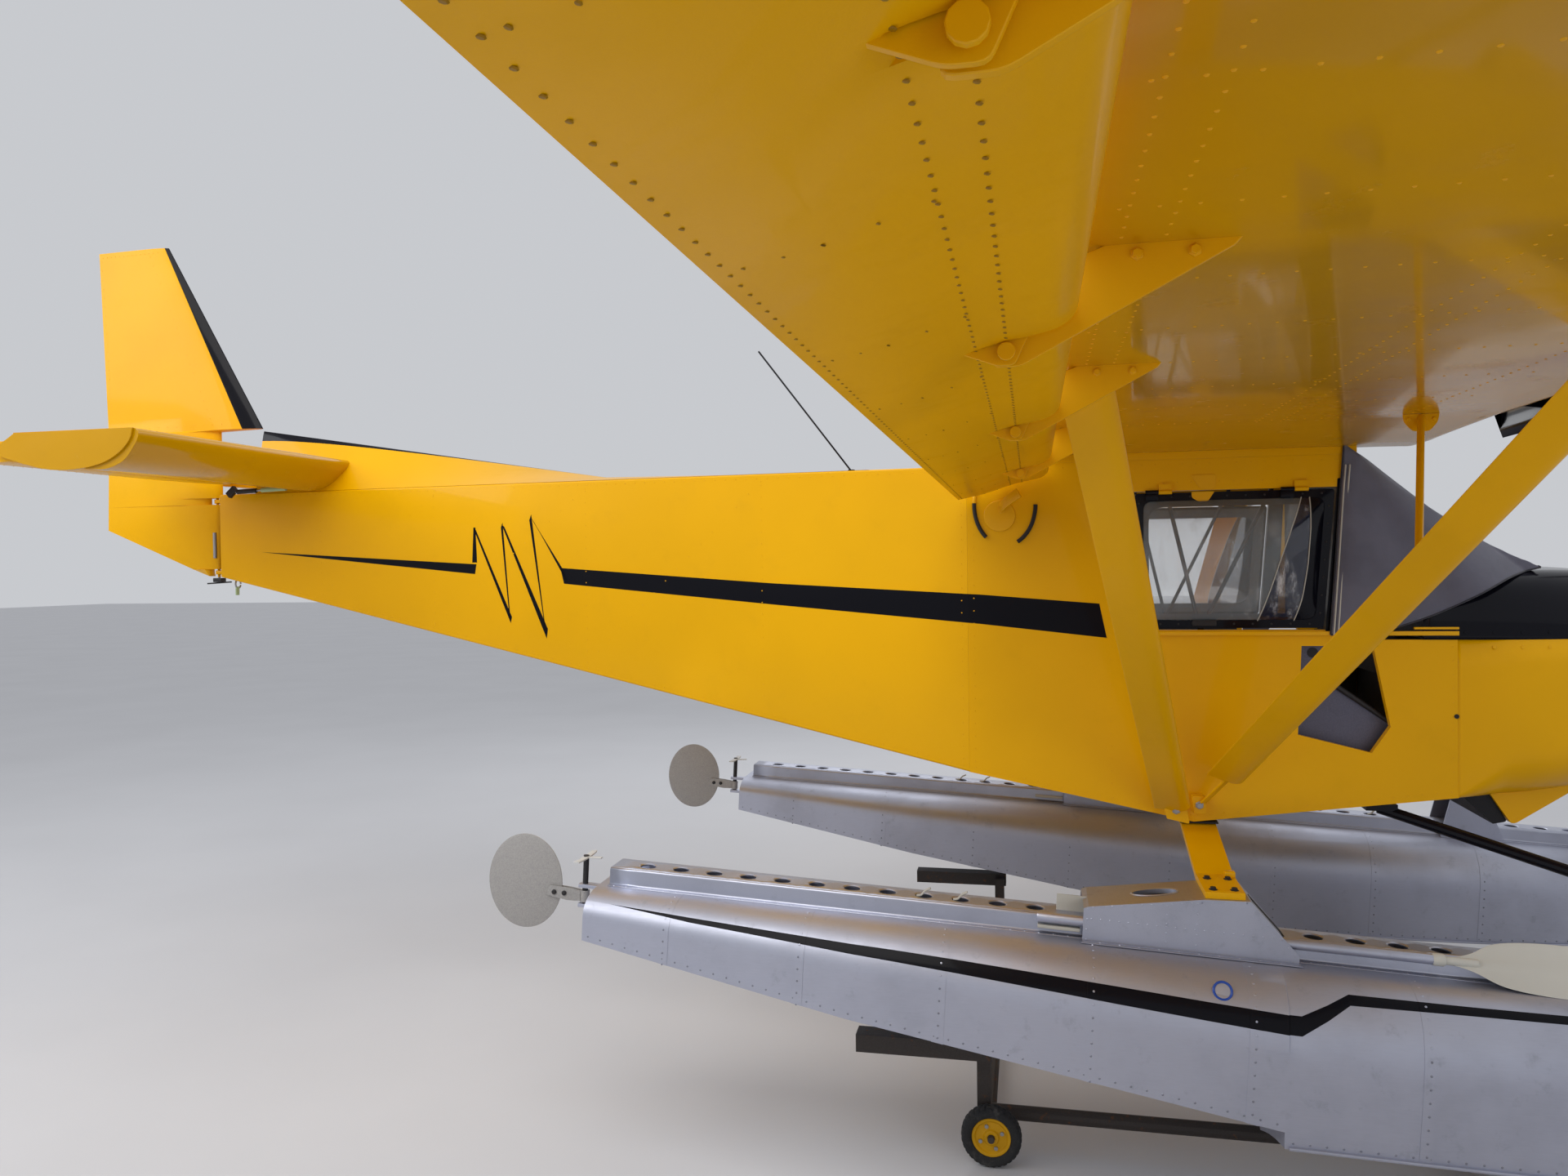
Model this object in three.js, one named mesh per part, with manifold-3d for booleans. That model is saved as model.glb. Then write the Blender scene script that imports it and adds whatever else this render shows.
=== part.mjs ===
// A light two-seat high-wing floatplane with a slab-sided fuselage, standing on its float dolly.
// Millimetres. +X is the nose, +Y is port, +Z is up. All airframe stations are measured from the
// cabin's rear frame (x), the centre plane (y) and the door sill line (z), and one outer group then
// puts the origin on the floor under the middle of the outline.
import * as THREE from 'three';
import { mergeVertices } from 'three/addons/utils/BufferGeometryUtils.js';
import Module from 'manifold-3d';

const wasm = await Module();
wasm.setup();

// Driving dimensions
const GAP = 0.3;
const FLOOR_Z = -1540;
const CENTRE_X = -303;

const SPAN = 8230;
const CABIN_W = 1040;
const HALF_W = CABIN_W / 2;
const WALL = 26;
const SKIN = 12;
const PANEL_T = 24;
const TAIL_POST_X = -3200;
const TAIL_HALF_W = 41;
const TAIL_TOP_Z = 572;
const LONGERON_Z = 551;
const TUCK_Z = -455;
const TAIL_LOW_Z = 217;
const GEAR_X = 700;
const FIREWALL_X = 1460;
const COWL_REAR_X = 1362;
const COWL_FRONT_X = 2090;
const COWL_SPLIT_Z = -18;
const POST_X = 1180;
const PROP_X = 2190;
const PROP_Z = 30;
const PROP_D = 1780;
const SPINNER_BACK = 70;

const WING_Z = 600;
const WING_LE_X = 1420;
const WING_TE_X = 262;
const WING_T = 178;
const ROOT_T = 46;
const ROOT_Y = HALF_W - 60;
const ROOT_TAPER_Y = 1020;
const SLAT_IN_Y = 800;
const SLAT_OUT_Y = SPAN / 2 - 170;

const FLAP_HINGE = { x: 178, z: 478 };
const FLAP_IN_Y = 560;
const FLAP_OUT_Y = SPAN / 2 - 70;

const STAB_LE_X = -2560;
const STAB_TOP_Z = 699;
const STAB_HINGE = { x: -3084, z: 640 };
const STAB_HALF = 1200;
const RUDDER_HINGE_X = -3243;

const FLOAT_Y = 927;
const FLOAT_TILT = 0.0578;
const DECK_Z = -759;
const STERN_U = -1110;
const STEP_U = 850;
const BOW_U = 3222;
const CHANNEL_H = 52;
const CHANNEL_W = 118;
const DECK_W = -CHANNEL_H - GAP;

const WHEEL_R = 88;
const DOLLY_X = { rear: 75, front: 1760 };
const RAIL_Z = -1440;

// Colours of the finishes
const YELLOW = 0xf2b600;
const BLACK = 0x0c0c10;
const ALUMINIUM = 0xc4c8d4;
const GREY = 0x8d8f97;
const CLOTH = 0x6d7080;
const GLASS = 0xbfd0d8;

function finish(color, roughness, metalness = 0) {
  return new THREE.MeshStandardMaterial({ color, roughness, metalness });
}

// A closed geometry from triangles, turned so that its faces point out
function closed(positions, indices) {
  let volume = 0;
  const v = (i) => new THREE.Vector3().fromArray(positions, 3 * i);
  for (let i = 0; i < indices.length; i += 3) {
    volume += v(indices[i]).dot(v(indices[i + 1]).cross(v(indices[i + 2])));
  }
  if (volume < 0) {
    for (let i = 0; i < indices.length; i += 3) {
      [indices[i], indices[i + 1]] = [indices[i + 1], indices[i]];
    }
  }
  const geometry = new THREE.BufferGeometry();
  geometry.setAttribute('position', new THREE.Float32BufferAttribute(positions, 3));
  geometry.setIndex(indices);
  return geometry;
}

// A skin carried over rings of [x, y, z] points, each ring closed, with flat ends
function loft(rings) {
  const count = rings[0].length;
  const positions = rings.flat(2);
  const indices = [];
  for (let r = 0; r + 1 < rings.length; r += 1) {
    for (let i = 0; i < count; i += 1) {
      const a = r * count + i;
      const b = r * count + ((i + 1) % count);
      indices.push(a, b, a + count, b, b + count, a + count);
    }
  }
  for (const r of [0, rings.length - 1]) {
    const points = rings[r].map((p) => new THREE.Vector3(...p));
    const normal = new THREE.Vector3();
    points.forEach((p, i) => normal.add(p.clone().cross(points[(i + 1) % count])));
    const size = normal.toArray().map(Math.abs);
    const drop = size.indexOf(Math.max(...size));
    const flat = points.map((p) => new THREE.Vector2(...p.toArray().filter((_, i) => i !== drop)));
    for (const corners of THREE.ShapeUtils.triangulateShape(flat, [])) {
      const face = corners.sort((i, j) => i - j).map((i) => i + r * count);
      if (r === 0) face.reverse();
      indices.push(...face);
    }
  }
  return closed(positions, indices);
}

// A solid for joining and cutting: a geometry is made one, and a solid stays as it is
function toSolid(shape) {
  if (!shape.isBufferGeometry) return shape;
  const bare = shape.clone();
  bare.deleteAttribute('normal');
  bare.deleteAttribute('uv');
  const merged = mergeVertices(bare, 1e-3);
  const data = {
    numProp: 3,
    vertProperties: new Float32Array(merged.attributes.position.array),
    triVerts: new Uint32Array(merged.index.array),
  };
  return new wasm.Manifold(new wasm.Mesh(data));
}

function toGeometry(shape) {
  if (shape.isBufferGeometry) return shape;
  const { vertProperties, triVerts } = shape.getMesh();
  const geometry = new THREE.BufferGeometry();
  geometry.setAttribute('position', new THREE.BufferAttribute(vertProperties, 3));
  geometry.setIndex(new THREE.BufferAttribute(triVerts, 1));
  return geometry;
}

function join(...parts) {
  return parts.map(toSolid).reduce((sum, part) => sum.add(part));
}

function cut(body, ...tools) {
  return tools.map(toSolid).reduce((rest, tool) => rest.subtract(tool), toSolid(body));
}

function keep(body, region) {
  return toSolid(body).intersect(toSolid(region));
}

function box(x0, x1, y0, y1, z0, z1) {
  const geometry = new THREE.BoxGeometry(x1 - x0, y1 - y0, z1 - z0);
  return geometry.translate((x0 + x1) / 2, (y0 + y1) / 2, (z0 + z1) / 2);
}

// A rod between two points, round or with flats, by its radius and number of sides
function rod(from, to, radius, sides = 12) {
  const a = new THREE.Vector3(...from);
  const b = new THREE.Vector3(...to);
  const geometry = new THREE.CylinderGeometry(radius, radius, a.distanceTo(b), sides);
  const turn = new THREE.Quaternion().setFromUnitVectors(
    new THREE.Vector3(0, 1, 0),
    b.clone().sub(a).normalize(),
  );
  return geometry.applyQuaternion(turn).translate(...a.add(b).multiplyScalar(0.5));
}

// A plate standing in the X-Z plane: an outline of [x, z] corners between two values of y
function sidePlate(corners, y0, y1, holes = []) {
  const shape = new THREE.Shape(corners.map(([x, z]) => new THREE.Vector2(x, z)));
  for (const hole of holes) {
    shape.holes.push(new THREE.Path(hole.map(([x, z]) => new THREE.Vector2(x, z))));
  }
  const settings = { depth: Math.abs(y1 - y0), bevelEnabled: false };
  const geometry = new THREE.ExtrudeGeometry(shape, settings);
  return geometry.rotateX(Math.PI / 2).translate(0, Math.max(y0, y1), 0);
}

// A plate lying in the X-Y plane: an outline of [x, y] corners between two values of z
function flatPlate(corners, z0, z1, holes = []) {
  const shape = new THREE.Shape(corners.map(([x, y]) => new THREE.Vector2(x, y)));
  for (const hole of holes) {
    shape.holes.push(new THREE.Path(hole.map(([x, y]) => new THREE.Vector2(x, y))));
  }
  const geometry = new THREE.ExtrudeGeometry(shape, { depth: z1 - z0, bevelEnabled: false });
  return geometry.translate(0, 0, z0);
}

function circle(cx, cy, rx, ry = rx, sides = 16) {
  return Array.from({ length: sides }, (_, i) => {
    const angle = (2 * Math.PI * i) / sides;
    return [cx + rx * Math.cos(angle), cy + ry * Math.sin(angle)];
  });
}

function lerp(a, b, t) {
  return a + (b - a) * t;
}

// A column of a table of stations, read at any place between its rows
function between(table, place, column) {
  const i = table.findIndex(([row], k) => k > 0 && (table[k - 1][0] - place) * (row - place) <= 0);
  const [before, after] = [table[i - 1], table[i]];
  return lerp(before[column], after[column], (place - before[0]) / (after[0] - before[0]));
}

// A box that is given for the port side, on either side
function sideBox(side, x0, x1, y0, y1, z0, z1) {
  return side > 0 ? box(x0, x1, y0, y1, z0, z1) : box(x0, x1, -y1, -y0, z0, z1);
}

const model = new THREE.Group();
model.position.set(-CENTRE_X, 0, -FLOOR_Z);
const floatGroup = new THREE.Group();
floatGroup.position.set(0, 0, DECK_Z);
floatGroup.rotation.y = FLOAT_TILT;
model.add(floatGroup);

function add(name, shape, material, parent = model) {
  const mesh = new THREE.Mesh(toGeometry(shape), material);
  mesh.name = name;
  parent.add(mesh);
  return mesh;
}

const SIDES = [['right', -1], ['left', 1]];
const paint = finish(YELLOW, 0.25);
const black = finish(BLACK, 0.2);
const alloy = finish(ALUMINIUM, 0.4, 0.8);

// Fuselage

function bellyZ(x) {
  if (x < GEAR_X) return lerp(TUCK_Z, -595, x / GEAR_X);
  return lerp(-595, -497, (x - GEAR_X) / (FIREWALL_X - GEAR_X));
}

function floorZ(x) {
  return bellyZ(x) + PANEL_T;
}

function deckZ(x) {
  return lerp(LONGERON_Z, TAIL_TOP_Z, x / TAIL_POST_X);
}

// Rear fuselage: one hollow taper from the cabin, where it is open, to the tail post
function rearFuselage() {
  const taper = (x0, x1, inset) => loft([x0, x1].map((x) => {
    const w = lerp(HALF_W, TAIL_HALF_W, x / TAIL_POST_X) - inset;
    const low = lerp(TUCK_Z, TAIL_LOW_Z, x / TAIL_POST_X) + inset;
    const high = deckZ(x) - inset;
    return [[x, -w, low], [x, w, low], [x, w, high], [x, -w, high]];
  }));
  return cut(taper(-GAP, TAIL_POST_X, 0), taper(SKIN, TAIL_POST_X + 90, SKIN));
}

// Peaked top deck behind the wing, with a slot that the stabilizer passes through
const SPINE = [
  // x, half width, ridge
  [-330, 466, 582],
  [-1450, 300, 596],
  [-3006, 66, 841],
];

function dorsalSpine() {
  const halves = SIDES.map(([, side]) => loft(SPINE.map(([x, w, ridge]) => {
    const foot = deckZ(x) + GAP;
    return [[x, 0, foot], [x, side * w, foot], [x, side * 5, ridge], [x, 0, ridge]];
  })));
  return cut(join(...halves), box(-3100, STAB_LE_X + 12, -400, 400, 500, STAB_TOP_Z + GAP));
}

// The cabin's side with its door hole and the slanted opening low ahead of the door
const SIDE_OUTLINE = [
  [0, bellyZ(0)], [GEAR_X, bellyZ(GEAR_X)], [FIREWALL_X, bellyZ(FIREWALL_X)],
  [FIREWALL_X, COWL_SPLIT_Z - GAP], [POST_X, COWL_SPLIT_Z - GAP], [POST_X, LONGERON_Z], [0, LONGERON_Z],
];
const DOOR = { x0: 522, x1: 1124, z0: 12, z1: 452 };
const DOOR_HOLE = [
  [DOOR.x0, DOOR.z0], [DOOR.x1 - 34, DOOR.z0], [DOOR.x1, DOOR.z1], [DOOR.x0, DOOR.z1],
];
const STEP_HOLE = [[1020, -38], [1008, -314], [1219, -366], [1272, -285], [1224, -38]];

const DOOR_AXIS = { y: HALF_W + 8, z: DOOR.z1 - 4 };
const DOOR_HINGES = [600, 1000];
const KNUCKLE = { length: 40, r: 7 };

// One half of each door hinge: a barrel on the axis and the leaf that holds it
function hingeHalf(side, x0, x1, z0, z1) {
  return join(
    rod([x0, side * DOOR_AXIS.y, DOOR_AXIS.z], [x1, side * DOOR_AXIS.y, DOOR_AXIS.z], KNUCKLE.r, 12),
    sideBox(side, x0, x1, HALF_W - 1, DOOR_AXIS.y, z0, z1),
  );
}

function cabinSide(side) {
  const wall = sidePlate(SIDE_OUTLINE, side * HALF_W, side * (HALF_W - WALL), [DOOR_HOLE, STEP_HOLE]);
  const hinges = DOOR_HINGES.map((x) => hingeHalf(
    side, x + GAP, x + KNUCKLE.length, DOOR_AXIS.z, DOOR.z1 + 22,
  ));
  return cut(join(wall, ...hinges), sideBox(side, DOOR.x0, DOOR.x1, HALF_W - 2, HALF_W, DOOR.z0, DOOR.z1));
}

function cabinFloor() {
  const w = HALF_W - WALL - GAP;
  const line = [0, GEAR_X, FIREWALL_X - 20];
  const low = line.map((x) => [x, bellyZ(x) + GAP]);
  const high = line.map((x) => [x, floorZ(x)]).reverse();
  return sidePlate([...low, ...high], -w, w);
}

function firewall() {
  const w = HALF_W - WALL - GAP;
  const [thickness, top] = [19, 96];
  return box(FIREWALL_X - thickness, FIREWALL_X, -w, w, bellyZ(FIREWALL_X) + 1, top);
}

function cabinRoof() {
  const outline = [[0, -HALF_W], [POST_X, -HALF_W], [POST_X, HALF_W], [0, HALF_W]];
  const skylight = [[420, -380], [1080, -380], [1080, 380], [420, 380]];
  return flatPlate(outline, LONGERON_Z + GAP, LONGERON_Z + PANEL_T, [skylight]);
}

// Tubes of the frame behind the seats: posts, rails and a cross brace, joined where they meet
function cabinFrame() {
  const [x, post, brace] = [470, 13, 10];
  const y = HALF_W - WALL - post - 1;
  const rail = LONGERON_Z - 2 * post;
  const foot = floorZ(x - post - 1) + GAP;
  const posts = [-y, y].map((at) => rod([x, at, foot], [x, at, LONGERON_Z], post));
  const rails = [0, rail].map((z) => rod([x, -y, z], [x, y, z], post));
  const braces = [-y, y].map((at) => rod([x, at, brace], [x, -at, rail - 8], brace, 8));
  return join(...posts, ...rails, ...braces);
}

// Seat base, cushion line and back rest as one side profile
const SEAT = { rear: 505, backTop: 110, hip: 650, front: 1010, hipZ: -365, kneeZ: -330 };

function seats() {
  const w = HALF_W - WALL - 34;
  const base = [SEAT.rear + 25, GEAR_X, SEAT.front].map((x) => [x, floorZ(x) + GAP]);
  const profile = [
    ...base, [SEAT.front, SEAT.kneeZ], [SEAT.hip, SEAT.hipZ], [SEAT.rear + 57, SEAT.backTop],
    [SEAT.rear, SEAT.backTop],
  ];
  return sidePlate(profile, -w, w);
}

// Instrument panel: a leaning face inside the windshield's foot, and a wider apron under the sill
const PANEL = { x: 1290, t: 20, lean: 28, half: 448, low: -140, apron: -40, top: 150 };

function instrumentPanel() {
  const w = HALF_W - WALL - GAP;
  const { x, t, lean, half, low, apron, top } = PANEL;
  const face = sidePlate([[x, apron - 20], [x + t, apron - 20], [x, top], [x - lean, top]], -half, half);
  return join(face, box(x, x + t, -w, w, low, apron));
}

// Control column between the seats with its yoke bar, and its pivot block on the floor
function controlStick() {
  const [x, knuckle, grip, reach] = [1090, -190, -40, 130];
  const foot = floorZ(x + 30) + GAP;
  const top = [x - 20, 0, knuckle];
  const arms = [-reach, reach].map((y) => rod(top, [x - 70, y, grip], 10, 8));
  return join(
    box(x - 30, x + 30, -30, 30, foot, foot + 30),
    rod([x, 0, foot + 20], top, 11, 8),
    ...arms,
  );
}

// Nose

// Rounded rectangle in the Y-Z plane at one x
function noseRing(x, w, low, high, r) {
  const centres = [[w - r, high - r, 0], [-w + r, high - r, 1], [-w + r, low + r, 2], [w - r, low + r, 3]];
  return centres.flatMap(([y, z, quarter]) => [0, 1, 2, 3].map((i) => {
    const angle = (Math.PI / 2) * (quarter + i / 3);
    return [x, y + r * Math.cos(angle), z + r * Math.sin(angle)];
  }));
}

const COWL = [
  // x, half width, bottom, top, corner
  [COWL_REAR_X, 524, -500, 150, 90],
  [1640, 520, -500, 186, 130],
  [1900, 450, -470, 184, 150],
  [2040, 350, -400, 150, 150],
  [COWL_FRONT_X, 270, -330, 110, 130],
];

const COWL_WALL = 9;

function cowlBody(inset) {
  return loft(COWL.map(([x, w, low, high, r], i) => {
    const end = i === COWL.length - 1 ? -inset : 0;
    return noseRing(x + end, w - inset, low + inset, high - inset, r - inset / 2);
  }));
}

// A round hole through the nose's front wall
function noseHole(y, z, radius) {
  return rod([COWL_FRONT_X - 90, y, z], [COWL_FRONT_X + 110, y, z], radius, 16);
}

const INLET = { y: 175, z: 40, r: 58 };
const SHAFT_R = 62;

function cowlUpper() {
  const shell = cut(cowlBody(0), cowlBody(COWL_WALL));
  const inlets = SIDES.map(([, side]) => noseHole(side * INLET.y, INLET.z, INLET.r));
  const top = box(COWL_REAR_X - 60, COWL_FRONT_X + 110, -HALF_W - 80, HALF_W + 80, COWL_SPLIT_Z, 400);
  return cut(keep(shell, top), ...inlets, noseHole(0, PROP_Z, SHAFT_R));
}

// Lower cowl with its scoop-like lip under the air outlet
const LIP = { x: 1636, z: -585, half: 418, outletX: 1590, outletZ: -470, frontX: 1800 };

function cowlLower() {
  const shell = cut(cowlBody(0), cowlBody(COWL_WALL), noseHole(0, PROP_Z, SHAFT_R));
  const region = box(
    FIREWALL_X + GAP, COWL_FRONT_X + 110, -HALF_W - 80, HALF_W + 80, -700, COWL_SPLIT_Z - GAP,
  );
  const { x, z, half, outletX, outletZ, frontX } = LIP;
  const outlet = cut(keep(shell, region), box(FIREWALL_X - 10, outletX, -half - 2, half + 2, z, outletZ));
  const lip = sidePlate(
    [[x - 61, z + 90], [x - 4, z], [x + 4, z], [frontX, z + 95], [frontX, z + 101]],
    -half,
    half,
  );
  const inside = half - COWL_WALL;
  const room = sidePlate(
    [[x - 76, z + 96], [x, z + 10], [frontX - 20, z + 96], [frontX - 20, outletZ], [x - 76, outletZ]],
    -inside,
    inside,
  );
  return cut(join(outlet, lip), room);
}

// Engine: a plain block with its cylinders' width, its mount and the propeller shaft
const ENGINE = { rear: 1560, front: 1980, half: 150, low: -250, high: 110 };

function engine() {
  const { rear, front, half, low, high } = ENGINE;
  return join(
    box(rear, front, -half, half, low, high),
    box(rear + 80, front - 80, -390, 390, -170, 20),
    rod([front - 5, 0, PROP_Z], [PROP_X - SPINNER_BACK - GAP, 0, PROP_Z], 45, 16),
    box(FIREWALL_X + GAP, rear + 10, -120, 120, -200, 60),
  );
}

// Three blades on a hub behind a pointed cone. Each blade narrows and untwists to its tip.
function propeller() {
  const blade = [
    // radius, half chord, half thickness, pitch angle in degrees
    [40, 34, 20, 42],
    [180, 62, 13, 34],
    [430, 68, 10, 22],
    [700, 54, 7, 15],
    [840, 36, 5, 12],
    [PROP_D / 2, 14, 3, 11],
  ];
  const section = [[1, 0], [0.5, 0.9], [-0.2, 1], [-1, 0.12], [-1, -0.12], [-0.2, -0.5], [0.5, -0.5]];
  const rings = blade.map(([radius, c, t, pitch]) => section.map(([u, v]) => {
    const a = THREE.MathUtils.degToRad(pitch);
    return [
      u * c * Math.sin(a) + v * t * Math.cos(a),
      u * c * Math.cos(a) - v * t * Math.sin(a),
      radius,
    ];
  }));
  const blades = [0, 1, 2].map((i) => loft(rings).rotateX((i * 2 * Math.PI) / 3)
    .translate(PROP_X, 0, PROP_Z));
  const back = -SPINNER_BACK;
  const cone = [
    // radius, distance ahead of the blades' plane
    [0, back], [50, back], [50, back + 18], [112, back + 18], [112, back + 40], [96, 52], [62, 118],
    [22, 155], [0, 160],
  ];
  const spinner = new THREE.LatheGeometry(cone.map(([r, x]) => new THREE.Vector2(r, x)), 24);
  return join(spinner.rotateZ(-Math.PI / 2).translate(PROP_X, 0, PROP_Z), ...blades);
}

// Windshield and the cloth cover that lies on it: wedges from the roof's edge to the cowl's top,
// grown from the same planes

const PANE = [
  // x, half width, foot, top
  [POST_X, HALF_W - 5, -12, LONGERON_Z + 26],
  [1700, 330, 110, 184],
];

function wedge(x0, x1, grow, drop = 0) {
  const [rear, front] = PANE;
  return loft([x0, x1].map((x) => {
    const t = (x - rear[0]) / (front[0] - rear[0]);
    const w = lerp(rear[1], front[1], t) + grow;
    const low = lerp(rear[2], front[2], t) - drop;
    const high = lerp(rear[3], front[3], t) + grow;
    const shoulder = lerp(low + drop, high, 0.85);
    return [
      [x, -w, low], [x, w, low], [x, w, shoulder], [x, w - 90, high],
      [x, -w + 90, high], [x, -w, shoulder],
    ];
  }));
}

function windshield() {
  return cut(wedge(POST_X + GAP, 1700, 0), wedge(POST_X - 2, 1692, -6, 80), cowlBody(-GAP));
}

function windshieldCover() {
  return cut(wedge(POST_X + 4, 1716, 12), wedge(POST_X, 1701, 1, 80), cowlBody(-GAP));
}

// Door: a flat frame in the opening with a bubble pane, hung by its top edge
function door(side) {
  const room = 6;
  const outer = side * HALF_W;
  const inner = side * (HALF_W - 20);
  const frame = [
    [DOOR.x0 + room, DOOR.z0 + room], [DOOR.x1 - 34 - room, DOOR.z0 + room],
    [DOOR.x1 - room, DOOR.z1 - room], [DOOR.x0 + room, DOOR.z1 - room],
  ];
  const mid = [(DOOR.x0 + DOOR.x1 - 17) / 2, (DOOR.z0 + DOOR.z1) / 2];
  const ring = (scale, y) => frame.map(([x, z]) => [
    lerp(mid[0], x, scale), y, lerp(mid[1], z, scale),
  ]);
  const bulge = [[0.93, -4], [0.8, 46], [0.5, 64]];
  const hollow = [[0.88, -40], [0.88, -4], [0.76, 42], [0.46, 60]];
  const skin = ([scale, out]) => ring(scale, outer + side * out);
  const hinges = DOOR_HINGES.map((x) => hingeHalf(
    side, x - KNUCKLE.length, x - GAP, DOOR_AXIS.z - 26, DOOR_AXIS.z,
  ));
  return cut(
    join(sidePlate(frame, outer, inner), loft(bulge.map(skin)), ...hinges),
    loft(hollow.map(skin)),
  );
}

// Wings

// Lower and upper outline of the wing section, as fractions of chord from the leading edge and of
// the thickness above the flat underside, with a slightly drooped nose
const WING_SECTION = [
  [0, 0.28], [0.008, 0.12], [0.03, -0.03], [0.06, -0.02], [0.1, 0], [0.5, 0], [1, 0],
  [1, 0.06], [0.8, 0.38], [0.6, 0.7], [0.4, 0.95], [0.28, 1], [0.16, 0.95], [0.08, 0.8],
  [0.03, 0.62], [0.008, 0.46],
];

function wingBody(side) {
  const tip = SPAN / 2;
  const rootRise = LONGERON_Z + PANEL_T + GAP - WING_Z;
  const stations = [
    // y, thickness, rise of the underside, chord taken off the front
    [ROOT_Y, ROOT_T, rootRise, 40],
    [HALF_W + 64, ROOT_T, rootRise, 40],
    [ROOT_TAPER_Y, WING_T, 0, 0],
    [tip - 150, WING_T, 0, 0],
    [tip - 60, WING_T * 0.8, 32, 30],
    [tip, WING_T * 0.22, 150, 90],
  ];
  return loft(stations.map(([y, t, rise, back]) => WING_SECTION.map(([u, v]) => {
    const le = WING_LE_X - back;
    return [lerp(le, WING_TE_X, u), side * y, WING_Z + rise + v * t];
  })));
}

// Triangular arms under the wing's rear edge that hold the flaperon's hinges
const ARM_YS = [1060, 2040, 2875, 3710];
const ARM_T = 8;
const ARM_OUTLINE = [
  [450, WING_Z + 3], [300, WING_Z + 3], [270, WING_Z - 8], [167, 492], [162, 478], [167, 466],
  [178, 462], [196, 464], [440, WING_Z - 8],
];

function wing(side) {
  const arms = ARM_YS.map((y) => sidePlate(ARM_OUTLINE, side * (y - ARM_T / 2), side * (y + ARM_T / 2)));
  return join(wingBody(side), ...arms);
}

// Fixed slat ahead of the leading edge, a curved strip on brackets from the wing's nose
const SLAT_SECTION = [
  [1478, 556], [1496, 564], [1509, 590], [1510, 632], [1494, 680], [1460, 724], [1412, 758],
  [1352, 780], [1296, 787], [1296, 783], [1348, 768], [1400, 740], [1438, 704], [1464, 660],
  [1474, 616], [1470, 578],
];
const BRACKET_YS = [1060, 1950, 2840, 3730];
const BRACKET_OUTLINE = [[1478, 604], [1386, 616], [1380, 690], [1452, 696], [1472, 656]];

function slat(side) {
  const strip = loft([SLAT_IN_Y, SLAT_OUT_Y].map((y) => SLAT_SECTION.map(([x, z]) => [x, side * y, z])));
  const arms = BRACKET_YS.map((y) => sidePlate(BRACKET_OUTLINE, side * y, side * (y + ARM_T)));
  return join(strip, cut(join(...arms), wingBody(side).translate(GAP, 0, 0)));
}

// Flaperon under the wing's rear edge, with cut-outs for the hinge arms in its nose
const FLAP_SECTION = [
  [250, 512], [262, 526], [256, 544], [228, 556], [150, 540], [60, 484], [-25, 444],
  [-25, 438], [60, 456], [150, 484], [222, 500],
];
function flaperon(side) {
  const { x, z } = FLAP_HINGE;
  const body = loft([FLAP_IN_Y, FLAP_OUT_Y].map((y) => FLAP_SECTION.map(([u, v]) => [u, side * y, v])));
  const [face, horn, notch] = [ARM_T / 2 + GAP, ARM_T / 2 + 6, 18];
  const notches = ARM_YS.map((y) => sideBox(side, 140, 300, y - notch, y + notch, 470, 580));
  const horns = ARM_YS.map((y) => join(
    sidePlate(
      [[205, 500], [190, 462], [166, 462], [120, 480], [130, 500]],
      side * (y + horn),
      side * (y + horn + 6),
    ),
    rod([x, side * (y + face), z], [x, side * (y + horn + 1), z], 7, 12),
  ));
  return join(cut(body, ...notches), ...horns);
}

// Lift struts: a flat streamlined section between two points, its flats facing across the flow
function strut(from, to, chord, thickness) {
  const along = new THREE.Vector3(...to).sub(new THREE.Vector3(...from)).normalize();
  const fore = new THREE.Vector3(1, 0, 0).addScaledVector(along, -along.x).normalize();
  const flat = new THREE.Vector3().crossVectors(along, fore);
  const outline = [[0.5, 0], [0.36, 0.4], [0.1, 0.5], [-0.5, 0.12], [-0.5, -0.12], [0.1, -0.5], [0.36, -0.4]];
  const ring = (end) => outline.map(([u, v]) => new THREE.Vector3(...end)
    .addScaledVector(fore, u * chord)
    .addScaledVector(flat, v * thickness)
    .toArray());
  return loft([ring(from), ring(to)]);
}

const REAR_STRUT = { foot: [630, 572, -540], head: [310, 1950, WING_Z - 1.5] };
const FRONT_STRUT = { foot: [768, 602, -452], head: [1250, 2010, WING_Z - 1.5] };
const FRONT_CHORD = 118;
const FRONT_THICKNESS = 38;

function along({ foot, head }, t) {
  return foot.map((value, i) => lerp(value, head[i], t));
}

function mirrored([x, y, z], side) {
  return [x, side * y, z];
}

function rearStrut(side) {
  const { foot, head } = REAR_STRUT;
  const body = strut(mirrored(foot, side), mirrored(along(REAR_STRUT, 0.985), side), 108, 34);
  const lug = [[600, -520], [668, -520], [680, -592], [610, -575]];
  return join(
    body,
    sidePlate(lug, side * (HALF_W + GAP), side * (HALF_W + 62)),
    sideBox(side, head[0] - 30, head[0] + 60, 1890, 1990, WING_Z - 26, WING_Z - GAP),
  );
}

function frontStrut(side) {
  const [low, high] = [0.02, 0.985].map((t) => mirrored(along(FRONT_STRUT, t), side));
  const [x] = FRONT_STRUT.head;
  const lug = [[690, -505], [728, -505], [732, -560], [694, -560]];
  return join(
    strut(low, high, FRONT_CHORD, FRONT_THICKNESS),
    rod(mirrored([712, HALF_W + 40, -532], side), mirrored(along(FRONT_STRUT, 0.06), side), 11, 8),
    sidePlate(lug, side * (HALF_W + GAP), side * (HALF_W + 52)),
    sideBox(side, x - 45, x + 45, 1950, 2060, WING_Z - 26, WING_Z - GAP),
  );
}

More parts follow.
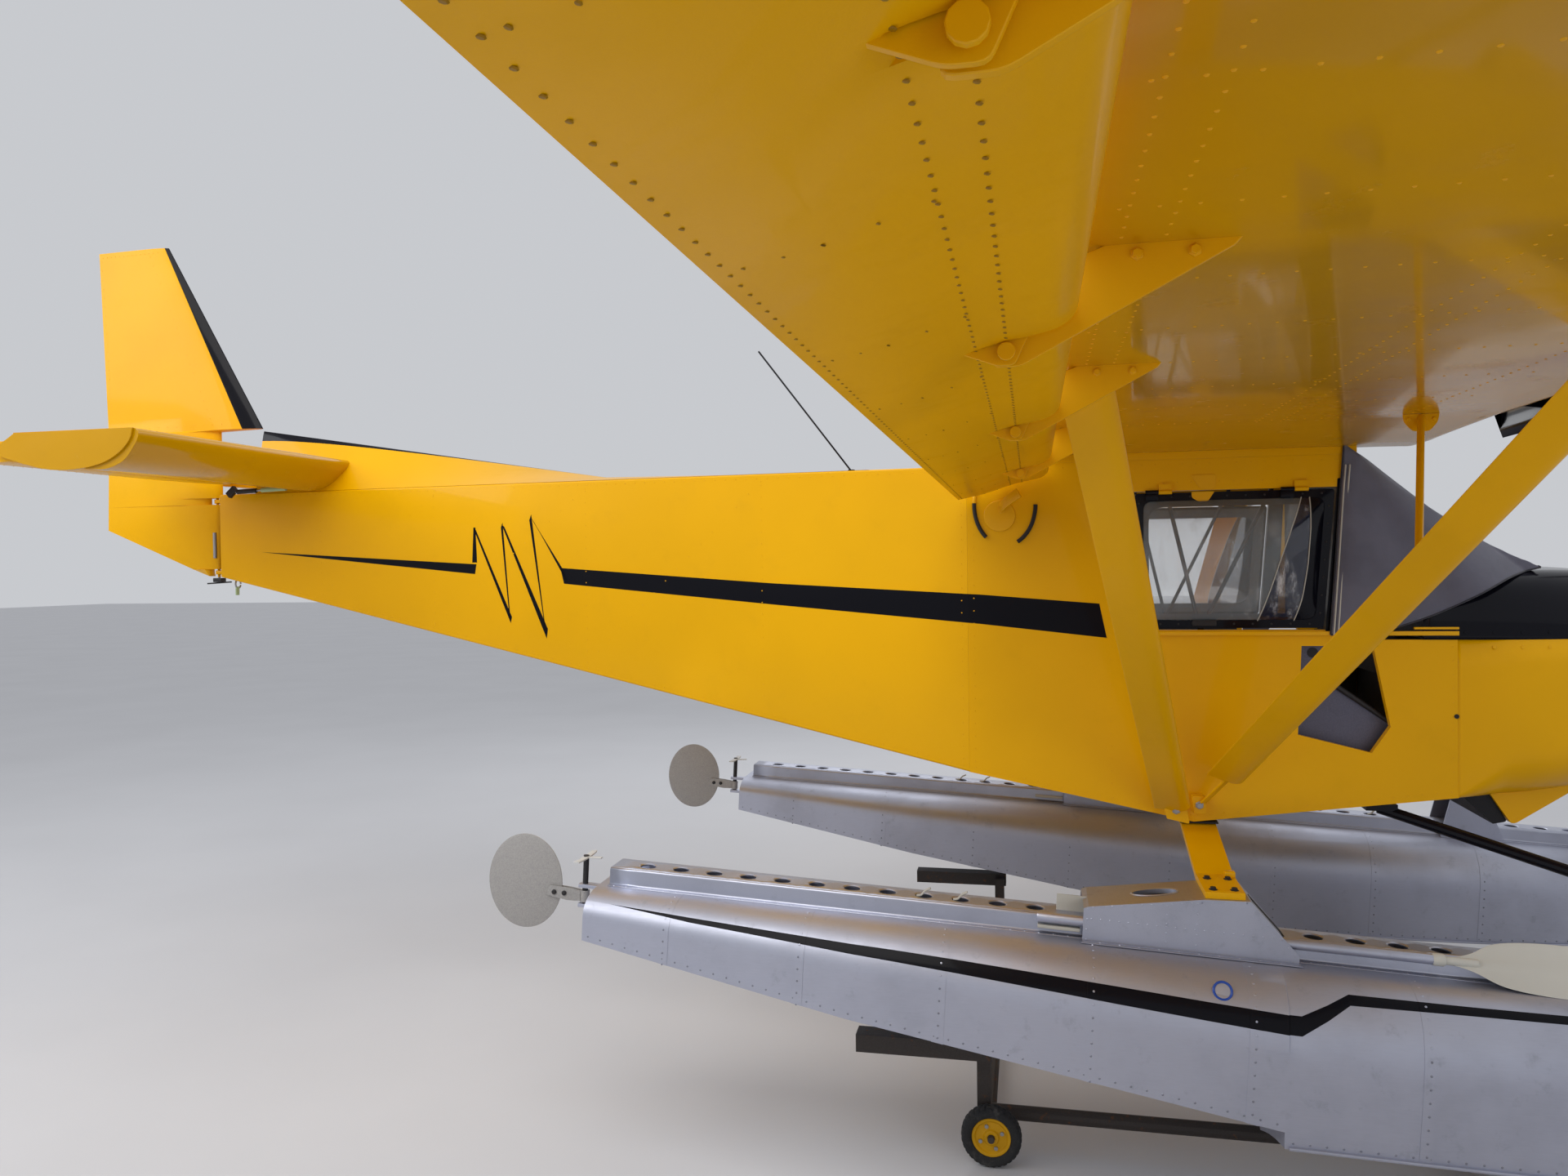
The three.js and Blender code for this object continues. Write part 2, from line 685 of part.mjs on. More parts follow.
// Jury strut: a thin tube from the middle of the front strut to a plate that hangs from the wing
const JURY_HEAD = { x: 1190, y: 1070 };
const JURY_PLATE = [[-48, 0], [-46, -22], [-22, -52], [22, -54], [44, -26], [48, 0]];

function juryStrut(side) {
  const { x, y } = JURY_HEAD;
  const head = mirrored([x, y, WING_Z - 8], side);
  const plate = JURY_PLATE.map(([u, v]) => [x + u, WING_Z - GAP + v]);
  const seat = strut(
    mirrored(FRONT_STRUT.foot, side),
    mirrored(FRONT_STRUT.head, side),
    FRONT_CHORD + 2 * GAP,
    FRONT_THICKNESS + 2 * GAP,
  );
  return cut(join(
    rod(mirrored(along(FRONT_STRUT, 0.6), side), head, 9, 8),
    sidePlate(plate, side * (y - 3), side * (y + 3)),
  ), seat);
}

// Tail

// Upside-down section: flat top and curved underside, fractions of chord and depth
const STAB_SECTION = [
  [0, -0.12], [0.02, -0.02], [0.06, 0], [1, 0], [1, -0.42], [0.8, -0.66], [0.6, -0.86], [0.4, -0.98],
  [0.25, -1], [0.12, -0.82], [0.03, -0.42],
];

function stabilizer() {
  const tail = STAB_HINGE.x + 46;
  const deepest = lerp(STAB_LE_X, tail, 0.25);
  const depth = STAB_TOP_Z - deckZ(deepest) - GAP;
  const body = loft([-STAB_HALF, STAB_HALF].map((y) => STAB_SECTION.map(([u, v]) => [
    lerp(STAB_LE_X, tail, u), y, STAB_TOP_Z + v * depth,
  ])));
  const { x, z } = STAB_HINGE;
  const plate = [
    [STAB_LE_X - 30, STAB_TOP_Z - 4], [STAB_LE_X - 90, STAB_TOP_Z - 96], [STAB_LE_X - 280, STAB_TOP_Z - 128],
    [tail - 10, z - 30], [x - 8, z - 18], [x - 18, z - 6], [x - 18, z + 6], [x - 8, z + 18],
    [tail, STAB_TOP_Z - 4],
  ];
  const ends = SIDES.map(([, side]) => sidePlate(plate, side * (STAB_HALF - 2), side * (STAB_HALF + 8)));
  return join(body, ...ends);
}

const ELEVATOR_SECTION = [
  [34, 0], [24, 24], [0, 34], [-130, 22], [-370, 3], [-370, -3], [-130, -26], [0, -34], [24, -24],
];

function elevator() {
  const { x, z } = STAB_HINGE;
  const end = STAB_HALF - 2;
  const halves = SIDES.map(([, side]) => loft([130, end - 6].map(
    (y) => ELEVATOR_SECTION.map(([u, v]) => [x + u, side * y, z + v]),
  )));
  const pins = SIDES.map(([, side]) => rod([x, side * (end - 8), z], [x, side * (end - GAP), z], 9, 12));
  const tube = rod([x, -160, z], [x, 160, z], 20, 12);
  const horn = sidePlate([[x - 14, z - 4], [x + 14, z - 4], [x + 6, z - 62], [x - 6, z - 62]], 100, 106);
  return join(...halves, ...pins, tube, horn);
}

// All-moving rudder: a thin tapered fin, with its balance area ahead of the hinge above the spine
const RUDDER_LUGS = [238, 545];

function rudder() {
  const levels = [
    // z, leading edge, trailing edge, half thickness
    [222, -3232, -3262, 22],
    [430, -3216, -3801, 33],
    [846, -3216, -3788, 31],
    [852, -3010, -3788, 31],
    [1655, -3459, -3817, 14],
  ];
  const ring = ([z, le, te, t]) => {
    const chord = te - le;
    const nose = le + chord * 0.06;
    const thick = Math.max(le + chord * 0.25, -3400);
    return [
      [le, -t * 0.25, z], [nose, -t * 0.75, z], [thick, -t, z], [te, -3, z],
      [te, 3, z], [thick, t, z], [nose, t * 0.75, z], [le, t * 0.25, z],
    ];
  };
  const notches = RUDDER_LUGS.map((z) => box(RUDDER_HINGE_X - 26, -3190, -60, 60, z - 13, z + 13));
  const pins = RUDDER_LUGS.map((z) => rod([RUDDER_HINGE_X, 0, z - 20], [RUDDER_HINGE_X, 0, z + 20], 6, 12));
  return join(cut(loft(levels.map(ring)), ...notches), ...pins);
}

// Hinge lugs on the tail post, bored for the rudder's pins
function tailLugs() {
  return RUDDER_LUGS.map((z) => cut(
    box(RUDDER_HINGE_X - 13, TAIL_POST_X + 4, -14, 14, z - 7, z + 7),
    rod([RUDDER_HINGE_X, 0, z - 30], [RUDDER_HINGE_X, 0, z + 30], 6.6, 12),
  ));
}

// Floats, in the floats' own frame: u along the deck, w up from the top of the deck channel

const FLOAT_STATIONS = [
  // u, half beam, keel, chine, deck edge
  [STERN_U, 198, -222, -186, DECK_W],
  [-300, 262, -352, -292, DECK_W],
  [STEP_U - 1, 290, -505, -424, DECK_W],
  [STEP_U + 1, 290, -560, -466, DECK_W],
  [1500, 284, -540, -448, DECK_W],
  [2100, 262, -500, -418, DECK_W],
  [2450, 232, -460, -383, DECK_W],
  [2700, 200, -416, -346, -58],
  [2950, 150, -344, -280, -72],
  [3130, 92, -256, -200, -90],
  [BOW_U, 26, -160, -138, -106],
];

function floatHull(side) {
  const rings = FLOAT_STATIONS.map(([u, b, keel, chine, deck]) => {
    const shoulder = lerp(deck, chine, 0.5);
    const half = [[b, chine], [b, shoulder], [b * 0.93, lerp(shoulder, deck, 0.55)],
      [b * 0.72, lerp(shoulder, deck, 0.88)], [b * 0.36, deck]];
    const port = half.map(([v, w]) => [u, side * FLOAT_Y + v, w]);
    const starboard = half.map(([v, w]) => [u, side * FLOAT_Y - v, w]).reverse();
    return [[u, side * FLOAT_Y, keel], ...port, ...starboard];
  });
  return loft(rings);
}

// Deck channel: an upturned channel with a row of lightening holes in its top
function deckChannel(side) {
  const [u0, u1] = [STERN_U + 30, 2440];
  const half = CHANNEL_W / 2;
  const y = side * FLOAT_Y;
  const pitch = 107.5;
  const holes = [];
  for (let u = -976; u < u1 - 60; u += pitch) {
    const underPylon = u > 270 && u < 900;
    if (!underPylon) holes.push(circle(u, y, 24, 24, 12));
  }
  const top = flatPlate([[u0, y - half], [u1, y - half], [u1, y + half], [u0, y + half]], -4, 0, holes);
  const webs = [y - half, y + half - 4].map((edge) => box(u0, u1, edge, edge + 4, -CHANNEL_H, -3));
  return join(top, ...webs);
}

// Height in the airframe of a point that is given in the floats' own frame
function floatZ(u, w) {
  return DECK_Z - u * Math.sin(FLOAT_TILT) + w * Math.cos(FLOAT_TILT);
}

const LANDING = { u0: 655, w0: 98, u1: 775, w1: 105 };

// Main pylon: a riveted box over the deck. Its flat landing carries the gear spring's end.
function mainPylon(side) {
  const y = side * FLOAT_Y;
  const half = 98;
  const shell = sidePlate([
    [352, 46], [LANDING.u0, LANDING.w0], [LANDING.u1, LANDING.w1], [905, -30], [905, -CHANNEL_H],
    [338, -CHANNEL_H], [338, 40],
  ], y - half, y + half);
  const room = sidePlate([
    [354, 39], [LANDING.u0, LANDING.w0 - 7], [LANDING.u1 - 4, LANDING.w1 - 8], [894, -34], [894, -80],
    [300, -80], [300, 39],
  ], y - half + 6, y + half - 6);
  const opening = sidePlate([[850, -80], [850, 14], [940, 14], [940, -80]], y - half + 6, y + half - 6);
  const oval = flatPlate(circle(535, y, 60, 30, 18), 0, 200);
  return cut(shell, room, opening, oval);
}

const STRUT_SEAT = { u0: 1885, w0: 125, u1: 2005, w1: 132 };

// Front pylon: a smaller box that takes the foot of the black float strut
function frontPylon(side) {
  const y = side * FLOAT_Y;
  const { u0, w0, u1, w1 } = STRUT_SEAT;
  const shell = sidePlate([[1850, -CHANNEL_H], [u0, w0], [u1, w1], [2090, -CHANNEL_H]], y - 84, y + 84);
  const room = sidePlate([[1840, -90], [u0 - 9, w0 - 17], [u1 - 4, w1 - 8], [2100, -90]], y - 78, y + 78);
  const channelRoom = box(1820, 2120, y - 61, y + 61, -90, 2);
  return cut(shell, room, channelRoom);
}

// Gear spring: one flat leaf that bends down from the belly to both main pylons
function gearSpring() {
  const t = 18;
  const [rise, seat] = [bellyZ(GEAR_X) - GAP, floatZ(LANDING.u1, LANDING.w1) + t + GAP];
  const half = [[470, rise], [818, seat], [1012, seat]];
  const top = [...half.map(([y, z]) => [-y, z]).reverse(), ...half];
  const low = top.map(([y, z]) => [y, z - t]).reverse();
  const shape = new THREE.Shape([...top, ...low].map(([y, z]) => new THREE.Vector2(y, z)));
  const leaf = new THREE.ExtrudeGeometry(shape, { depth: 104, bevelEnabled: false });
  return leaf.rotateY(Math.PI / 2).rotateX(Math.PI / 2).translate(664, 0, 0);
}

// Float strut: a tube from the fuselage's lower edge to the front pylon, with a plate at each end
function floatStrut(side) {
  const seat = floatZ(STRUT_SEAT.u1, STRUT_SEAT.w1) + GAP;
  const [footX, headX, plate] = [1950, 1255, 20];
  const top = bellyZ(headX - 45) - GAP;
  return join(
    rod([headX, side * 452, top - 18], [footX, side * (FLOAT_Y - 6), seat + 18], 17, 12),
    sideBox(side, headX - 45, headX + 45, 420, 490, top - plate, top),
    sideBox(side, footX - 50, footX + 50, FLOAT_Y - 40, FLOAT_Y + 40, seat, seat + 10),
  );
}

const SPREADER_U = 2402;

function spreaderBar() {
  const bar = rod([SPREADER_U, -FLOAT_Y - 40, 26], [SPREADER_U, FLOAT_Y + 40, 26], 22, 14);
  const saddles = SIDES.map(([, side]) => box(
    SPREADER_U - 34, SPREADER_U + 34, side * FLOAT_Y - 36, side * FLOAT_Y + 36, GAP, 12,
  ));
  return join(bar, ...saddles);
}

// Water rudder: an oval plate on a fork that turns with its post behind the stern
const RUDDER_POST_U = -1183;

function waterRudder(side) {
  const y = side * FLOAT_Y;
  const plate = sidePlate(circle(-1387, -88, 126, 151, 28), y - 3, y + 3);
  const post = rod([RUDDER_POST_U, y, -150], [RUDDER_POST_U, y, 14], 9, 12);
  const fork = sidePlate([
    [RUDDER_POST_U, -100], [-1240, -94], [-1300, -96], [-1300, -124], [-1240, -132], [RUDDER_POST_U, -132],
  ], y - 9, y + 9);
  const tiller = box(RUDDER_POST_U - 11, RUDDER_POST_U + 11, y - 74, y + 74, 4, 12);
  return join(plate, post, fork, tiller);
}

// Lugs on the stern that hold the water rudder's post
function sternLugs(side) {
  const y = side * FLOAT_Y;
  const bore = rod([RUDDER_POST_U, y, -200], [RUDDER_POST_U, y, 30], 9.6, 12);
  const lugs = [[-88, -76], [-150, -138]].map(([w0, w1]) => box(
    RUDDER_POST_U - 17, STERN_U + 4, y - 16, y + 16, w0, w1,
  ));
  return lugs.map((lug) => cut(lug, bore));
}

// Paddle stowed beside the right float's channel: its tube runs through the main pylon
function paddle() {
  const [radius, w] = [14, -5];
  const y = -FLOAT_Y - CHANNEL_W / 2 - radius - GAP;
  const tube = rod([212, y, w], [1310, y, w], radius, 12);
  const outline = [
    [1290, -12], [1340, -18], [1400, -52], [1500, -76], [1680, -76], [1760, -50],
    [1778, 0], [1760, 50], [1680, 76], [1500, 76], [1400, 52], [1340, 18], [1290, 12],
  ];
  const blade = flatPlate(outline, -3, 3).rotateX(THREE.MathUtils.degToRad(42)).translate(0, y, w + 1);
  return join(tube, blade);
}

// Antenna: a whip on a small foot on the spine's ridge
function antenna() {
  const x = -462;
  const foot = between(SPINE, x, 2) + GAP;
  return join(
    rod([x, 0, foot], [x, 0, foot + 12], 13, 12),
    rod([x, 0, foot + 6], [-820, 0, 1065], 3.5, 8),
  );
}

// Dolly: two low rails under the floats with cross tubes, rear bearers on posts and a front bunk

const REAR_BEARER = { x0: -320, x1: 80 };
const FRONT_BUNK = { x0: 1420, x1: 1512 };
const AXLE_Z = FLOOR_Z + WHEEL_R;
const RAIL_Y = 800;
const DOLLY_WHEELS = [
  // name, x, distance from the centre plane
  ['rear', DOLLY_X.rear, FLOAT_Y + 3],
  ['front', DOLLY_X.front, 700],
];
const WHEEL_W = 52;

// Level just under a float's keel, at the place along the deck nearest to x
function keelZ(x) {
  return floatZ(x + 25, between(FLOAT_STATIONS, x + 25, 2)) - GAP;
}

function dollyFrame() {
  const bearerZ = Math.min(keelZ(REAR_BEARER.x0), keelZ(REAR_BEARER.x1));
  const bunkZ = Math.min(keelZ(FRONT_BUNK.x0), keelZ(FRONT_BUNK.x1));
  const postX = DOLLY_X.rear - 22;
  const sidePieces = SIDES.flatMap(([, side]) => [
    rod([postX, side * RAIL_Y, RAIL_Z], [DOLLY_X.front + 60, side * RAIL_Y, RAIL_Z], 22, 12),
    sideBox(side, REAR_BEARER.x0, REAR_BEARER.x1, FLOAT_Y - 34, FLOAT_Y + 34, bearerZ - 52, bearerZ),
    sideBox(side, postX - 20, postX + 20, FLOAT_Y - 82, FLOAT_Y - 34, RAIL_Z - 30, bearerZ - 10),
    sideBox(side, postX - 20, postX + 20, RAIL_Y - 10, FLOAT_Y - 40, RAIL_Z - 22, RAIL_Z + 22),
  ]);
  const axles = DOLLY_WHEELS.map(([, x, y]) => {
    const end = Math.max(y + WHEEL_W / 2 + 6, RAIL_Y);
    return rod([x, -end, AXLE_Z], [x, end, AXLE_Z], 10, 12);
  });
  const ties = [postX, FRONT_BUNK.x1 - 20].map(
    (x) => box(x - 20, x + 20, -RAIL_Y, RAIL_Y, RAIL_Z - 22, RAIL_Z),
  );
  const bunk = box(FRONT_BUNK.x0, FRONT_BUNK.x1, -FLOAT_Y - 120, FLOAT_Y + 120, RAIL_Z + 14, bunkZ);
  const towPlate = box(DOLLY_X.front - 14, DOLLY_X.front + 130, -50, 50, AXLE_Z - 4, AXLE_Z + 8);
  return join(...sidePieces, ...axles, ...ties, bunk, towPlate);
}

function dollyWheel() {
  const half = WHEEL_W / 2;
  const profile = [
    [10.6, -20], [26, -20], [30, -12], [54, -12], [62, -half], [80, -half], [WHEEL_R, -12],
    [WHEEL_R, 12], [80, half], [62, half], [54, 12], [30, 12], [26, 20], [10.6, 20], [10.6, -20],
  ];
  return new THREE.LatheGeometry(profile.map(([r, y]) => new THREE.Vector2(r, y)), 22);
}

// The whole floatplane

const glass = finish(GLASS, 0.05);
const dark = finish(0x24211f, 0.6);
const grey = finish(GREY, 0.6);

add('fuselage_rear', join(rearFuselage(), ...tailLugs()), paint);
add('dorsal_spine', dorsalSpine(), paint);
add('cabin_floor', cabinFloor(), paint);
add('cabin_roof', cabinRoof(), paint);
add('cabin_frame', cabinFrame(), dark);
add('firewall', firewall(), alloy);
add('seat', seats(), dark);
add('instrument_panel', instrumentPanel(), black);
add('control_stick', controlStick(), dark);
add('windshield', windshield(), glass);
add('windshield_cover', windshieldCover(), finish(CLOTH, 0.95));
add('cowl_upper', cowlUpper(), black);
add('cowl_lower', cowlLower(), paint);
add('engine', engine(), dark);
add('propeller', propeller(), black);
add('stabilizer', stabilizer(), paint);
add('elevator', elevator(), paint);
add('rudder', rudder(), paint);
add('gear_spring', gearSpring(), paint);
add('spreader_bar', spreaderBar(), alloy, floatGroup);
add('paddle', paddle(), alloy, floatGroup);
add('antenna', antenna(), black);
add('dolly_frame', dollyFrame(), dark);

for (const [name, side] of SIDES) {
  add(`cabin_side_${name}`, cabinSide(side), paint);
  add(`door_${name}`, door(side), glass);
  add(`wing_${name}`, wing(side), paint);
  add(`slat_${name}`, slat(side), black);
  add(`flaperon_${name}`, flaperon(side), paint);
  add(`strut_front_${name}`, frontStrut(side), paint);
  add(`strut_rear_${name}`, rearStrut(side), paint);
  add(`jury_strut_${name}`, juryStrut(side), paint);
  add(`float_strut_${name}`, floatStrut(side), black);
  add(`float_${name}`, join(floatHull(side), ...sternLugs(side)), alloy, floatGroup);
  add(`deck_channel_${name}`, deckChannel(side), alloy, floatGroup);
  add(`pylon_main_${name}`, mainPylon(side), alloy, floatGroup);
  add(`pylon_front_${name}`, frontPylon(side), alloy, floatGroup);
  add(`water_rudder_${name}`, waterRudder(side), grey, floatGroup);
  for (const [end, x, y] of DOLLY_WHEELS) {
    add(`dolly_wheel_${end}_${name}`, dollyWheel(), dark).position.set(x, side * y, AXLE_Z);
  }
}

export default model;
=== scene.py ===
"""Finishes a light high-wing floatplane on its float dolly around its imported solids."""

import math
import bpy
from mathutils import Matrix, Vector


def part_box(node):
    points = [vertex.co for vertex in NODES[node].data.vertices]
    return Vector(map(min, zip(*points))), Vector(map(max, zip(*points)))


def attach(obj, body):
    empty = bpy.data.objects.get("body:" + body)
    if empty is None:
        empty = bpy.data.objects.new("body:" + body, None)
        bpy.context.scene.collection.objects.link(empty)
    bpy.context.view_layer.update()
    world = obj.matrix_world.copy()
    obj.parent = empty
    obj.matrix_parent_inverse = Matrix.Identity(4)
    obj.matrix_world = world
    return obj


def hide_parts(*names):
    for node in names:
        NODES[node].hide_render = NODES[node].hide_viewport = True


bl_info = {
    "name": "Floatplane on a float dolly",
    "version": (1, 0, 0),
    "blender": (4, 5, 0),
    "location": "View3D > Sidebar > Floatplane",
    "description": "Paint, sheet metal, rivets, cloth, panes and fittings for a floatplane and its dolly",
    "category": "Object",
}

import bmesh
import bpy
import numpy as np
from bpy.props import FloatProperty, FloatVectorProperty, IntProperty, PointerProperty
from mathutils import Matrix, Vector
from mathutils.geometry import tessellate_polygon

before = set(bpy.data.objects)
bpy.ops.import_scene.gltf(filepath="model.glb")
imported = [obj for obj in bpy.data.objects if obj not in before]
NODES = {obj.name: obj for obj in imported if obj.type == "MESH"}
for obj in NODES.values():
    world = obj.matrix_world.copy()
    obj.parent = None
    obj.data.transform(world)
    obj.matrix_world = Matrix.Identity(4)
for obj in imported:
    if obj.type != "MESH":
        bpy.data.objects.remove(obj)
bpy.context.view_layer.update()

# Places, in metres. The airframe is measured from its own datum: x from the cabin's rear seam, y from
# the centre plane, z from the door sill. The floats have a tilted frame of their own under it.
ROOF_TOP = 0.575
DATUM = np.array([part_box("cabin_side_right")[0].x, 0.0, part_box("cabin_roof")[1].z - ROOF_TOP])
HALF_W = 0.52
TAIL_POST = -3.2
TAIL_HALF_W = 0.041
TUCK_Z, TAIL_LOW_Z = -0.455, 0.217
LONGERON_Z, TAIL_TOP_Z = 0.551, 0.572
FIREWALL_X = 1.46
FLOAT_Y = 0.927
FLOAT_TILT = 0.0578
DECK_Z = -0.759
SIDES = {"right": -1, "left": 1}
BOTH = (-1, 1)


def at(x, y, z):
    """Points of the airframe, in its own measures, as an array of places in the row's frame."""
    return np.stack(np.broadcast_arrays(*(np.asarray(v, float) for v in (x, y, z))), -1) + DATUM


def on_float(u, y, w):
    """Points given along the deck (u), across (y) and above the deck channel's top (w)."""
    s, c = math.sin(FLOAT_TILT), math.cos(FLOAT_TILT)
    u, y, w = np.broadcast_arrays(*(np.asarray(v, float) for v in (u, y, w)))
    return at(u * c + w * s, y, DECK_Z - u * s + w * c)


def through(*places):
    """A path through places of the airframe, each given as x, y, z."""
    return at(*np.array(places, float).T)


def unit(vectors):
    """Vectors made one long."""
    return vectors / np.maximum(np.linalg.norm(vectors, axis=-1, keepdims=True), 1e-12)


def lerp(a, b, t):
    """The value at a share t of the way from a to b."""
    return a + (b - a) * t


def table(rows, places, *columns):
    """Columns of a table of stations, read at any places along its first column."""
    rows = np.asarray(rows, float)
    rows = rows[np.argsort(rows[:, 0])]
    return [np.interp(places, rows[:, 0], rows[:, k]) for k in columns]


def spline(points, per, closed=False):
    """Smooth line through points: between neighbours a cubic whose slopes are half the chord that
    joins the points on either side, with per steps to a stretch."""
    p = np.asarray(points, float)
    if closed:
        p = np.concatenate([p[-1:], p, p[:2]])
    else:
        p = np.concatenate([2 * p[:1] - p[1:2], p, 2 * p[-1:] - p[-2:-1]])
    t = np.linspace(0, 1, per, endpoint=False)[None, :, None]
    a, b, c, d = (p[i:len(p) - 3 + i][:, None] for i in range(4))
    curve = 0.5 * (2 * b + (c - a) * t + (2 * a - 5 * b + 4 * c - d) * t**2
                   + (3 * b - a - 3 * c + d) * t**3)
    curve = curve.reshape(-1, p.shape[1])
    return curve if closed else np.concatenate([curve, p[-2:-1]])


def bent(points, radius, steps=6, closed=False):
    """A line of straight stretches whose corners are rounded: each corner becomes a curve that leaves
    and meets its two stretches at radius from the corner."""
    p = np.asarray(points, float)
    corner = p if closed else p[1:-1]
    before, after = (np.roll(p, 1, 0), np.roll(p, -1, 0)) if closed else (p[:-2], p[2:])
    a, b = ((corner + unit(other - corner) * radius)[:, None] for other in (before, after))
    t = np.linspace(0, 1, steps)[:, None]
    curve = (1 - t) ** 2 * a + 2 * t * (1 - t) * corner[:, None] + t**2 * b
    curve = curve.reshape(-1, p.shape[1])
    return curve if closed else np.concatenate([p[:1], curve, p[-1:]])


def ring(radius, sides, turn=0.0):
    """Points evenly round a circle, as two columns."""
    angle = np.arange(sides) * 2 * math.pi / sides + turn
    return np.stack([np.cos(angle), np.sin(angle)], -1) * radius


def rounded_box(half_a, half_b, radius, per=4):
    """Outline of a rectangle with round corners, as offsets across and up."""
    angle = np.linspace(0, math.pi / 2, per)
    quarter = np.stack([np.cos(angle), np.sin(angle)], -1) * radius
    corners = []
    for k, (sa, sb) in enumerate([(1, 1), (-1, 1), (-1, -1), (1, -1)]):
        c, s = math.cos(k * math.pi / 2), math.sin(k * math.pi / 2)
        turned = quarter @ np.array([[c, s], [-s, c]])
        corners.append(turned + [sa * (half_a - radius), sb * (half_b - radius)])
    return np.concatenate(corners)


def carried(path, profile, up=(0, 0, 1)):
    """A grid of points: a flat profile (across, up) carried along a path, square to it."""
    path = np.asarray(path, float)
    along = unit(np.gradient(path, axis=0))
    across = unit(np.cross(along, np.asarray(up, float)))
    rise = np.cross(across, along)
    profile = np.asarray(profile, float)
    if profile.ndim == 2:
        profile = profile[None]
    return path[:, None] + across[:, None] * profile[..., :1] + rise[:, None] * profile[..., 1:]


def square_to(axis):
    """Two unit vectors square to an axis and to each other."""
    first = unit(np.cross(axis, [0.31, 0.83, 0.47]))
    return first, np.cross(axis, first)


def turned(profile, centre, axis, sides=32):
    """A grid of points: a profile of (radius, place along the axis) turned round an axis."""
    axis = unit(np.asarray(axis, float))
    first, second = square_to(axis)
    cos, sin = ring(1, sides).T[..., None]
    profile = np.asarray(profile, float)
    outwards = profile[:, None, :1] * (cos * first + sin * second)
    return np.asarray(centre) + profile[:, None, 1:] * axis + outwards


def oval(middle, half_a, half_b, count=40, start=0.0, end=2 * math.pi, closed=True):
    """Points of an ellipse, or of a part of it, as two columns."""
    angle = np.linspace(start, end, count, endpoint=not closed)
    return np.stack([middle[0] + half_a * np.cos(angle), middle[1] + half_b * np.sin(angle)], -1)


def face_places(rows, columns):
    """Row and column of each face of a sheet with so many rows and columns of faces."""
    return np.divmod(np.arange(rows * columns), columns)


def filled(*loops):
    """Triangles that fill a flat outline and leave the loops in it open, as numbers of their points."""
    return np.array(tessellate_polygon([[Vector((*p, 0)) for p in loop] for loop in loops]))


# Where the side of a rivet head turns over, as a share of its radius and height
DOME_SHOULDER = 0.72


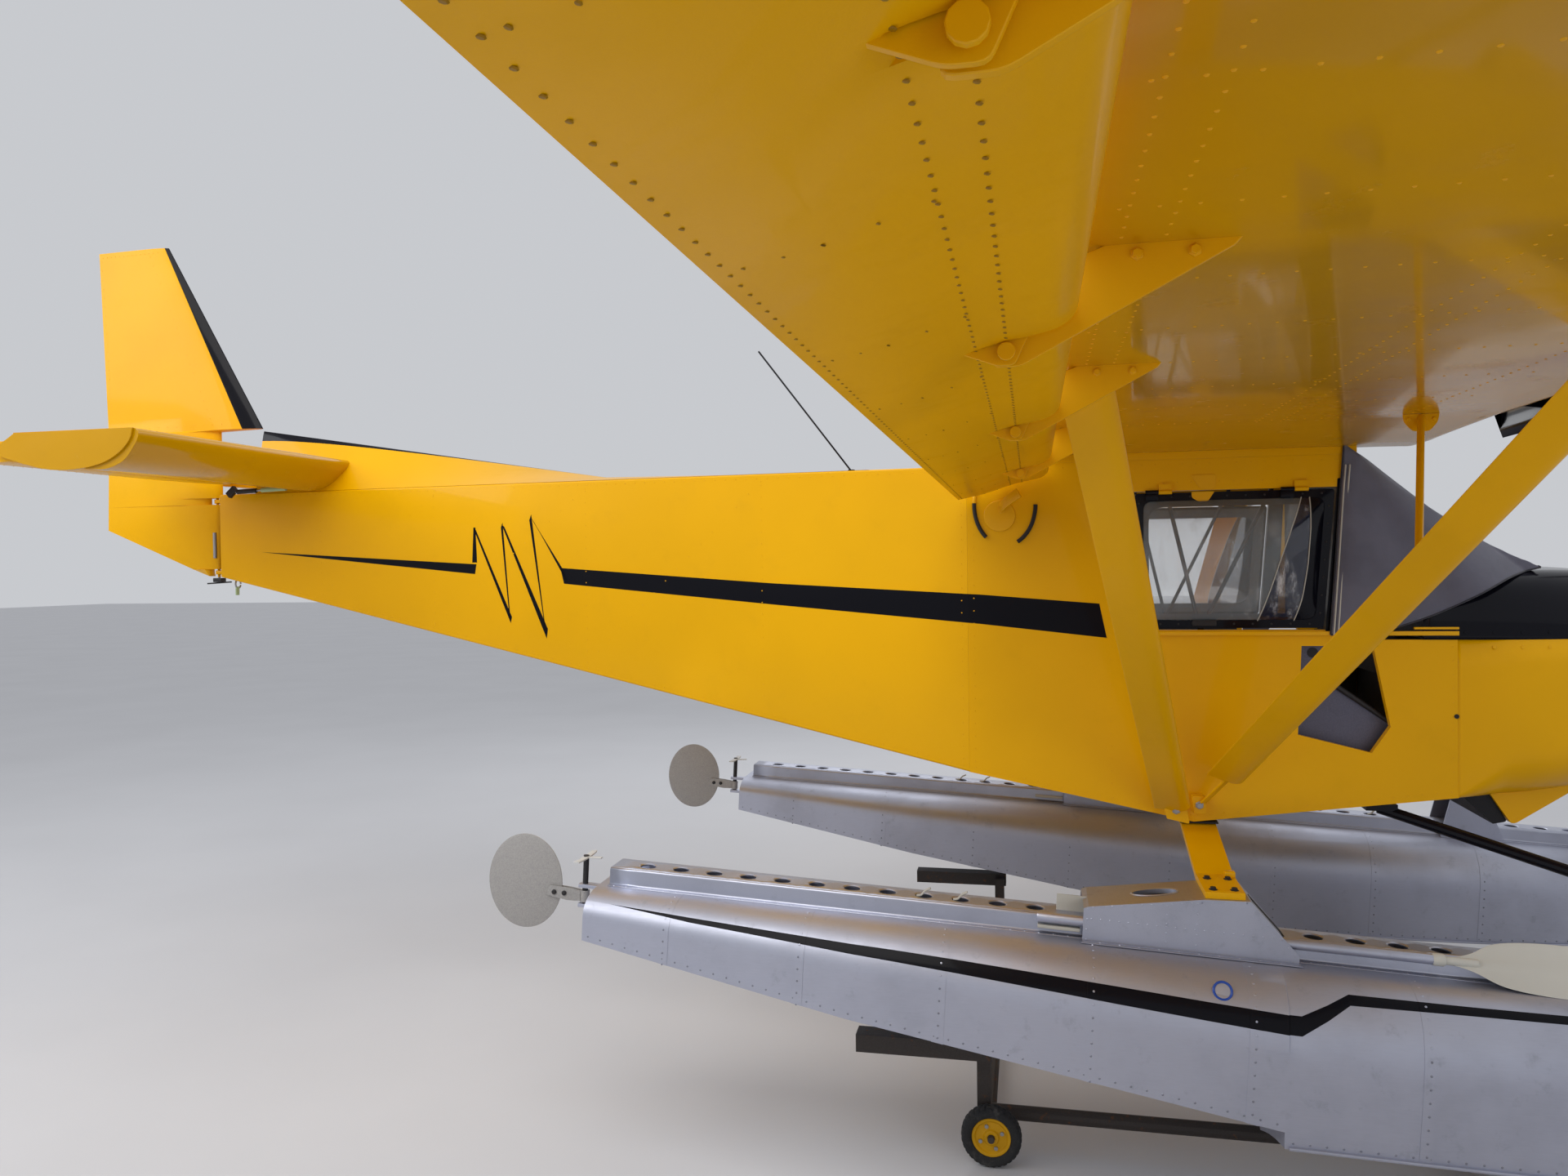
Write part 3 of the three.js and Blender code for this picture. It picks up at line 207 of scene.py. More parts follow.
class Form:
    """A piece in the making: points, faces of three or four corners, and a finish number for each face."""

    def __init__(self):
        self.points, self.faces, self.finishes, self.count = [], [], [], 0

    def put(self, points, faces, finish=0):
        """Adds points and an array of faces that count from the first of them."""
        points = np.asarray(points, float).reshape(-1, 3)
        self.points.append(points)
        self.faces.append(np.asarray(faces, int) + self.count)
        self.finishes.append(np.full(len(faces), finish))
        self.count += len(points)
        return self

    def sheet(self, grid, around=False, along=False, ends=False, finish=0):
        """Faces between the neighbours of a grid of points. around closes the rows, along the columns,
        and ends puts a fan from its middle over the first row and the last."""
        rows, cols = grid.shape[:2]
        index = np.arange(rows * cols).reshape(rows, cols)
        wide = np.concatenate([index, index[:, :1]], 1) if around else index
        long_ = np.concatenate([wide, wide[:1]], 0) if along else wide
        faces = np.stack([long_[:-1, :-1], long_[:-1, 1:], long_[1:, 1:], long_[1:, :-1]], -1)
        self.put(grid, faces.reshape(-1, 4), finish)
        if ends:
            base = self.count - rows * cols
            for row in (0, rows - 1):
                edge = index[row] + base - self.count
                fan = np.stack([edge, np.roll(edge, -1), np.zeros_like(edge)], -1)
                self.put(grid[row].mean(0)[None], fan, finish)
        return self

    def tube(self, grid, finish=0):
        """A grid whose rows are closed rings, with both ends closed."""
        return self.sheet(grid, around=True, ends=True, finish=finish)

    def loop(self, grid):
        """A grid that is closed both ways."""
        return self.sheet(grid, around=True, along=True)

    def rod(self, path, radius, sides=12, up=(0, 0, 1)):
        """A round bar along a path, with closed ends. The radius may change along it."""
        radius = np.broadcast_to(radius, (len(path),))[:, None, None]
        return self.tube(carried(path, ring(1, sides) * radius, up))

    def bar(self, path, half_a, half_b, radius=0.002, up=(0, 0, 1)):
        """A bar with a round-cornered rectangular section along a path, with closed ends."""
        return self.tube(carried(path, rounded_box(half_a, half_b, radius, 3), up))

    def slab(self, outline, offset, finish=0):
        """A plate: an outline of points in one plane, closed, and its copy moved by an offset. The
        outline is filled from its middle, so all of it shows from there."""
        outline = np.asarray(outline, float)
        return self.tube(np.stack([outline, outline + offset]), finish)

    def plate(self, outline, y, thick, finish=0):
        """A slab whose outline of x and z stands at y and which is thick from there along y."""
        outline = np.asarray(outline, float)
        return self.slab(at(outline[:, 0], y, outline[:, 1]), [0, thick, 0], finish)

    def turn(self, profile, centre, axis, sides=32, finish=0):
        """A body of revolution whose profile starts and ends on the axis or near it."""
        return self.tube(turned(profile, centre, axis, sides), finish)

    def domes(self, centres, normals, radius, height, sides=6, finish=0):
        """Rivet heads: on each place a low cone frustum with a point, its rings square to the normal."""
        centres = np.asarray(centres, float).reshape(-1, 3)
        normals = np.broadcast_to(unit(np.asarray(normals, float)), centres.shape)
        first, second = square_to(normals)
        cos, sin = ring(1, sides).T[..., None, None]
        out = (cos * first + sin * second) * radius
        points = np.concatenate([*(centres + out), *(centres + (out + normals * height) * DOME_SHOULDER),
                                 centres + normals * height])
        low = np.arange(sides * len(centres)).reshape(sides, -1).T
        high = low + low.size
        top = np.broadcast_to(2 * low.size + np.arange(len(centres))[:, None], low.shape)
        next_low, next_high = np.roll(low, -1, 1), np.roll(high, -1, 1)
        self.put(points, np.stack([low, next_low, next_high, high], -1).reshape(-1, 4), finish)
        fans = np.stack([high, next_high, top], -1).reshape(-1, 3)
        self.faces.append(fans + self.count - len(points))
        self.finishes.append(np.full(len(fans), finish))
        return self

    def heads(self, centres, normals, sizes, wide=0.8, high=0.35, finish=0):
        """Rivet heads, as wide and high as these shares of the rivet's size."""
        return self.domes(centres, normals, sizes.rivet * wide, sizes.rivet * high, finish=finish)

    def mesh(self, name):
        """The arrays as a mesh: corners are written face after face."""
        points = np.concatenate(self.points)
        data = bpy.data.meshes.new(name)
        data.vertices.add(len(points))
        data.vertices.foreach_set("co", points.ravel())
        sizes = np.concatenate([np.full(len(f), f.shape[1]) for f in self.faces])
        corners = np.concatenate([f.ravel() for f in self.faces])
        data.loops.add(len(corners))
        data.loops.foreach_set("vertex_index", corners)
        data.polygons.add(len(sizes))
        data.polygons.foreach_set("loop_start", np.concatenate([[0], np.cumsum(sizes)[:-1]]))
        data.polygons.foreach_set("material_index", np.concatenate(self.finishes))
        data.update(calc_edges=True)
        return data


def piece(name, form, finishes, body="airframe", replaces=(), bevel=0.0, crease=32, loose=False,
          facing=None):
    """Makes an object of a form: merges doubles, turns faces outwards, smooths it up to an edge angle and
    puts it on its body. loose keeps the faces as they are, as on rivet heads. An open sheet is turned so
    that most of it looks along facing."""
    data = form.mesh(name)
    if not loose:
        work = bmesh.new()
        work.from_mesh(data)
        bmesh.ops.remove_doubles(work, verts=work.verts, dist=2e-5)
        bmesh.ops.recalc_face_normals(work, faces=work.faces)
        if facing and sum(f.normal.dot(facing) * f.calc_area() for f in work.faces) < 0:
            bmesh.ops.reverse_faces(work, faces=work.faces)
        work.to_mesh(data)
        work.free()
    data.polygons.foreach_set("use_smooth", np.ones(len(data.polygons), bool))
    data.set_sharp_from_angle(angle=math.radians(crease))
    for finish in finishes:
        data.materials.append(FINISHES[finish])
    made = bpy.data.objects.new(name, data)
    bpy.context.scene.collection.objects.link(made)
    if bevel:
        edge = made.modifiers.new("edges", "BEVEL")
        edge.width = bevel
        edge.segments = 2
        edge.limit_method = "ANGLE"
        edge.angle_limit = math.radians(40)
    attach(made, body)
    if replaces:
        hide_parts(*replaces)
    return made


def give_wall(made, thickness, offset=-1):
    """Gives an open sheet its thickness, on the side that offset names."""
    wall = made.modifiers.new("wall", "SOLIDIFY")
    wall.thickness, wall.offset = thickness, offset


# Finishes

FINISHES = {}


class Value:
    """One socket of a shader under arithmetic: each operator adds a Math node."""

    def __init__(self, finish, socket):
        self.finish, self.socket = finish, socket

    def math(self, operation, *others):
        return self.finish.node("ShaderNodeMath", {"operation": operation}, [self, *others])

    def __add__(self, other):
        return self.math("ADD", other)

    __radd__ = __add__

    def __mul__(self, other):
        return self.math("MULTIPLY", other)

    __rmul__ = __mul__

    def step(self, low, high):
        """0 below low, 1 above high and a smooth rise between them."""
        settings = {"interpolation_type": "SMOOTHSTEP"}
        return self.finish.node("ShaderNodeMapRange", settings,
                                {"Value": self, "From Min": low, "From Max": high})


class Finish:
    """A material in the making. Numbers set on the surface are its constants, and values are links."""

    def __init__(self, name, **constants):
        self.material = bpy.data.materials.new(name)
        self.material.use_nodes = True
        self.tree = self.material.node_tree
        self.shader = self.tree.nodes["Principled BSDF"]
        self.place = self.node("ShaderNodeTexCoord", {}, {}, "Object")
        self.set(**constants)
        FINISHES[name] = self.material

    def node(self, kind, settings, inputs, output=0):
        made = self.tree.nodes.new(kind)
        for key, value in settings.items():
            setattr(made, key, value)
        for key, value in inputs.items() if isinstance(inputs, dict) else enumerate(inputs):
            self.feed(made.inputs[key], value)
        return Value(self, made.outputs[output])

    def feed(self, socket, value):
        if isinstance(value, Value):
            self.tree.links.new(value.socket, socket)
        elif socket.type == "RGBA":
            socket.default_value = (*value, 1.0)
        else:
            socket.default_value = value

    def set(self, **values):
        for key, value in values.items():
            self.feed(self.shader.inputs[key.replace("_", " ").title().replace("Ior", "IOR")], value)
        return self

    def noise(self, scale, detail=3.0, stretch=None, roughness=0.5):
        place = self.place
        if stretch:
            place = self.node("ShaderNodeVectorMath", {"operation": "MULTIPLY"}, [place, stretch])
        inputs = {"Vector": place, "Scale": scale, "Detail": detail, "Roughness": roughness}
        return self.node("ShaderNodeTexNoise", {}, inputs)

    def mix(self, a, b, share):
        return self.node("ShaderNodeMix", {"data_type": "RGBA"}, {0: share, 6: a, 7: b}, 2)

    def bump(self, height, distance, under=None, strength=1.0):
        inputs = {"Height": height, "Distance": distance, "Strength": strength}
        if under:
            inputs["Normal"] = under
        return self.node("ShaderNodeBump", {}, inputs)


def scaled(colour, share):
    """A colour made darker or lighter by a share."""
    return tuple(c * share for c in colour)


def paint_finish(name, colour, roughness, ripple=0.0, coat=0.25, level=0.2):
    """Sprayed gloss over sheet metal: broad tone changes, fine grain and soft waves of the sheet."""
    f = Finish(name, coat_weight=coat, coat_roughness=0.06, specular_ior_level=level)
    broad = f.noise(1.7, 2.0).step(0.35, 0.7)
    grime = f.noise(9.0, 5.0, roughness=0.6).step(0.52, 0.8)
    tone = f.mix(colour, scaled(colour, 0.86), broad * 0.6 + grime * 0.25)
    grain = f.noise(650.0, 1.0)
    f.set(base_color=tone, roughness=grime * 0.1 + grain * 0.06 + roughness)
    normal = f.bump(grain, 0.00006)
    if ripple:
        waves = f.noise(4.2, 1.0) + f.noise(11.0, 1.0) * 0.25
        normal = f.bump(waves, ripple, normal)
    f.set(normal=normal)
    return f


def metal_finish(name, colour, roughness, stretch=(1, 1, 1), dents=0.0):
    """Bare sheet: long rolling streaks, patchy oxide and a few soft dents."""
    f = Finish(name, metallic=0.9)
    streaks = f.noise(46.0, 4.0, stretch, 0.65)
    patches = f.noise(2.6, 5.0, roughness=0.6).step(0.38, 0.72)
    stains = f.noise(17.0, 6.0, roughness=0.7).step(0.56, 0.74)
    tone = f.mix(colour, scaled(colour, 0.8), patches * 0.6 + streaks * 0.35)
    tone = f.mix(tone, scaled(colour, 0.55), stains * 0.3)
    normal = f.bump(streaks, 0.00012)
    if dents:
        normal = f.bump(f.noise(3.4, 1.0), dents, normal)
    f.set(base_color=tone, roughness=patches * 0.12 + streaks * 0.16 + stains * 0.1 + roughness,
          normal=normal)
    return f


def worn_finish(name, colour, under, roughness, metallic=0.0, scale=30.0, share=(0.58, 0.66)):
    """A rough coat that is rubbed through in spots to what lies under it."""
    f = Finish(name, metallic=metallic)
    spots = f.noise(scale, 7.0, roughness=0.7).step(*share)
    fine = f.noise(240.0, 3.0)
    f.set(base_color=f.mix(f.mix(colour, scaled(colour, 0.6), fine), under, spots))
    f.set(roughness=spots * 0.2 + fine * 0.15 + roughness, normal=f.bump(fine + spots, 0.0004))
    return f


def cloth_finish(name, colour, thread=1500.0):
    """Woven cloth: crossed waves for the threads, with fading and lint in broad patches."""
    f = Finish(name, sheen_weight=0.25, sheen_roughness=0.4)
    crossing = []
    for direction in ("X", "Z"):
        settings = {"wave_type": "BANDS", "bands_direction": direction}
        crossing.append(f.node("ShaderNodeTexWave", settings,
                               {"Vector": f.place, "Scale": thread, "Distortion": 0.6}, 1))
    weave = crossing[0] * crossing[1]
    fade = f.noise(5.0, 5.0, roughness=0.6).step(0.3, 0.75)
    f.set(base_color=f.mix(colour, scaled(colour, 0.68), fade * 0.7 + weave * 0.2))
    f.set(roughness=fade * 0.1 + 0.78, normal=f.bump(weave, 0.0003, f.bump(f.noise(26.0, 3.0), 0.002)))
    return f


def pane_finish(name, colour, clear, glare):
    """Thin clear plastic: see-through face on, shinier and less clear at a slant, where its own colour
    shows as a painted reflection, with hazy scratches.
    """
    f = Finish(name, roughness=0.04, coat_weight=1.0, coat_roughness=0.02)
    slant = f.node("ShaderNodeLayerWeight", {}, {"Blend": 0.35}, "Fresnel")
    haze = f.noise(22.0, 6.0, (1, 1, 0.3), 0.7).step(0.5, 0.78)
    # the slant makes the pane less clear, so its own colour shows there: painted reflection
    f.set(base_color=f.mix(colour, (0.9, 0.93, 0.95), haze), alpha=slant * glare + haze * 0.12 + clear)
    return f


def make_finishes(paint):
    """Every finish under its name, in the panel's colours."""
    yellow, black = tuple(paint.yellow), tuple(paint.black)
    bare = tuple(paint.bare_metal)
    paint_finish("yellow_gloss", yellow, 0.3, 0.0016, 0.12, 0.12)
    # glossy yellow darkened to 0.74 for the wings and stabilizer: painted shade of their undersides seen
    # from below
    paint_finish("yellow_mirror_shaded", scaled(yellow, 0.74), 0.2, 0.0042, 0.45, 0.1)
    paint_finish("yellow_trim", yellow, 0.34, coat=0.16)
    # yellow darkened to 0.38 for the flaperon rivets: painted shade of their dimples
    paint_finish("yellow_painted_shade", scaled(yellow, 0.38), 0.4, coat=0.1)
    paint_finish("black_gloss", black, 0.14, 0.0006, 0.22, 0.08)
    paint_finish("black_stripe", scaled(black, 0.8), 0.3, 0.0, 0.08, 0.1)
    paint_finish("blue_plug", (0.02, 0.07, 0.35), 0.4)
    paint_finish("white_part", (0.62, 0.62, 0.6), 0.45)
    paint_finish("pale_sleeve", (0.42, 0.55, 0.3), 0.5)
    paint_finish("pale_rim", (0.5, 0.48, 0.42), 0.4, coat=0.3)
    paint_finish("paddle_cream", (0.62, 0.61, 0.55), 0.42, 0.0006)
    paint_finish("wheel_yellow", scaled(yellow, 0.62), 0.55, coat=0.2)
    metal_finish("float_sheet", bare, 0.36, (0.5, 6, 6), 0.0014)
    metal_finish("bare_sheet", scaled(bare, 0.96), 0.26, (6, 0.6, 6), 0.0004)
    metal_finish("bright_rivet", scaled(bare, 1.05), 0.24)
    # bare metal darkened to 0.6 for the rivets low on the float sides: painted shade of their dimples
    metal_finish("bare_rivet_shaded", scaled(bare, 0.6), 0.4)
    metal_finish("steel_fitting", (0.42, 0.42, 0.43), 0.3)
    worn_finish("rudder_grey", (0.46, 0.44, 0.42), (0.33, 0.32, 0.32), 0.46, 0.25, 90.0, (0.5, 0.75))
    worn_finish("dolly_paint", (0.045, 0.035, 0.03), (0.11, 0.05, 0.025), 0.62)
    worn_finish("dark_tube", (0.03, 0.028, 0.03), (0.1, 0.1, 0.1), 0.42, 0.3, 60.0, (0.66, 0.74))
    worn_finish("engine_cast", (0.17, 0.17, 0.18), (0.09, 0.08, 0.07), 0.5, 0.8, 18.0)
    worn_finish("tyre_rubber", (0.018, 0.018, 0.019), (0.075, 0.07, 0.065), 0.82, 0.0, 24.0, (0.5, 0.72))
    worn_finish("black_rubber", (0.014, 0.014, 0.017), (0.03, 0.03, 0.033), 0.55)
    worn_finish("panel_black", (0.02, 0.02, 0.022), (0.05, 0.05, 0.05), 0.6, 0.0, 90.0, (0.66, 0.78))
    # bare sheet darkened to a grey lavender for the lining of the low side opening: painted shade inside
    # the cabin
    worn_finish("bare_lining_shaded", (0.15, 0.15, 0.21), (0.11, 0.11, 0.15), 0.42, 0.35, 20.0, (0.5, 0.8))
    worn_finish("cabin_dark", (0.05, 0.045, 0.045), (0.12, 0.1, 0.08), 0.7)
    cloth_finish("cover_cloth", tuple(paint.cloth))
    cloth_finish("seat_cloth", (0.035, 0.035, 0.04))
    cloth_finish("hem_cloth", scaled(tuple(paint.cloth), 0.25))
    pane_finish("clear_pane", (0.72, 0.8, 0.84), 0.1, 0.75)
    # a dark, half see-through colour for the pane's front part: painted reflection of the dark surroundings
    # on the curved bubble
    pane_finish("pane_dark_reflection", (0.02, 0.022, 0.05), 0.55, 0.45)


class FloatplanePaint(bpy.types.PropertyGroup):
    """Colours of the coats and cloths, as linear values."""

    yellow: FloatVectorProperty(
        name="Yellow", description="Main coat",
        subtype="COLOR", default=(0.86, 0.435, 0.0), min=0, max=1)
    black: FloatVectorProperty(
        name="Black", description="Stripes and upper cowl",
        subtype="COLOR", default=(0.0045, 0.0045, 0.008), min=0, max=1)
    bare_metal: FloatVectorProperty(
        name="Bare metal", description="Float sheets",
        subtype="COLOR", default=(0.53, 0.55, 0.65), min=0, max=1)
    cloth: FloatVectorProperty(
        name="Cover cloth", description="Windshield cover",
        subtype="COLOR", default=(0.16, 0.16, 0.21), min=0, max=1)
    floor: FloatVectorProperty(
        name="Floor", description="Studio floor",
        subtype="COLOR", default=(0.62, 0.62, 0.64), min=0, max=1)


class FloatplaneSizes(bpy.types.PropertyGroup):
    """Sizes of what repeats over the sheet metal."""

    rivet: FloatProperty(
        name="Rivet radius", description="Radius of a rivet head",
        default=0.0034, min=0.001, max=0.01, unit="LENGTH")
    pitch: FloatProperty(
        name="Rivet pitch", description="Distance between rivets in a row",
        default=0.04, min=0.01, max=0.2, unit="LENGTH")
    hole: FloatProperty(
        name="Deck hole", description="Radius of the holes in the deck channel",
        default=0.024, min=0.01, max=0.04,
        unit="LENGTH")
    threads: IntProperty(
        name="Tread blocks", description="Blocks round a dolly tyre",
        default=30, min=6, max=60)


# Stage

CAMERA = {
    "place": (0.5079, -4.2773, 1.7626),
    "yaw": 0.215489,
    "pitch": -0.0171826,
    "roll": -0.0131275,
    "focal_px": 1384.615,
    "image_px": 1920,
    "sensor_mm": 36.0,
}
LIGHTS = (
    # name, place, aimed at, width, length, watts, colour
    ("overhead", (-1.5, -3.6, 6.2), (-1.1, 0.0, 1.2), 7.0, 4.5, 215, (1.0, 0.97, 0.93)),
    ("tail_side", (-6.5, -3.5, 4.6), (-1.8, 0.0, 1.6), 3.0, 3.0, 120, (0.93, 0.96, 1.0)),
    ("front_low", (3.8, -5.4, 1.7), (1.2, -0.6, 1.0), 2.4, 2.4, 30, (0.95, 0.97, 1.0)),
    ("far_side", (0.5, 6.5, 5.0), (0.0, 0.0, 1.0), 6.0, 4.0, 120, (0.95, 0.97, 1.0)),
)


def aim(data, name, place, target):
    """An object at a place, turned to look at a target."""
    made = bpy.data.objects.new(name, data)
    bpy.context.scene.collection.objects.link(made)
    made.location = place
    look = Vector(target) - Vector(place)
    made.rotation_euler = look.to_track_quat("-Z", "Y").to_euler()
    return made


def make_camera():
    """A camera by its yaw, pitch and roll: across, up and back are the columns of its turn."""
    yaw, pitch, roll = (CAMERA[k] for k in ("yaw", "pitch", "roll"))
    ahead = np.array([-math.sin(yaw), math.cos(yaw), 0])
    across = np.array([math.cos(yaw), math.sin(yaw), 0])
    forward = ahead * math.cos(pitch) + np.array([0, 0, math.sin(pitch)])
    level_up = np.array([0, 0, math.cos(pitch)]) - ahead * math.sin(pitch)
    right = across * math.cos(roll) + level_up * math.sin(roll)
    up = level_up * math.cos(roll) - across * math.sin(roll)
    lens = bpy.data.cameras.new("camera")
    lens.sensor_fit = "HORIZONTAL"
    lens.sensor_width = CAMERA["sensor_mm"]
    lens.lens = CAMERA["focal_px"] / CAMERA["image_px"] * CAMERA["sensor_mm"]
    lens.clip_end = 200
    camera = bpy.data.objects.new("camera", lens)
    bpy.context.scene.collection.objects.link(camera)
    turn = np.eye(4)
    turn[:3, 0], turn[:3, 1], turn[:3, 2], turn[:3, 3] = right, up, -forward, CAMERA["place"]
    camera.matrix_world = Matrix(turn.tolist())
    bpy.context.scene.camera = camera


def make_floor(colour):
    """A wide pale floor."""
    f = Finish("studio_floor", roughness=0.5)
    cloud = f.noise(0.9, 4.0)
    f.set(base_color=f.mix(colour, scaled(colour, 0.88), cloud))
    reach = np.array([-60.0, 0.0, 60.0])
    grid = np.stack([*np.broadcast_arrays(reach[None, :], reach[:, None]), np.zeros((3, 3))], -1)
    data = Form().sheet(grid).mesh("studio_floor")
    data.materials.append(f.material)
    floor = bpy.data.objects.new("studio_floor", data)
    bpy.context.scene.collection.objects.link(floor)


class FLOATPLANE_OT_stage(bpy.types.Operator):
    """Makes the finishes, the pale floor, the soft lights and the camera"""

    bl_idname = "floatplane.stage"
    bl_label = "Stage and finishes"

    def execute(self, context):
        paint = context.scene.floatplane_paint
        make_finishes(paint)
        make_camera()
        make_floor(tuple(paint.floor))
        for name, place, target, width, length, watts, colour in LIGHTS:
            data = bpy.data.lights.new(name, "AREA")
            data.shape, data.size, data.size_y = "RECTANGLE", width, length
            data.energy, data.color = watts, colour
            aim(data, name, place, target).visible_glossy = name != "front_low"
        world = bpy.data.worlds.new("studio")
        world.use_nodes = True
        world.node_tree.nodes["Background"].inputs["Color"].default_value = (0.8, 0.82, 0.86, 1)
        world.node_tree.nodes["Background"].inputs["Strength"].default_value = 0.72
        context.scene.world = world
        context.scene.view_settings.view_transform = "Standard"
        return {"FINISHED"}


# Finishes of the solids that keep their own shape
DRESSED = {
    "yellow_gloss": ["fuselage_rear", "dorsal_spine", "cabin_floor", "cabin_roof", "rudder", "gear_spring",
                     "stabilizer", "elevator", "cowl_lower", "cabin_side", "flaperon", "strut_front",
                     "strut_rear", "jury_strut"],
    "yellow_mirror_shaded": ["wing"],
    "black_gloss": ["cowl_upper", "propeller", "antenna", "float_strut", "slat"],
    "panel_black": ["instrument_panel"],
    "dark_tube": ["cabin_frame", "control_stick"],
    "dolly_paint": ["dolly_frame"],
    "bare_sheet": ["firewall", "spreader_bar", "deck_channel", "pylon_main", "pylon_front"],
    "float_sheet": ["float"],
    "steel_fitting": ["paddle"],
    "engine_cast": ["engine"],
    "seat_cloth": ["seat"],
    "clear_pane": ["windshield", "door"],
    "cover_cloth": ["windshield_cover"],
    "rudder_grey": ["water_rudder"],
    "tyre_rubber": ["dolly_wheel_rear", "dolly_wheel_front"],
}


class FLOATPLANE_OT_dress(bpy.types.Operator):
    """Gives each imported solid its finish"""

    bl_idname = "floatplane.dress"
    bl_label = "Dress the solids"

    def execute(self, context):
        finish_of = {node: finish for finish, nodes in DRESSED.items() for node in nodes}
        for name, node in NODES.items():
            stem = name.removesuffix("_right").removesuffix("_left")
            node.data.materials.clear()
            node.data.materials.append(FINISHES[finish_of[stem]])
        return {"FINISHED"}


# Fuselage

# The rudder's hinge line and the heights of its lugs
RUDDER_X, RUDDER_LUGS = -3.243, (0.238, 0.545)
# Painted stripe along each side: one dart, the strokes of a zigzag and one long band, which is cut at
# the cabin's seam, as outlines of (x, z) corners
SEAM_SHARE = 0.04 / 0.727
SEAM = ((0.0, lerp(0.033, 0.098, SEAM_SHARE)), (0.0, lerp(0.129, 0.172, SEAM_SHARE)))
STRIPE = (
    ((-2.976, 0.321), (-1.903, 0.255), (-1.91, 0.217)),
    ((-1.922, 0.262), (-1.9, 0.262), (-1.905, 0.398), (-1.914, 0.398)),
    ((-1.915, 0.398), (-1.903, 0.388), (-1.746, 0.05), (-1.752, 0.027)),
    ((-1.752, 0.027), (-1.76, 0.075), (-1.789, 0.395), (-1.781, 0.413)),
    ((-1.786, 0.408), (-1.773, 0.396), (-1.588, 0.005), (-1.594, -0.031)),
    ((-1.594, -0.031), (-1.603, 0.02), (-1.662, 0.42), (-1.653, 0.441)),
    ((-1.659, 0.436), (-1.64, 0.41), (-1.498, 0.175), (-1.519, 0.231)),
    ((-1.53, 0.236), (-1.515, 0.1765), (-0.687, 0.098), *SEAM, (-0.687, 0.172)),
    (SEAM[0], (0.04, 0.033), (0.439, -0.013), (0.417, 0.097), (0.04, 0.129), SEAM[1]),
)
COAT = 0.0006


def side_y(x):
    """Half width of the fuselage at x: constant along the cabin, then a straight taper."""
    return lerp(HALF_W, TAIL_HALF_W, np.maximum(np.asarray(x, float) / TAIL_POST, 0))


def make_stripes():
    """Each outline is laid on the side plane."""
    for name, side in SIDES.items():
        form = Form()
        for outline in STRIPE:
            x, z = np.array(outline).T
            form.slab(at(x, side * side_y(x), z), [0, side * COAT, 0])
        piece(f"side_stripe_{name}", form, ["black_stripe"])


class FLOATPLANE_OT_fuselage(bpy.types.Operator):
    """Makes the rear fuselage, the spine on it, the side stripes and the rivets along the frames"""

    bl_idname = "floatplane.fuselage"
    bl_label = "Fuselage skin"

    def execute(self, context):
        sizes = context.scene.floatplane_sizes
        make_rear_fuselage()
        make_spine()
        make_stripes()
        make_side_rivets(sizes)
        make_side_details()
        return {"FINISHED"}


def rect_rings(x, half, low, high, radius, per=5):
    """Rings across the airframe: at each x a rectangle with round corners, as a grid of points."""
    angle = np.linspace(0, math.pi / 2, per)[None] + np.arange(4)[:, None] * math.pi / 2
    arcs = np.stack([np.cos(angle), np.sin(angle)], -1).reshape(-1, 2)
    signs = np.repeat([[1, 1], [-1, 1], [-1, -1], [1, -1]], per, 0)
    x, half, low, high, radius = (np.asarray(v, float)[:, None]
                                  for v in np.broadcast_arrays(x, half, low, high, radius))
    y = signs[:, 0] * (half - radius) + arcs[:, 0] * radius
    z = (low + high) / 2 + signs[:, 1] * ((high - low) / 2 - radius) + arcs[:, 1] * radius
    return at(x, y, z)


def tuck_z(x):
    """Height of the fuselage's lower edge, which rises straight to the tail post."""
    return lerp(TUCK_Z, TAIL_LOW_Z, x / TAIL_POST)


def longeron_z(x):
    """Height of the upper longeron, straight to the tail post."""
    return lerp(LONGERON_Z, TAIL_TOP_Z, x / TAIL_POST)


def fuselage_rings(x, inset, radius):
    """Rings of the rear fuselage, drawn in by inset: width and heights change in a straight line."""
    half = lerp(HALF_W, TAIL_HALF_W, x / TAIL_POST)
    return rect_rings(x, half - inset, tuck_z(x) + inset, longeron_z(x) - inset, radius)


def make_rear_fuselage():
    """The outer skin from the cabin to the tail post and the inner one back again, joined at both ends."""
    outer = fuselage_rings(np.linspace(-0.0003, TAIL_POST, 60), 0.0, 0.007)
    inner = fuselage_rings(np.linspace(-3.11, -0.0003, 30), 0.012, 0.004)
    form = Form().loop(np.concatenate([outer, inner]))
    for z in RUDDER_LUGS:
        form.bar(through([-3.196, 0, z], [RUDDER_X, 0, z]), 0.014, 0.007)
        eye = [[0, -0.009], [0.013, -0.009], [0.013, 0.009], [0, 0.009]]
        form.turn(eye, at(RUDDER_X, 0, z), (0, 0, 1), 20)
    piece("rear_fuselage_skin", form, ["yellow_gloss"], replaces=["fuselage_rear"])


# Ridge of the spine behind the wing: x, half width at the longerons, height of the ridge
SPINE = ((-0.33, 0.466, 0.582), (-1.45, 0.3, 0.596), (-3.006, 0.066, 0.841))
RIDGE_BAND = 0.013


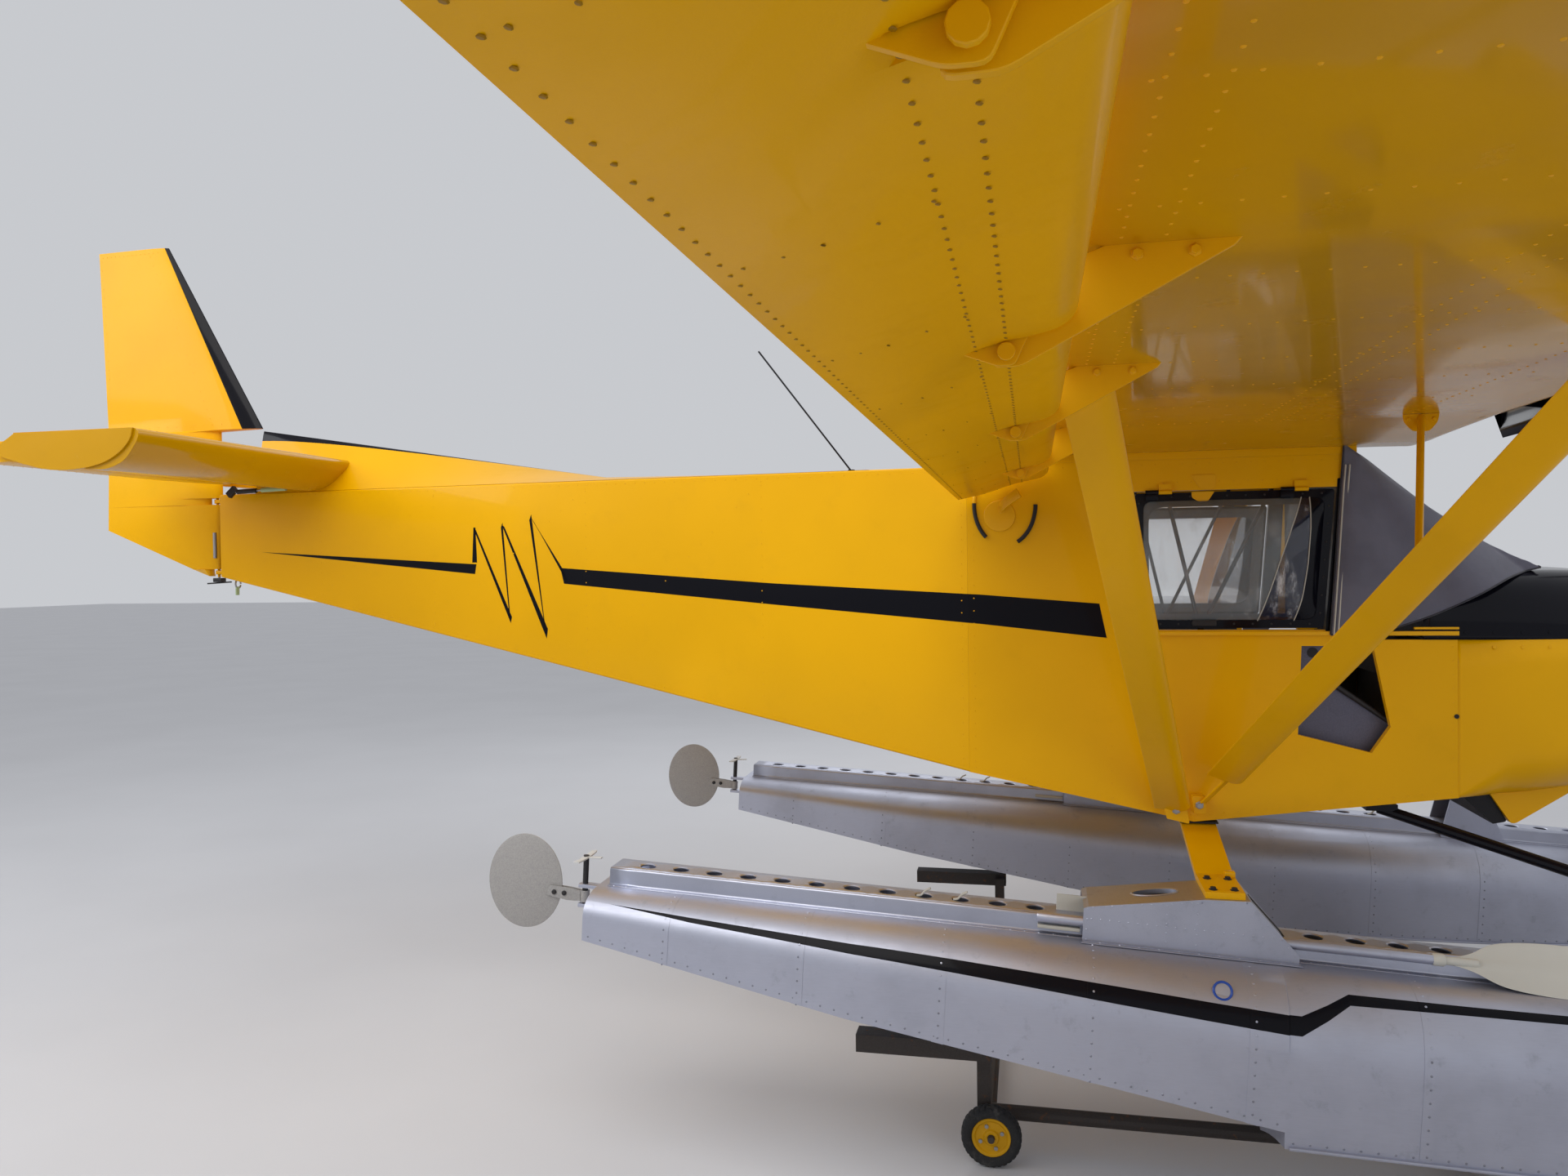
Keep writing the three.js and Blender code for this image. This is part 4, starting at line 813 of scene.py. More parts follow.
def make_spine():
    """Two slopes from the longerons up to a ridge. Across them the height falls as the root of the
    square of the distance from the middle and of a small rounding, so the ridge is soft."""
    x = np.concatenate([np.linspace(-0.33, -1.45, 16), np.linspace(-1.48, -3.006, 30)])[:, None]
    half, ridge = table(SPINE, x, 1, 2)
    band = np.minimum(RIDGE_BAND / half, 0.6)
    share = np.array([-1, -0.75, -0.5, -0.25, -0.1])
    middle = np.linspace(-1, 1, 5) * band
    side = np.concatenate([share * (1 - band) - band, middle, -share[::-1] * (1 - band) + band], 1)
    side[:, 0], side[:, -1] = -1, 1
    soft = 0.05
    fall = (np.sqrt(side**2 + soft**2) - soft) / (math.sqrt(1 + soft**2) - soft)
    foot = longeron_z(x) + 0.0003
    slopes = at(x, side * half, foot + (ridge - foot) * (1 - fall))
    grid = np.concatenate([slopes, at(x, half, foot), at(x, -half, foot)], 1)
    form = Form().tube(grid)
    column = face_places(len(x) - 1, grid.shape[1])[1]
    form.finishes[0] = np.where((column >= 5) & (column < 9), 1, 0)
    piece("dorsal_spine_skin", form, ["yellow_gloss", "black_gloss"],
          replaces=["dorsal_spine"])


def rivet_line(form, start, end, normal, sizes, pitch=None):
    """Heads at even steps along a straight line."""
    count = max(2, int(np.linalg.norm(end - start) / (pitch or sizes.pitch)) + 1)
    form.heads(lerp(start, end, np.linspace(0, 1, count)[:, None]), normal, sizes)


FRAME_STATIONS = (-0.02, -0.72, -1.42, -2.1, -2.66)
STIFFENERS = (((-0.72, 0.53), (-1.42, -0.12)), ((-1.42, 0.53), (-2.1, 0.02)), ((-2.1, 0.53), (-2.66, 0.14)))


def make_side_rivets(sizes):
    """Rows along both longerons, at each frame and over the slanted stiffeners between frames."""
    form = Form()
    rows = [((-0.02, tuck_z(-0.02) + 0.018), (-3.16, tuck_z(-3.16) + 0.018), 1),
            ((-0.02, longeron_z(-0.02) - 0.016), (-3.16, longeron_z(-3.16) - 0.016), 1)]
    rows += [((x, tuck_z(x) + 0.038), (x, longeron_z(x) - 0.04), 1) for x in FRAME_STATIONS]
    rows += [(start, end, 1.6) for start, end in STIFFENERS]
    for side in BOTH:
        normal = ((HALF_W - TAIL_HALF_W) / TAIL_POST, side, 0.0)
        for start, end, pitch in rows:
            ends = (at(x, side * side_y(x), z) for x, z in (start, end))
            rivet_line(form, *ends, normal, sizes, sizes.pitch * pitch)
    piece("fuselage_rivets", form, ["yellow_trim"], loose=True)


# Black hoops on the sides under the flaperon's root: middle, radii and the part of the circle
HOOP = {"x": 0.122, "z": 0.422, "a": 0.098, "b": 0.134, "tube": 0.0065}


def make_side_details():
    """Black arcs and a yellow one round the side holes that the flaperon levers come out of, the levers
    with their yellow caps, and a black disc that paints the shade of the drain hole.
    """
    form, yellow = Form(), Form()
    for side in BOTH:
        for edge, start, end, count, lift in ((form, 3.1, 4.05, 22, 0.004), (form, -1.15, -0.02, 22, 0.004),
                                              (yellow, 1.95, 3.1, 14, 0.003)):
            x, z = oval((HOOP["x"], HOOP["z"]), HOOP["a"], HOOP["b"], count, start, end, False).T
            edge.rod(at(x, side * (HALF_W + lift), z), HOOP["tube"], 10, up=(0, 1, 0))
        # a flat black disc for the drain hole: painted shade of the hole
        hole = at(FIREWALL_X - 0.006, side * (HALF_W + 0.001), -0.25)
        form.turn([[0.0, 0.0], [0.007, 0.0], [0.007, 0.0012], [0.0, 0.0012]], hole, (0, side, 0), 16)
        lever = through([0.1, side * 0.512, 0.402], [0.13, side * 0.548, 0.43],
                        [0.168, side * 0.566, 0.456])
        yellow.bar(spline(lever, 5), 0.004, 0.016)
        for radius, rim, height, top, x, z, sides in ((0.011, 0.011, 0.012, 0.012, 0.112, 0.405, 14),
                                                      (0.052, 0.05, 0.004, 0.005, 0.105, 0.385, 28)):
            profile = [[0, 0], [radius, 0], [rim, height], [0, top]]
            yellow.turn(profile, at(x, side * HALF_W, z), (0, side, 0), sides)
    piece("side_black_arcs_and_hole_shade", form, ["black_rubber"])
    piece("flaperon_lever_caps", yellow, ["yellow_trim"], bevel=0.001)


# Wings

WING_LE, WING_TE = 1.42, 0.262
WING_Z = 0.6
WING_T = 0.178
TIP_Y = 4.115
# y, thickness, rise of the underside, chord taken off the front
WING_STATIONS = (
    (0.46, 0.046, -0.0247, 0.04), (0.584, 0.046, -0.0247, 0.04), (1.02, WING_T, 0, 0),
    (3.965, WING_T, 0, 0),
    (4.01, 0.172, 0.006, 0.005), (4.055, 0.146, 0.03, 0.024), (4.09, 0.1, 0.078, 0.052),
    (4.115, 0.039, 0.14, 0.09),
)
# Section from the trailing edge over the top to the nose and back below, in shares of chord and thickness
WING_TOP = ((1, 0.05), (0.8, 0.38), (0.6, 0.7), (0.4, 0.94), (0.28, 0.995), (0.16, 0.94), (0.08, 0.79),
            (0.03, 0.6), (0.006, 0.42), (0.001, 0.28), (0.01, 0.1), (0.03, -0.02), (0.06, -0.015),
            (0.1, 0.0))
ARM_YS = (1.06, 2.04, 2.875, 3.71)
RIB_YS = tuple(1.06 + 0.3265 * k for k in range(9))
# Two black patches under the wing near the rear strut's head, as offsets of their corners: painted shade of
# pockets
POCKET = np.array([[-0.02, 0.034, -0.004], [-0.03, 0.004, 0.034]])


# Bolts of a hinge arm: the side that they stand on, x, z and radius
ARM_BOLTS = ((1, 0.33, 0.588, 0.006), (1, 0.395, 0.588, 0.006), (-1, 0.178, 0.478, 0.01),
             (-1, 0.33, 0.588, 0.006), (-1, 0.395, 0.588, 0.006))


def bolt_profile(washer, low, head, step, high):
    """Profile of a bolt: its washer up to a low height, and its head from a step up to its top."""
    return [[0, 0], [washer, 0], [washer, low], [head, step], [head, high], [0, high]]


def wing_grid(side):
    """Rows along the span, columns round the section."""
    top = spline(WING_TOP, 7)
    bottom = np.stack([np.linspace(0.16, 1, 12), np.zeros(12)], -1)
    section = np.concatenate([top, bottom])
    y = np.concatenate([np.linspace(0.46, 0.584, 3), np.linspace(0.62, 1.0, 8),
                        np.linspace(1.02, 3.965, 40), np.linspace(3.98, TIP_Y, 12)])[:, None]
    t, rise, back = table(WING_STATIONS, y, 1, 2, 3)
    u, v = section.T
    return at(lerp(WING_LE - back, WING_TE, u), side * y, WING_Z + rise + v * t)


def make_wing(name, side, sizes):
    """The skin, the hinge arms with their bolts, black patches that paint the shade of two pockets, and
    rivets along spars and ribs.
    """
    form = Form().tube(wing_grid(side))
    # the wing's skin takes the darkened glossy yellow, painted shade of its underside
    piece(f"wing_skin_{name}", form, ["yellow_mirror_shaded"], replaces=[f"wing_{name}"])
    arms = Form()
    outline = bent([(0.45, 0.603), (0.3, 0.603), (0.27, 0.592), (0.165, 0.494), (0.162, 0.463),
                    (0.194, 0.463), (0.44, 0.592)], 0.008, 4)
    for y in ARM_YS:
        arms.plate(outline, side * (y - 0.004), side * 0.008)
    piece(f"hinge_arms_{name}", arms, ["yellow_trim"], bevel=0.001)
    bolts = Form()
    for y in ARM_YS:
        for out, x, z, r in ARM_BOLTS:
            profile = bolt_profile(r * 1.4, 0.0015, r, 0.002, 0.006)
            bolts.turn(profile, at(x, side * (y + out * 0.004), z), (0, side * out, 0), 6)
    piece(f"hinge_bolts_{name}", bolts, ["yellow_trim"], bevel=0.0006)
    pockets = Form()
    for x, y in ((0.299, 1.684), (0.374, 1.811)):
        corners = x + POCKET[0], side * (y + POCKET[1])
        pockets.slab(at(*corners, 0.5985), [0, 0, 0.001])
    piece(f"wing_pocket_shade_{name}", pockets, ["black_rubber"])
    rivets = Form()
    for x in (1.16, 0.86, 0.8, 0.36, 0.31):
        rivet_line(rivets, at(x, side * 1.03, WING_Z), at(x, side * 3.95, WING_Z), (0, 0, -1), sizes)
    for y in RIB_YS:
        rivet_line(rivets, at(1.2, side * y, WING_Z), at(0.3, side * y, WING_Z), (0, 0, -1), sizes)
    u, v = spline(WING_TOP, 7)[:45:3].T
    x, z = lerp(WING_LE, WING_TE, u), WING_Z + v * WING_T
    normals = np.stack([-np.gradient(z) / np.gradient(x), 0 * x, 0 * x + 1], -1)
    for y in RIB_YS:
        rivets.heads(at(x, side * y, z), normals, sizes)
    piece(f"wing_rivets_{name}", rivets, ["yellow_trim"], loose=True)


# Flaperon section: nose first over the top, then below
FLAP_TOP = ((-0.025, 0.444), (0.06, 0.484), (0.15, 0.54), (0.205, 0.5545), (0.24, 0.552), (0.2595, 0.538),
            (0.2595, 0.522), (0.246, 0.508), (0.222, 0.499), (0.15, 0.484), (0.06, 0.456), (-0.025, 0.438))
FLAP_IN, FLAP_OUT = 0.56, 4.045
NOTCH = 0.018


def make_flaperon(name, side, sizes):
    """The section carried along the span between the hinge notches, where its nose is cut back."""
    section = spline(FLAP_TOP, 6)
    cut = np.stack([np.minimum(section[:, 0], 0.14), section[:, 1]], -1)
    cut[:, 1] = np.where(section[:, 0] > 0.14, np.clip(section[:, 1], 0.4825, 0.533), section[:, 1])
    rows = [(FLAP_IN, section)]
    for y in ARM_YS:
        rows += [(y - NOTCH, section), (y - NOTCH + 0.0005, cut), (y + NOTCH - 0.0005, cut),
                 (y + NOTCH, section)]
    rows.append((FLAP_OUT, section))
    grid = np.stack([at(s[:, 0], side * y, s[:, 1]) for y, s in rows])
    body = f"flaperon_{name}"
    piece(f"flaperon_skin_{name}", Form().tube(grid), ["yellow_gloss"], body, [body])
    horns, rivets = Form(), Form()
    horn = bent([(0.205, 0.5), (0.188, 0.463), (0.166, 0.463), (0.122, 0.48), (0.132, 0.5)], 0.006, 4)
    for y in ARM_YS:
        horns.plate(horn, side * (y + 0.01), side * 0.006)
        pin = bolt_profile(0.007, 0.017, 0.011, 0.017, 0.023)
        horns.turn(pin, at(0.178, side * (y + 0.0043), 0.478), (0, side, 0), 12)
    piece(f"flaperon_horns_{name}", horns, ["yellow_trim"], body, bevel=0.0008)
    low = lambda x, y: at(x, side * y,
                          np.interp(x, [-0.025, 0.06, 0.15, 0.222], [0.438, 0.456, 0.484, 0.499]))
    high = lambda x, y: at(x, side * y, np.interp(x, [-0.025, 0.06, 0.15], [0.444, 0.484, 0.54]))
    for x in (-0.012, 0.142, 0.178):
        rivet_line(rivets, low(x, 0.58), low(x, 4.03), (-0.2, 0, -1), sizes, 0.03)
    for x in (-0.012, 0.14):
        rivet_line(rivets, high(x, 0.58), high(x, 4.03), (-0.5, 0, 1), sizes)
    for y in (0.575, *np.linspace(0.8, 3.85, 9), 4.03):
        for x0, x1 in ((0.0, 0.06), (0.06, 0.14)):
            rivet_line(rivets, low(x0, y), low(x1, y), (-0.3, 0, -1), sizes, 0.03)
    # the flaperon's rivets take the darkened yellow, painted shade of their dimples
    piece(f"flaperon_rivets_{name}", rivets, ["yellow_painted_shade"], body, loose=True)


SLAT_OUTER = ((1.478, 0.557), (1.496, 0.565), (1.509, 0.591), (1.5095, 0.632), (1.494, 0.68), (1.46, 0.724),
              (1.412, 0.758), (1.352, 0.78), (1.296, 0.786))
SLAT_INNER = ((1.296, 0.784), (1.348, 0.769), (1.4, 0.741), (1.438, 0.705), (1.464, 0.661), (1.474, 0.617),
              (1.4705, 0.579))
SLAT_IN, SLAT_OUT = 0.8, 3.945
BRACKET_YS = (1.064, 1.954, 2.844, 3.734)
BRACKET = ((1.478, 0.604), (1.386, 0.616), (1.38, 0.69), (1.452, 0.696), (1.472, 0.656))


def make_slat(name, side, sizes):
    """One section from the inner end to the outer one, on plate brackets, and its rivets."""
    section = np.concatenate([spline(SLAT_OUTER, 5), spline(SLAT_INNER, 5)])
    y = np.linspace(SLAT_IN, SLAT_OUT, 26)[:, None]
    form = Form().tube(at(section[:, 0], side * y, section[:, 1]))
    for y in BRACKET_YS:
        form.plate(bent(BRACKET, 0.008, 4), side * (y - 0.004), side * 0.008)
    piece(f"slat_skin_{name}", form, ["black_gloss"], replaces=[f"slat_{name}"])
    rivets = Form()
    for x, z, n in ((1.5095, 0.632, (1, 0, 0.1)), (1.352, 0.78, (0.25, 0, 1))):
        rivet_line(rivets, at(x, side * (SLAT_IN + 0.02), z), at(x, side * (SLAT_OUT - 0.02), z), n, sizes,
                   0.06)
    piece(f"slat_rivets_{name}", rivets, ["black_gloss"], loose=True)


class FLOATPLANE_OT_wings(bpy.types.Operator):
    """Makes wings, slats and flaperons with their hinges and rivets"""

    bl_idname = "floatplane.wings"
    bl_label = "Wings"

    def execute(self, context):
        sizes = context.scene.floatplane_sizes
        for name, side in SIDES.items():
            make_wing(name, side, sizes)
            make_flaperon(name, side, sizes)
            make_slat(name, side, sizes)
        return {"FINISHED"}


# Struts

STREAMLINE = ((-0.5, 0.0), (-0.3, 0.17), (0.0, 0.4), (0.22, 0.5), (0.4, 0.36), (0.5, 0.0),
              (0.4, -0.36), (0.22, -0.5), (0.0, -0.4), (-0.3, -0.17))
STRUTS = {
    # foot, head, chord, thickness, shares of the length between which the fairing runs, the block at its
    # head: its two ends along x, its middle and its half width
    "rear": ((0.63, 0.572, -0.54), (0.31, 1.95, 0.5985), 0.108, 0.034, 0.0, 0.985,
             (0.28, 0.37, 1.94, 0.05)),
    "front": ((0.768, 0.602, -0.452), (1.25, 2.01, 0.5985), 0.118, 0.038, 0.02, 0.985,
              (1.205, 1.295, 2.005, 0.055)),
}

JURY_HEAD = (1.19, 1.07)
JURY_PLATE = ((-0.043, 0), (-0.041, -0.02), (-0.02, -0.044), (0.02, -0.045), (0.039, -0.022), (0.043, 0))


def strut_grid(foot, head, chord, thickness, start, end, rows=12):
    """A streamlined section carried straight from foot to head, its chord along the flight line."""
    foot, head = np.asarray(foot, float), np.asarray(head, float)
    along = unit(head - foot)
    fore = unit(np.array([1.0, 0, 0]) - along * along[0])
    flat = np.cross(along, fore)
    outline = spline(STREAMLINE, 5, closed=True)
    t = np.linspace(start, end, rows)[:, None, None]
    middle = foot + (head - foot) * t
    return middle + fore * outline[:, :1] * chord + flat * outline[:, 1:] * thickness + DATUM


def make_struts(name, side):
    """Both lift struts with their end fittings, and the jury strut from the front one up."""
    mirror = np.array([1, side, 1])
    for which, (foot, head, *section, block) in STRUTS.items():
        form = Form().tube(strut_grid(foot * mirror, head * mirror, *section))
        start, end, y, half = block
        form.bar(through([start, side * y, 0.5867], [end, side * y, 0.5867]), half, 0.0127, 0.003)
        if which == "rear":
            plate = bent([(0.6, -0.52), (0.668, -0.52), (0.68, -0.59), (0.612, -0.575)], 0.008, 4)
            for out in (0.0005, 0.0565):
                form.plate(plate, side * (HALF_W + out), side * 0.005)
        else:
            strap = through([0.8, side * 0.64, -0.418], [0.73, side * 0.57, -0.515],
                            [0.712, side * 0.548, -0.54])
            form.bar(bent(strap, 0.02), 0.014, 0.0035, 0.0015)
            plate = bent([(0.69, -0.505), (0.728, -0.505), (0.732, -0.56), (0.694, -0.56)], 0.006, 4)
            form.plate(plate, side * (HALF_W + 0.0005), side * 0.045)
        piece(f"lift_strut_{which}_{name}", form, ["yellow_gloss"],
              replaces=[f"strut_{which}_{name}"], bevel=0.0008)
    foot, head = (np.array(STRUTS["front"][k]) * mirror for k in (0, 1))
    x, y = JURY_HEAD
    low, top = lerp(foot, head, 0.612), np.array([x, side * y, WING_Z - 0.008])
    form = Form().rod(np.stack([low, top]) + DATUM, 0.009, 14)
    plate = bent(np.array(JURY_PLATE) + [x, WING_Z - 0.0003], 0.008, 4)
    form.plate(plate, side * (y - 0.003), side * 0.006)
    for along in (-0.03, 0.03):
        for out in BOTH:
            spot = at(x + along, side * y + out * 0.003, WING_Z - 0.014)
            form.turn([[0, 0], [0.006, 0], [0.005, 0.004], [0, 0.005]], spot, (0, out, 0), 6)
    piece(f"jury_strut_rod_{name}", form, ["yellow_gloss"],
          replaces=[f"jury_strut_{name}"], bevel=0.0008)
    bolts = Form()
    for x, y, z in ((0.64, 0.582, -0.548), (0.711, 0.566, -0.533)):
        bolts.turn(bolt_profile(0.013, 0.002, 0.009, 0.0025, 0.009), at(x, side * y, z), (0, side, 0), 6)
    piece(f"strut_bolts_{name}", bolts, ["steel_fitting"], bevel=0.0005)


class FLOATPLANE_OT_struts(bpy.types.Operator):
    """Makes the lift struts and jury struts with their end fittings"""

    bl_idname = "floatplane.struts"
    bl_label = "Struts"

    def execute(self, context):
        for name, side in SIDES.items():
            make_struts(name, side)
        return {"FINISHED"}


# Tail

STAB_LE, STAB_TAIL, STAB_TOP, STAB_HALF = -2.56, -3.038, 0.699, 1.2
STAB_DEPTH = 0.13
STAB_SECTION = ((1, 0.0), (0.5, 0.0), (0.12, 0.0), (0.05, -0.006), (0.015, -0.05), (0.0, -0.14),
                (0.008, -0.28), (0.04, -0.47), (0.12, -0.8), (0.25, -0.985), (0.4, -0.98), (0.6, -0.86),
                (0.8, -0.66), (1, -0.42))
END_PLATE = ((-2.575, 0.6975), (-2.587, 0.66), (-2.63, 0.618), (-2.7, 0.586), (-2.8, 0.571), (-2.9, 0.574),
             (-2.99, 0.594), (-3.06, 0.615), (-3.098, 0.627), (-3.104, 0.64), (-3.096, 0.655),
             (-3.06, 0.676), (-3.03, 0.694))
ELEVATOR = ((-0.37, 0.003), (-0.13, 0.022), (0.0, 0.034), (0.024, 0.024), (0.034, 0.0), (0.024, -0.024),
            (0.0, -0.034), (-0.13, -0.026), (-0.37, -0.003))
STAB_HINGE = (-3.084, 0.64)
# z, leading edge, trailing edge, half thickness. The nose is cut back beside the tail post's lugs.
RUDDER_LEVELS = (
    (0.222, -3.272, -3.29, 0.02), (0.252, -3.272, -3.369, 0.024), (0.2522, -3.231, -3.37, 0.024),
    (0.43, -3.216, -3.801, 0.033), (0.531, -3.216, -3.798, 0.033), (0.5312, -3.272, -3.798, 0.033),
    (0.559, -3.272, -3.797, 0.033), (0.5592, -3.216, -3.797, 0.033), (0.846, -3.216, -3.788, 0.031),
    (0.852, -3.01, -3.788, 0.031), (1.655, -3.459, -3.817, 0.014),
)
RUDDER_FORM = ((0, 0.0), (0.012, 0.3), (0.05, 0.6), (0.12, 0.84), (0.25, 1.0))


def make_stabilizer(sizes):
    """One section from tip to tip, and a flat plate at each end."""
    section = spline(STAB_SECTION, 6)
    y = np.linspace(-STAB_HALF, STAB_HALF, 41)[:, None]
    form = Form().tube(at(lerp(STAB_LE, STAB_TAIL, section[:, 0]), y,
                          STAB_TOP + section[:, 1] * STAB_DEPTH))
    x, z = STAB_HINGE
    bolts = Form()
    for side in BOTH:
        form.plate(spline(END_PLATE, 4), side * STAB_HALF, side * 0.008)
        bolt = bolt_profile(0.011, 0.002, 0.007, 0.002, 0.007)
        bolts.turn(bolt, at(x, side * (STAB_HALF + 0.0005), z), (0, side, 0), 6)
    # the stabilizer takes the darkened glossy yellow too, painted shade of its underside
    piece("stabilizer_skin", form, ["yellow_mirror_shaded"], replaces=["stabilizer"],
          bevel=0.0008)
    rivets = Form()
    for x in (-2.6, -3.02):
        rivet_line(rivets, at(x, -1.18, STAB_TOP), at(x, 1.18, STAB_TOP), (0, 0, 1), sizes)
    for y in np.linspace(-1.18, 1.18, 9):
        rivet_line(rivets, at(-2.62, y, STAB_TOP), at(-3.02, y, STAB_TOP), (0, 0, 1), sizes)
    piece("stabilizer_rivets", rivets, ["yellow_trim"], loose=True)
    piece("elevator_bolts", bolts, ["dark_tube"])


def make_elevator(sizes):
    """Two halves of one section with a torque tube and a horn between them."""
    x, z = STAB_HINGE
    section = spline(ELEVATOR, 6)
    form, rivets = Form(), Form()
    for side in BOTH:
        y = np.linspace(0.13, 1.192, 12)[:, None]
        form.tube(at(x + section[:, 0], side * y, z + section[:, 1]))
        form.rod(at(x, side * np.array([1.188, 1.1995]), z), 0.009)
        for row, height in ((-0.355, 0.0045), (-0.02, 0.0335)):
            for up in BOTH:
                ends = (at(x + row, side * y, z + up * height) for y in (0.14, 1.18))
                rivet_line(rivets, *ends, (0, 0, up), sizes)
    form.rod(at(x, [-0.16, 0.16], z), 0.02, 16)
    horn = [(x - 0.014, z - 0.004), (x + 0.014, z - 0.004), (x + 0.006, z - 0.062), (x - 0.006, z - 0.062)]
    form.plate(bent(horn, 0.004, 4), 0.1, 0.006)
    piece("elevator_skin", form, ["yellow_gloss"], "elevator", ["elevator"], bevel=0.0008)
    piece("elevator_rivets", rivets, ["yellow_trim"], "elevator", loose=True)


def rudder_half(z, u_columns):
    """The rudder's surface at heights z and shares u of its chord, as x and half thickness."""
    le, te, t = table(RUDDER_LEVELS, z[:, None], 1, 2, 3)
    form = spline(RUDDER_FORM, 6)
    thick = np.interp(u_columns, [*form[:, 0], 1.0], [*form[:, 1], 0.09])
    return lerp(le, te, u_columns), t * thick


def make_rudder(sizes):
    """Heights give rows and the chord gives columns, first the port face and then the starboard one. The
    first columns are the black edge, whose width grows towards the spine."""
    z = np.array([r[0] for r in RUDDER_LEVELS])
    z = np.concatenate([z[:-1], np.linspace(z[-2], z[-1], 14)[1:]])
    le, te = table(RUDDER_LEVELS, z, 1, 2)
    band = np.where(z > 0.85, np.interp(z, [0.85, 1.655], [0.085, 0.016]) / (le - te), 0.05)[:, None]
    share = np.array([0.0, 0.06, 0.14, 0.3, 0.6, 1.0])
    rest = np.array([0.08, 0.2, 0.4, 0.7, 1.0])
    x, y = rudder_half(z, np.concatenate([band * share, lerp(band, 1, rest)], 1))
    grid = np.concatenate([at(x, y, z[:, None]), at(x[:, :0:-1], -y[:, :0:-1], z[:, None])], 1)
    form = Form().tube(grid)
    columns = grid.shape[1]
    row, column = face_places(len(z) - 1, columns)
    black = (z[row] > 0.849) & ((column < 5) | (column >= columns - 5))
    form.finishes[0] = np.where(black, 1, 0)
    for lug in RUDDER_LUGS:
        form.rod(at(RUDDER_X, 0, [lug - 0.02, lug + 0.02]), 0.006, up=(1, 0, 0))
    piece("rudder_skin", form, ["yellow_gloss", "black_gloss"], "rudder", ["rudder"])
    rivets = Form()
    heights, shares = np.arange(0.9, 1.63, sizes.pitch), np.linspace(0.16, 0.95, 14)
    rows = [(heights, np.array([u])) for u in (0.28, 0.97)]
    rows += [(np.array([v]), shares) for v in (0.875, 1.635)]
    for side in BOTH:
        for z, u in rows:
            x, y = rudder_half(z, u[None])
            rivets.heads(at(x, side * y, z[:, None]), (0, side, 0), sizes)
    piece("rudder_rivets", rivets, ["yellow_trim"], "rudder", loose=True)


def make_tail_fittings():
    """Push rod with its sleeve, rod ends, the rudder's hinge pins and the cable fitting under the post."""
    steel, dark, white = Form(), Form(), Form()
    y = -0.118
    for form, radius, start, end in (
            (steel, 0.0045, (-2.69, 0.588), (-3.07, 0.5745)), (dark, 0.01, (-2.96, 0.578), (-3.052, 0.575)),
            (white, 0.0095, (-2.82, 0.583), (-2.935, 0.579))):
        form.rod(through([start[0], y, start[1]], [end[0], y, end[1]]), radius)
    dark.bar(through([-3.06, y, 0.59], [-3.094, y, 0.56]), 0.01, 0.014, 0.003)
    for z in RUDDER_LUGS:
        steel.rod(at(RUDDER_X, 0, [z - 0.03, z + 0.03]), 0.005, up=(1, 0, 0))
    steel.rod(at(RUDDER_X - 0.004, -0.0165, [0.3, 0.41]), 0.0085, up=(1, 0, 0))
    dark.bar(through([-3.222, 0, 0.205], [-3.262, 0, 0.205]), 0.016, 0.009, 0.003)
    dark.bar(through([-3.185, 0, 0.196], [-3.3, 0, 0.19]), 0.006, 0.003, 0.001)
    y, z = oval((0, 0.187), 0.016, 0.019, 20, 0, 6.02, False).T
    steel.rod(at(-3.15, y, z), 0.0035, 8, up=(1, 0, 0))
    white.bar(through([-3.15, -0.004, 0.176], [-3.151, -0.004, 0.139]), 0.009, 0.004, up=(1, 0, 0))
    piece("tail_rods", steel, ["steel_fitting"])
    piece("tail_brackets", dark, ["dark_tube"], bevel=0.0006)
    piece("tail_sleeve", white, ["pale_sleeve"])


class FLOATPLANE_OT_tail(bpy.types.Operator):
    """Makes the stabilizer, elevator, rudder and their fittings"""

    bl_idname = "floatplane.tail"
    bl_label = "Tail"

    def execute(self, context):
        sizes = context.scene.floatplane_sizes
        make_stabilizer(sizes)
        make_elevator(sizes)
        make_rudder(sizes)
        make_tail_fittings()
        return {"FINISHED"}


# Floats, in their own tilted frame: u along the deck, w up from the deck channel's top

STEP_U = 0.85
DECK_W = -0.0523
FLOAT_AFT = (
    # u, half beam, keel, chine, deck edge
    (-1.11, 0.198, -0.222, -0.186, DECK_W), (-0.3, 0.262, -0.352, -0.292, DECK_W),
    (STEP_U - 0.001, 0.29, -0.505, -0.424, DECK_W),
)
FLOAT_FORE = (
    (STEP_U + 0.001, 0.29, -0.56, -0.466, DECK_W), (1.5, 0.284, -0.54, -0.448, DECK_W),
    (2.1, 0.262, -0.5, -0.418, DECK_W), (2.45, 0.232, -0.46, -0.383, DECK_W),
    (2.7, 0.2, -0.416, -0.346, -0.058),
    (2.95, 0.15, -0.344, -0.28, -0.072), (3.13, 0.092, -0.256, -0.2, -0.09),
    (3.222, 0.026, -0.16, -0.138, -0.106),
)
# Black band on the outer side: u, and its lower and upper edge as shares of the height from the
# shoulder to the deck
FLOAT_BAND = (
    (-1.03, 0.69, 0.692), (-0.775, 0.555, 0.675), (-0.47, 0.515, 0.675), (-0.18, 0.475, 0.678),
    (0.0, 0.445, 0.665),
    (0.43, 0.37, 0.618), (0.66, 0.345, 0.592), (STEP_U - 0.001, 0.333, 0.578), (STEP_U + 0.001, 0.4, 0.618),
    (0.88, 0.4, 0.618), (1.0, 0.775, 0.872), (1.29, 0.805, 0.882),
    (1.51, 0.822, 0.895), (2.45, 0.84, 0.9), (3.1, 0.86, 0.88),
)
HULL_POWER = 2.35
HULL_SEAMS = (-0.85, -0.44, -0.04, 0.365, 0.77, 1.18, 1.56, 1.96, 2.36)


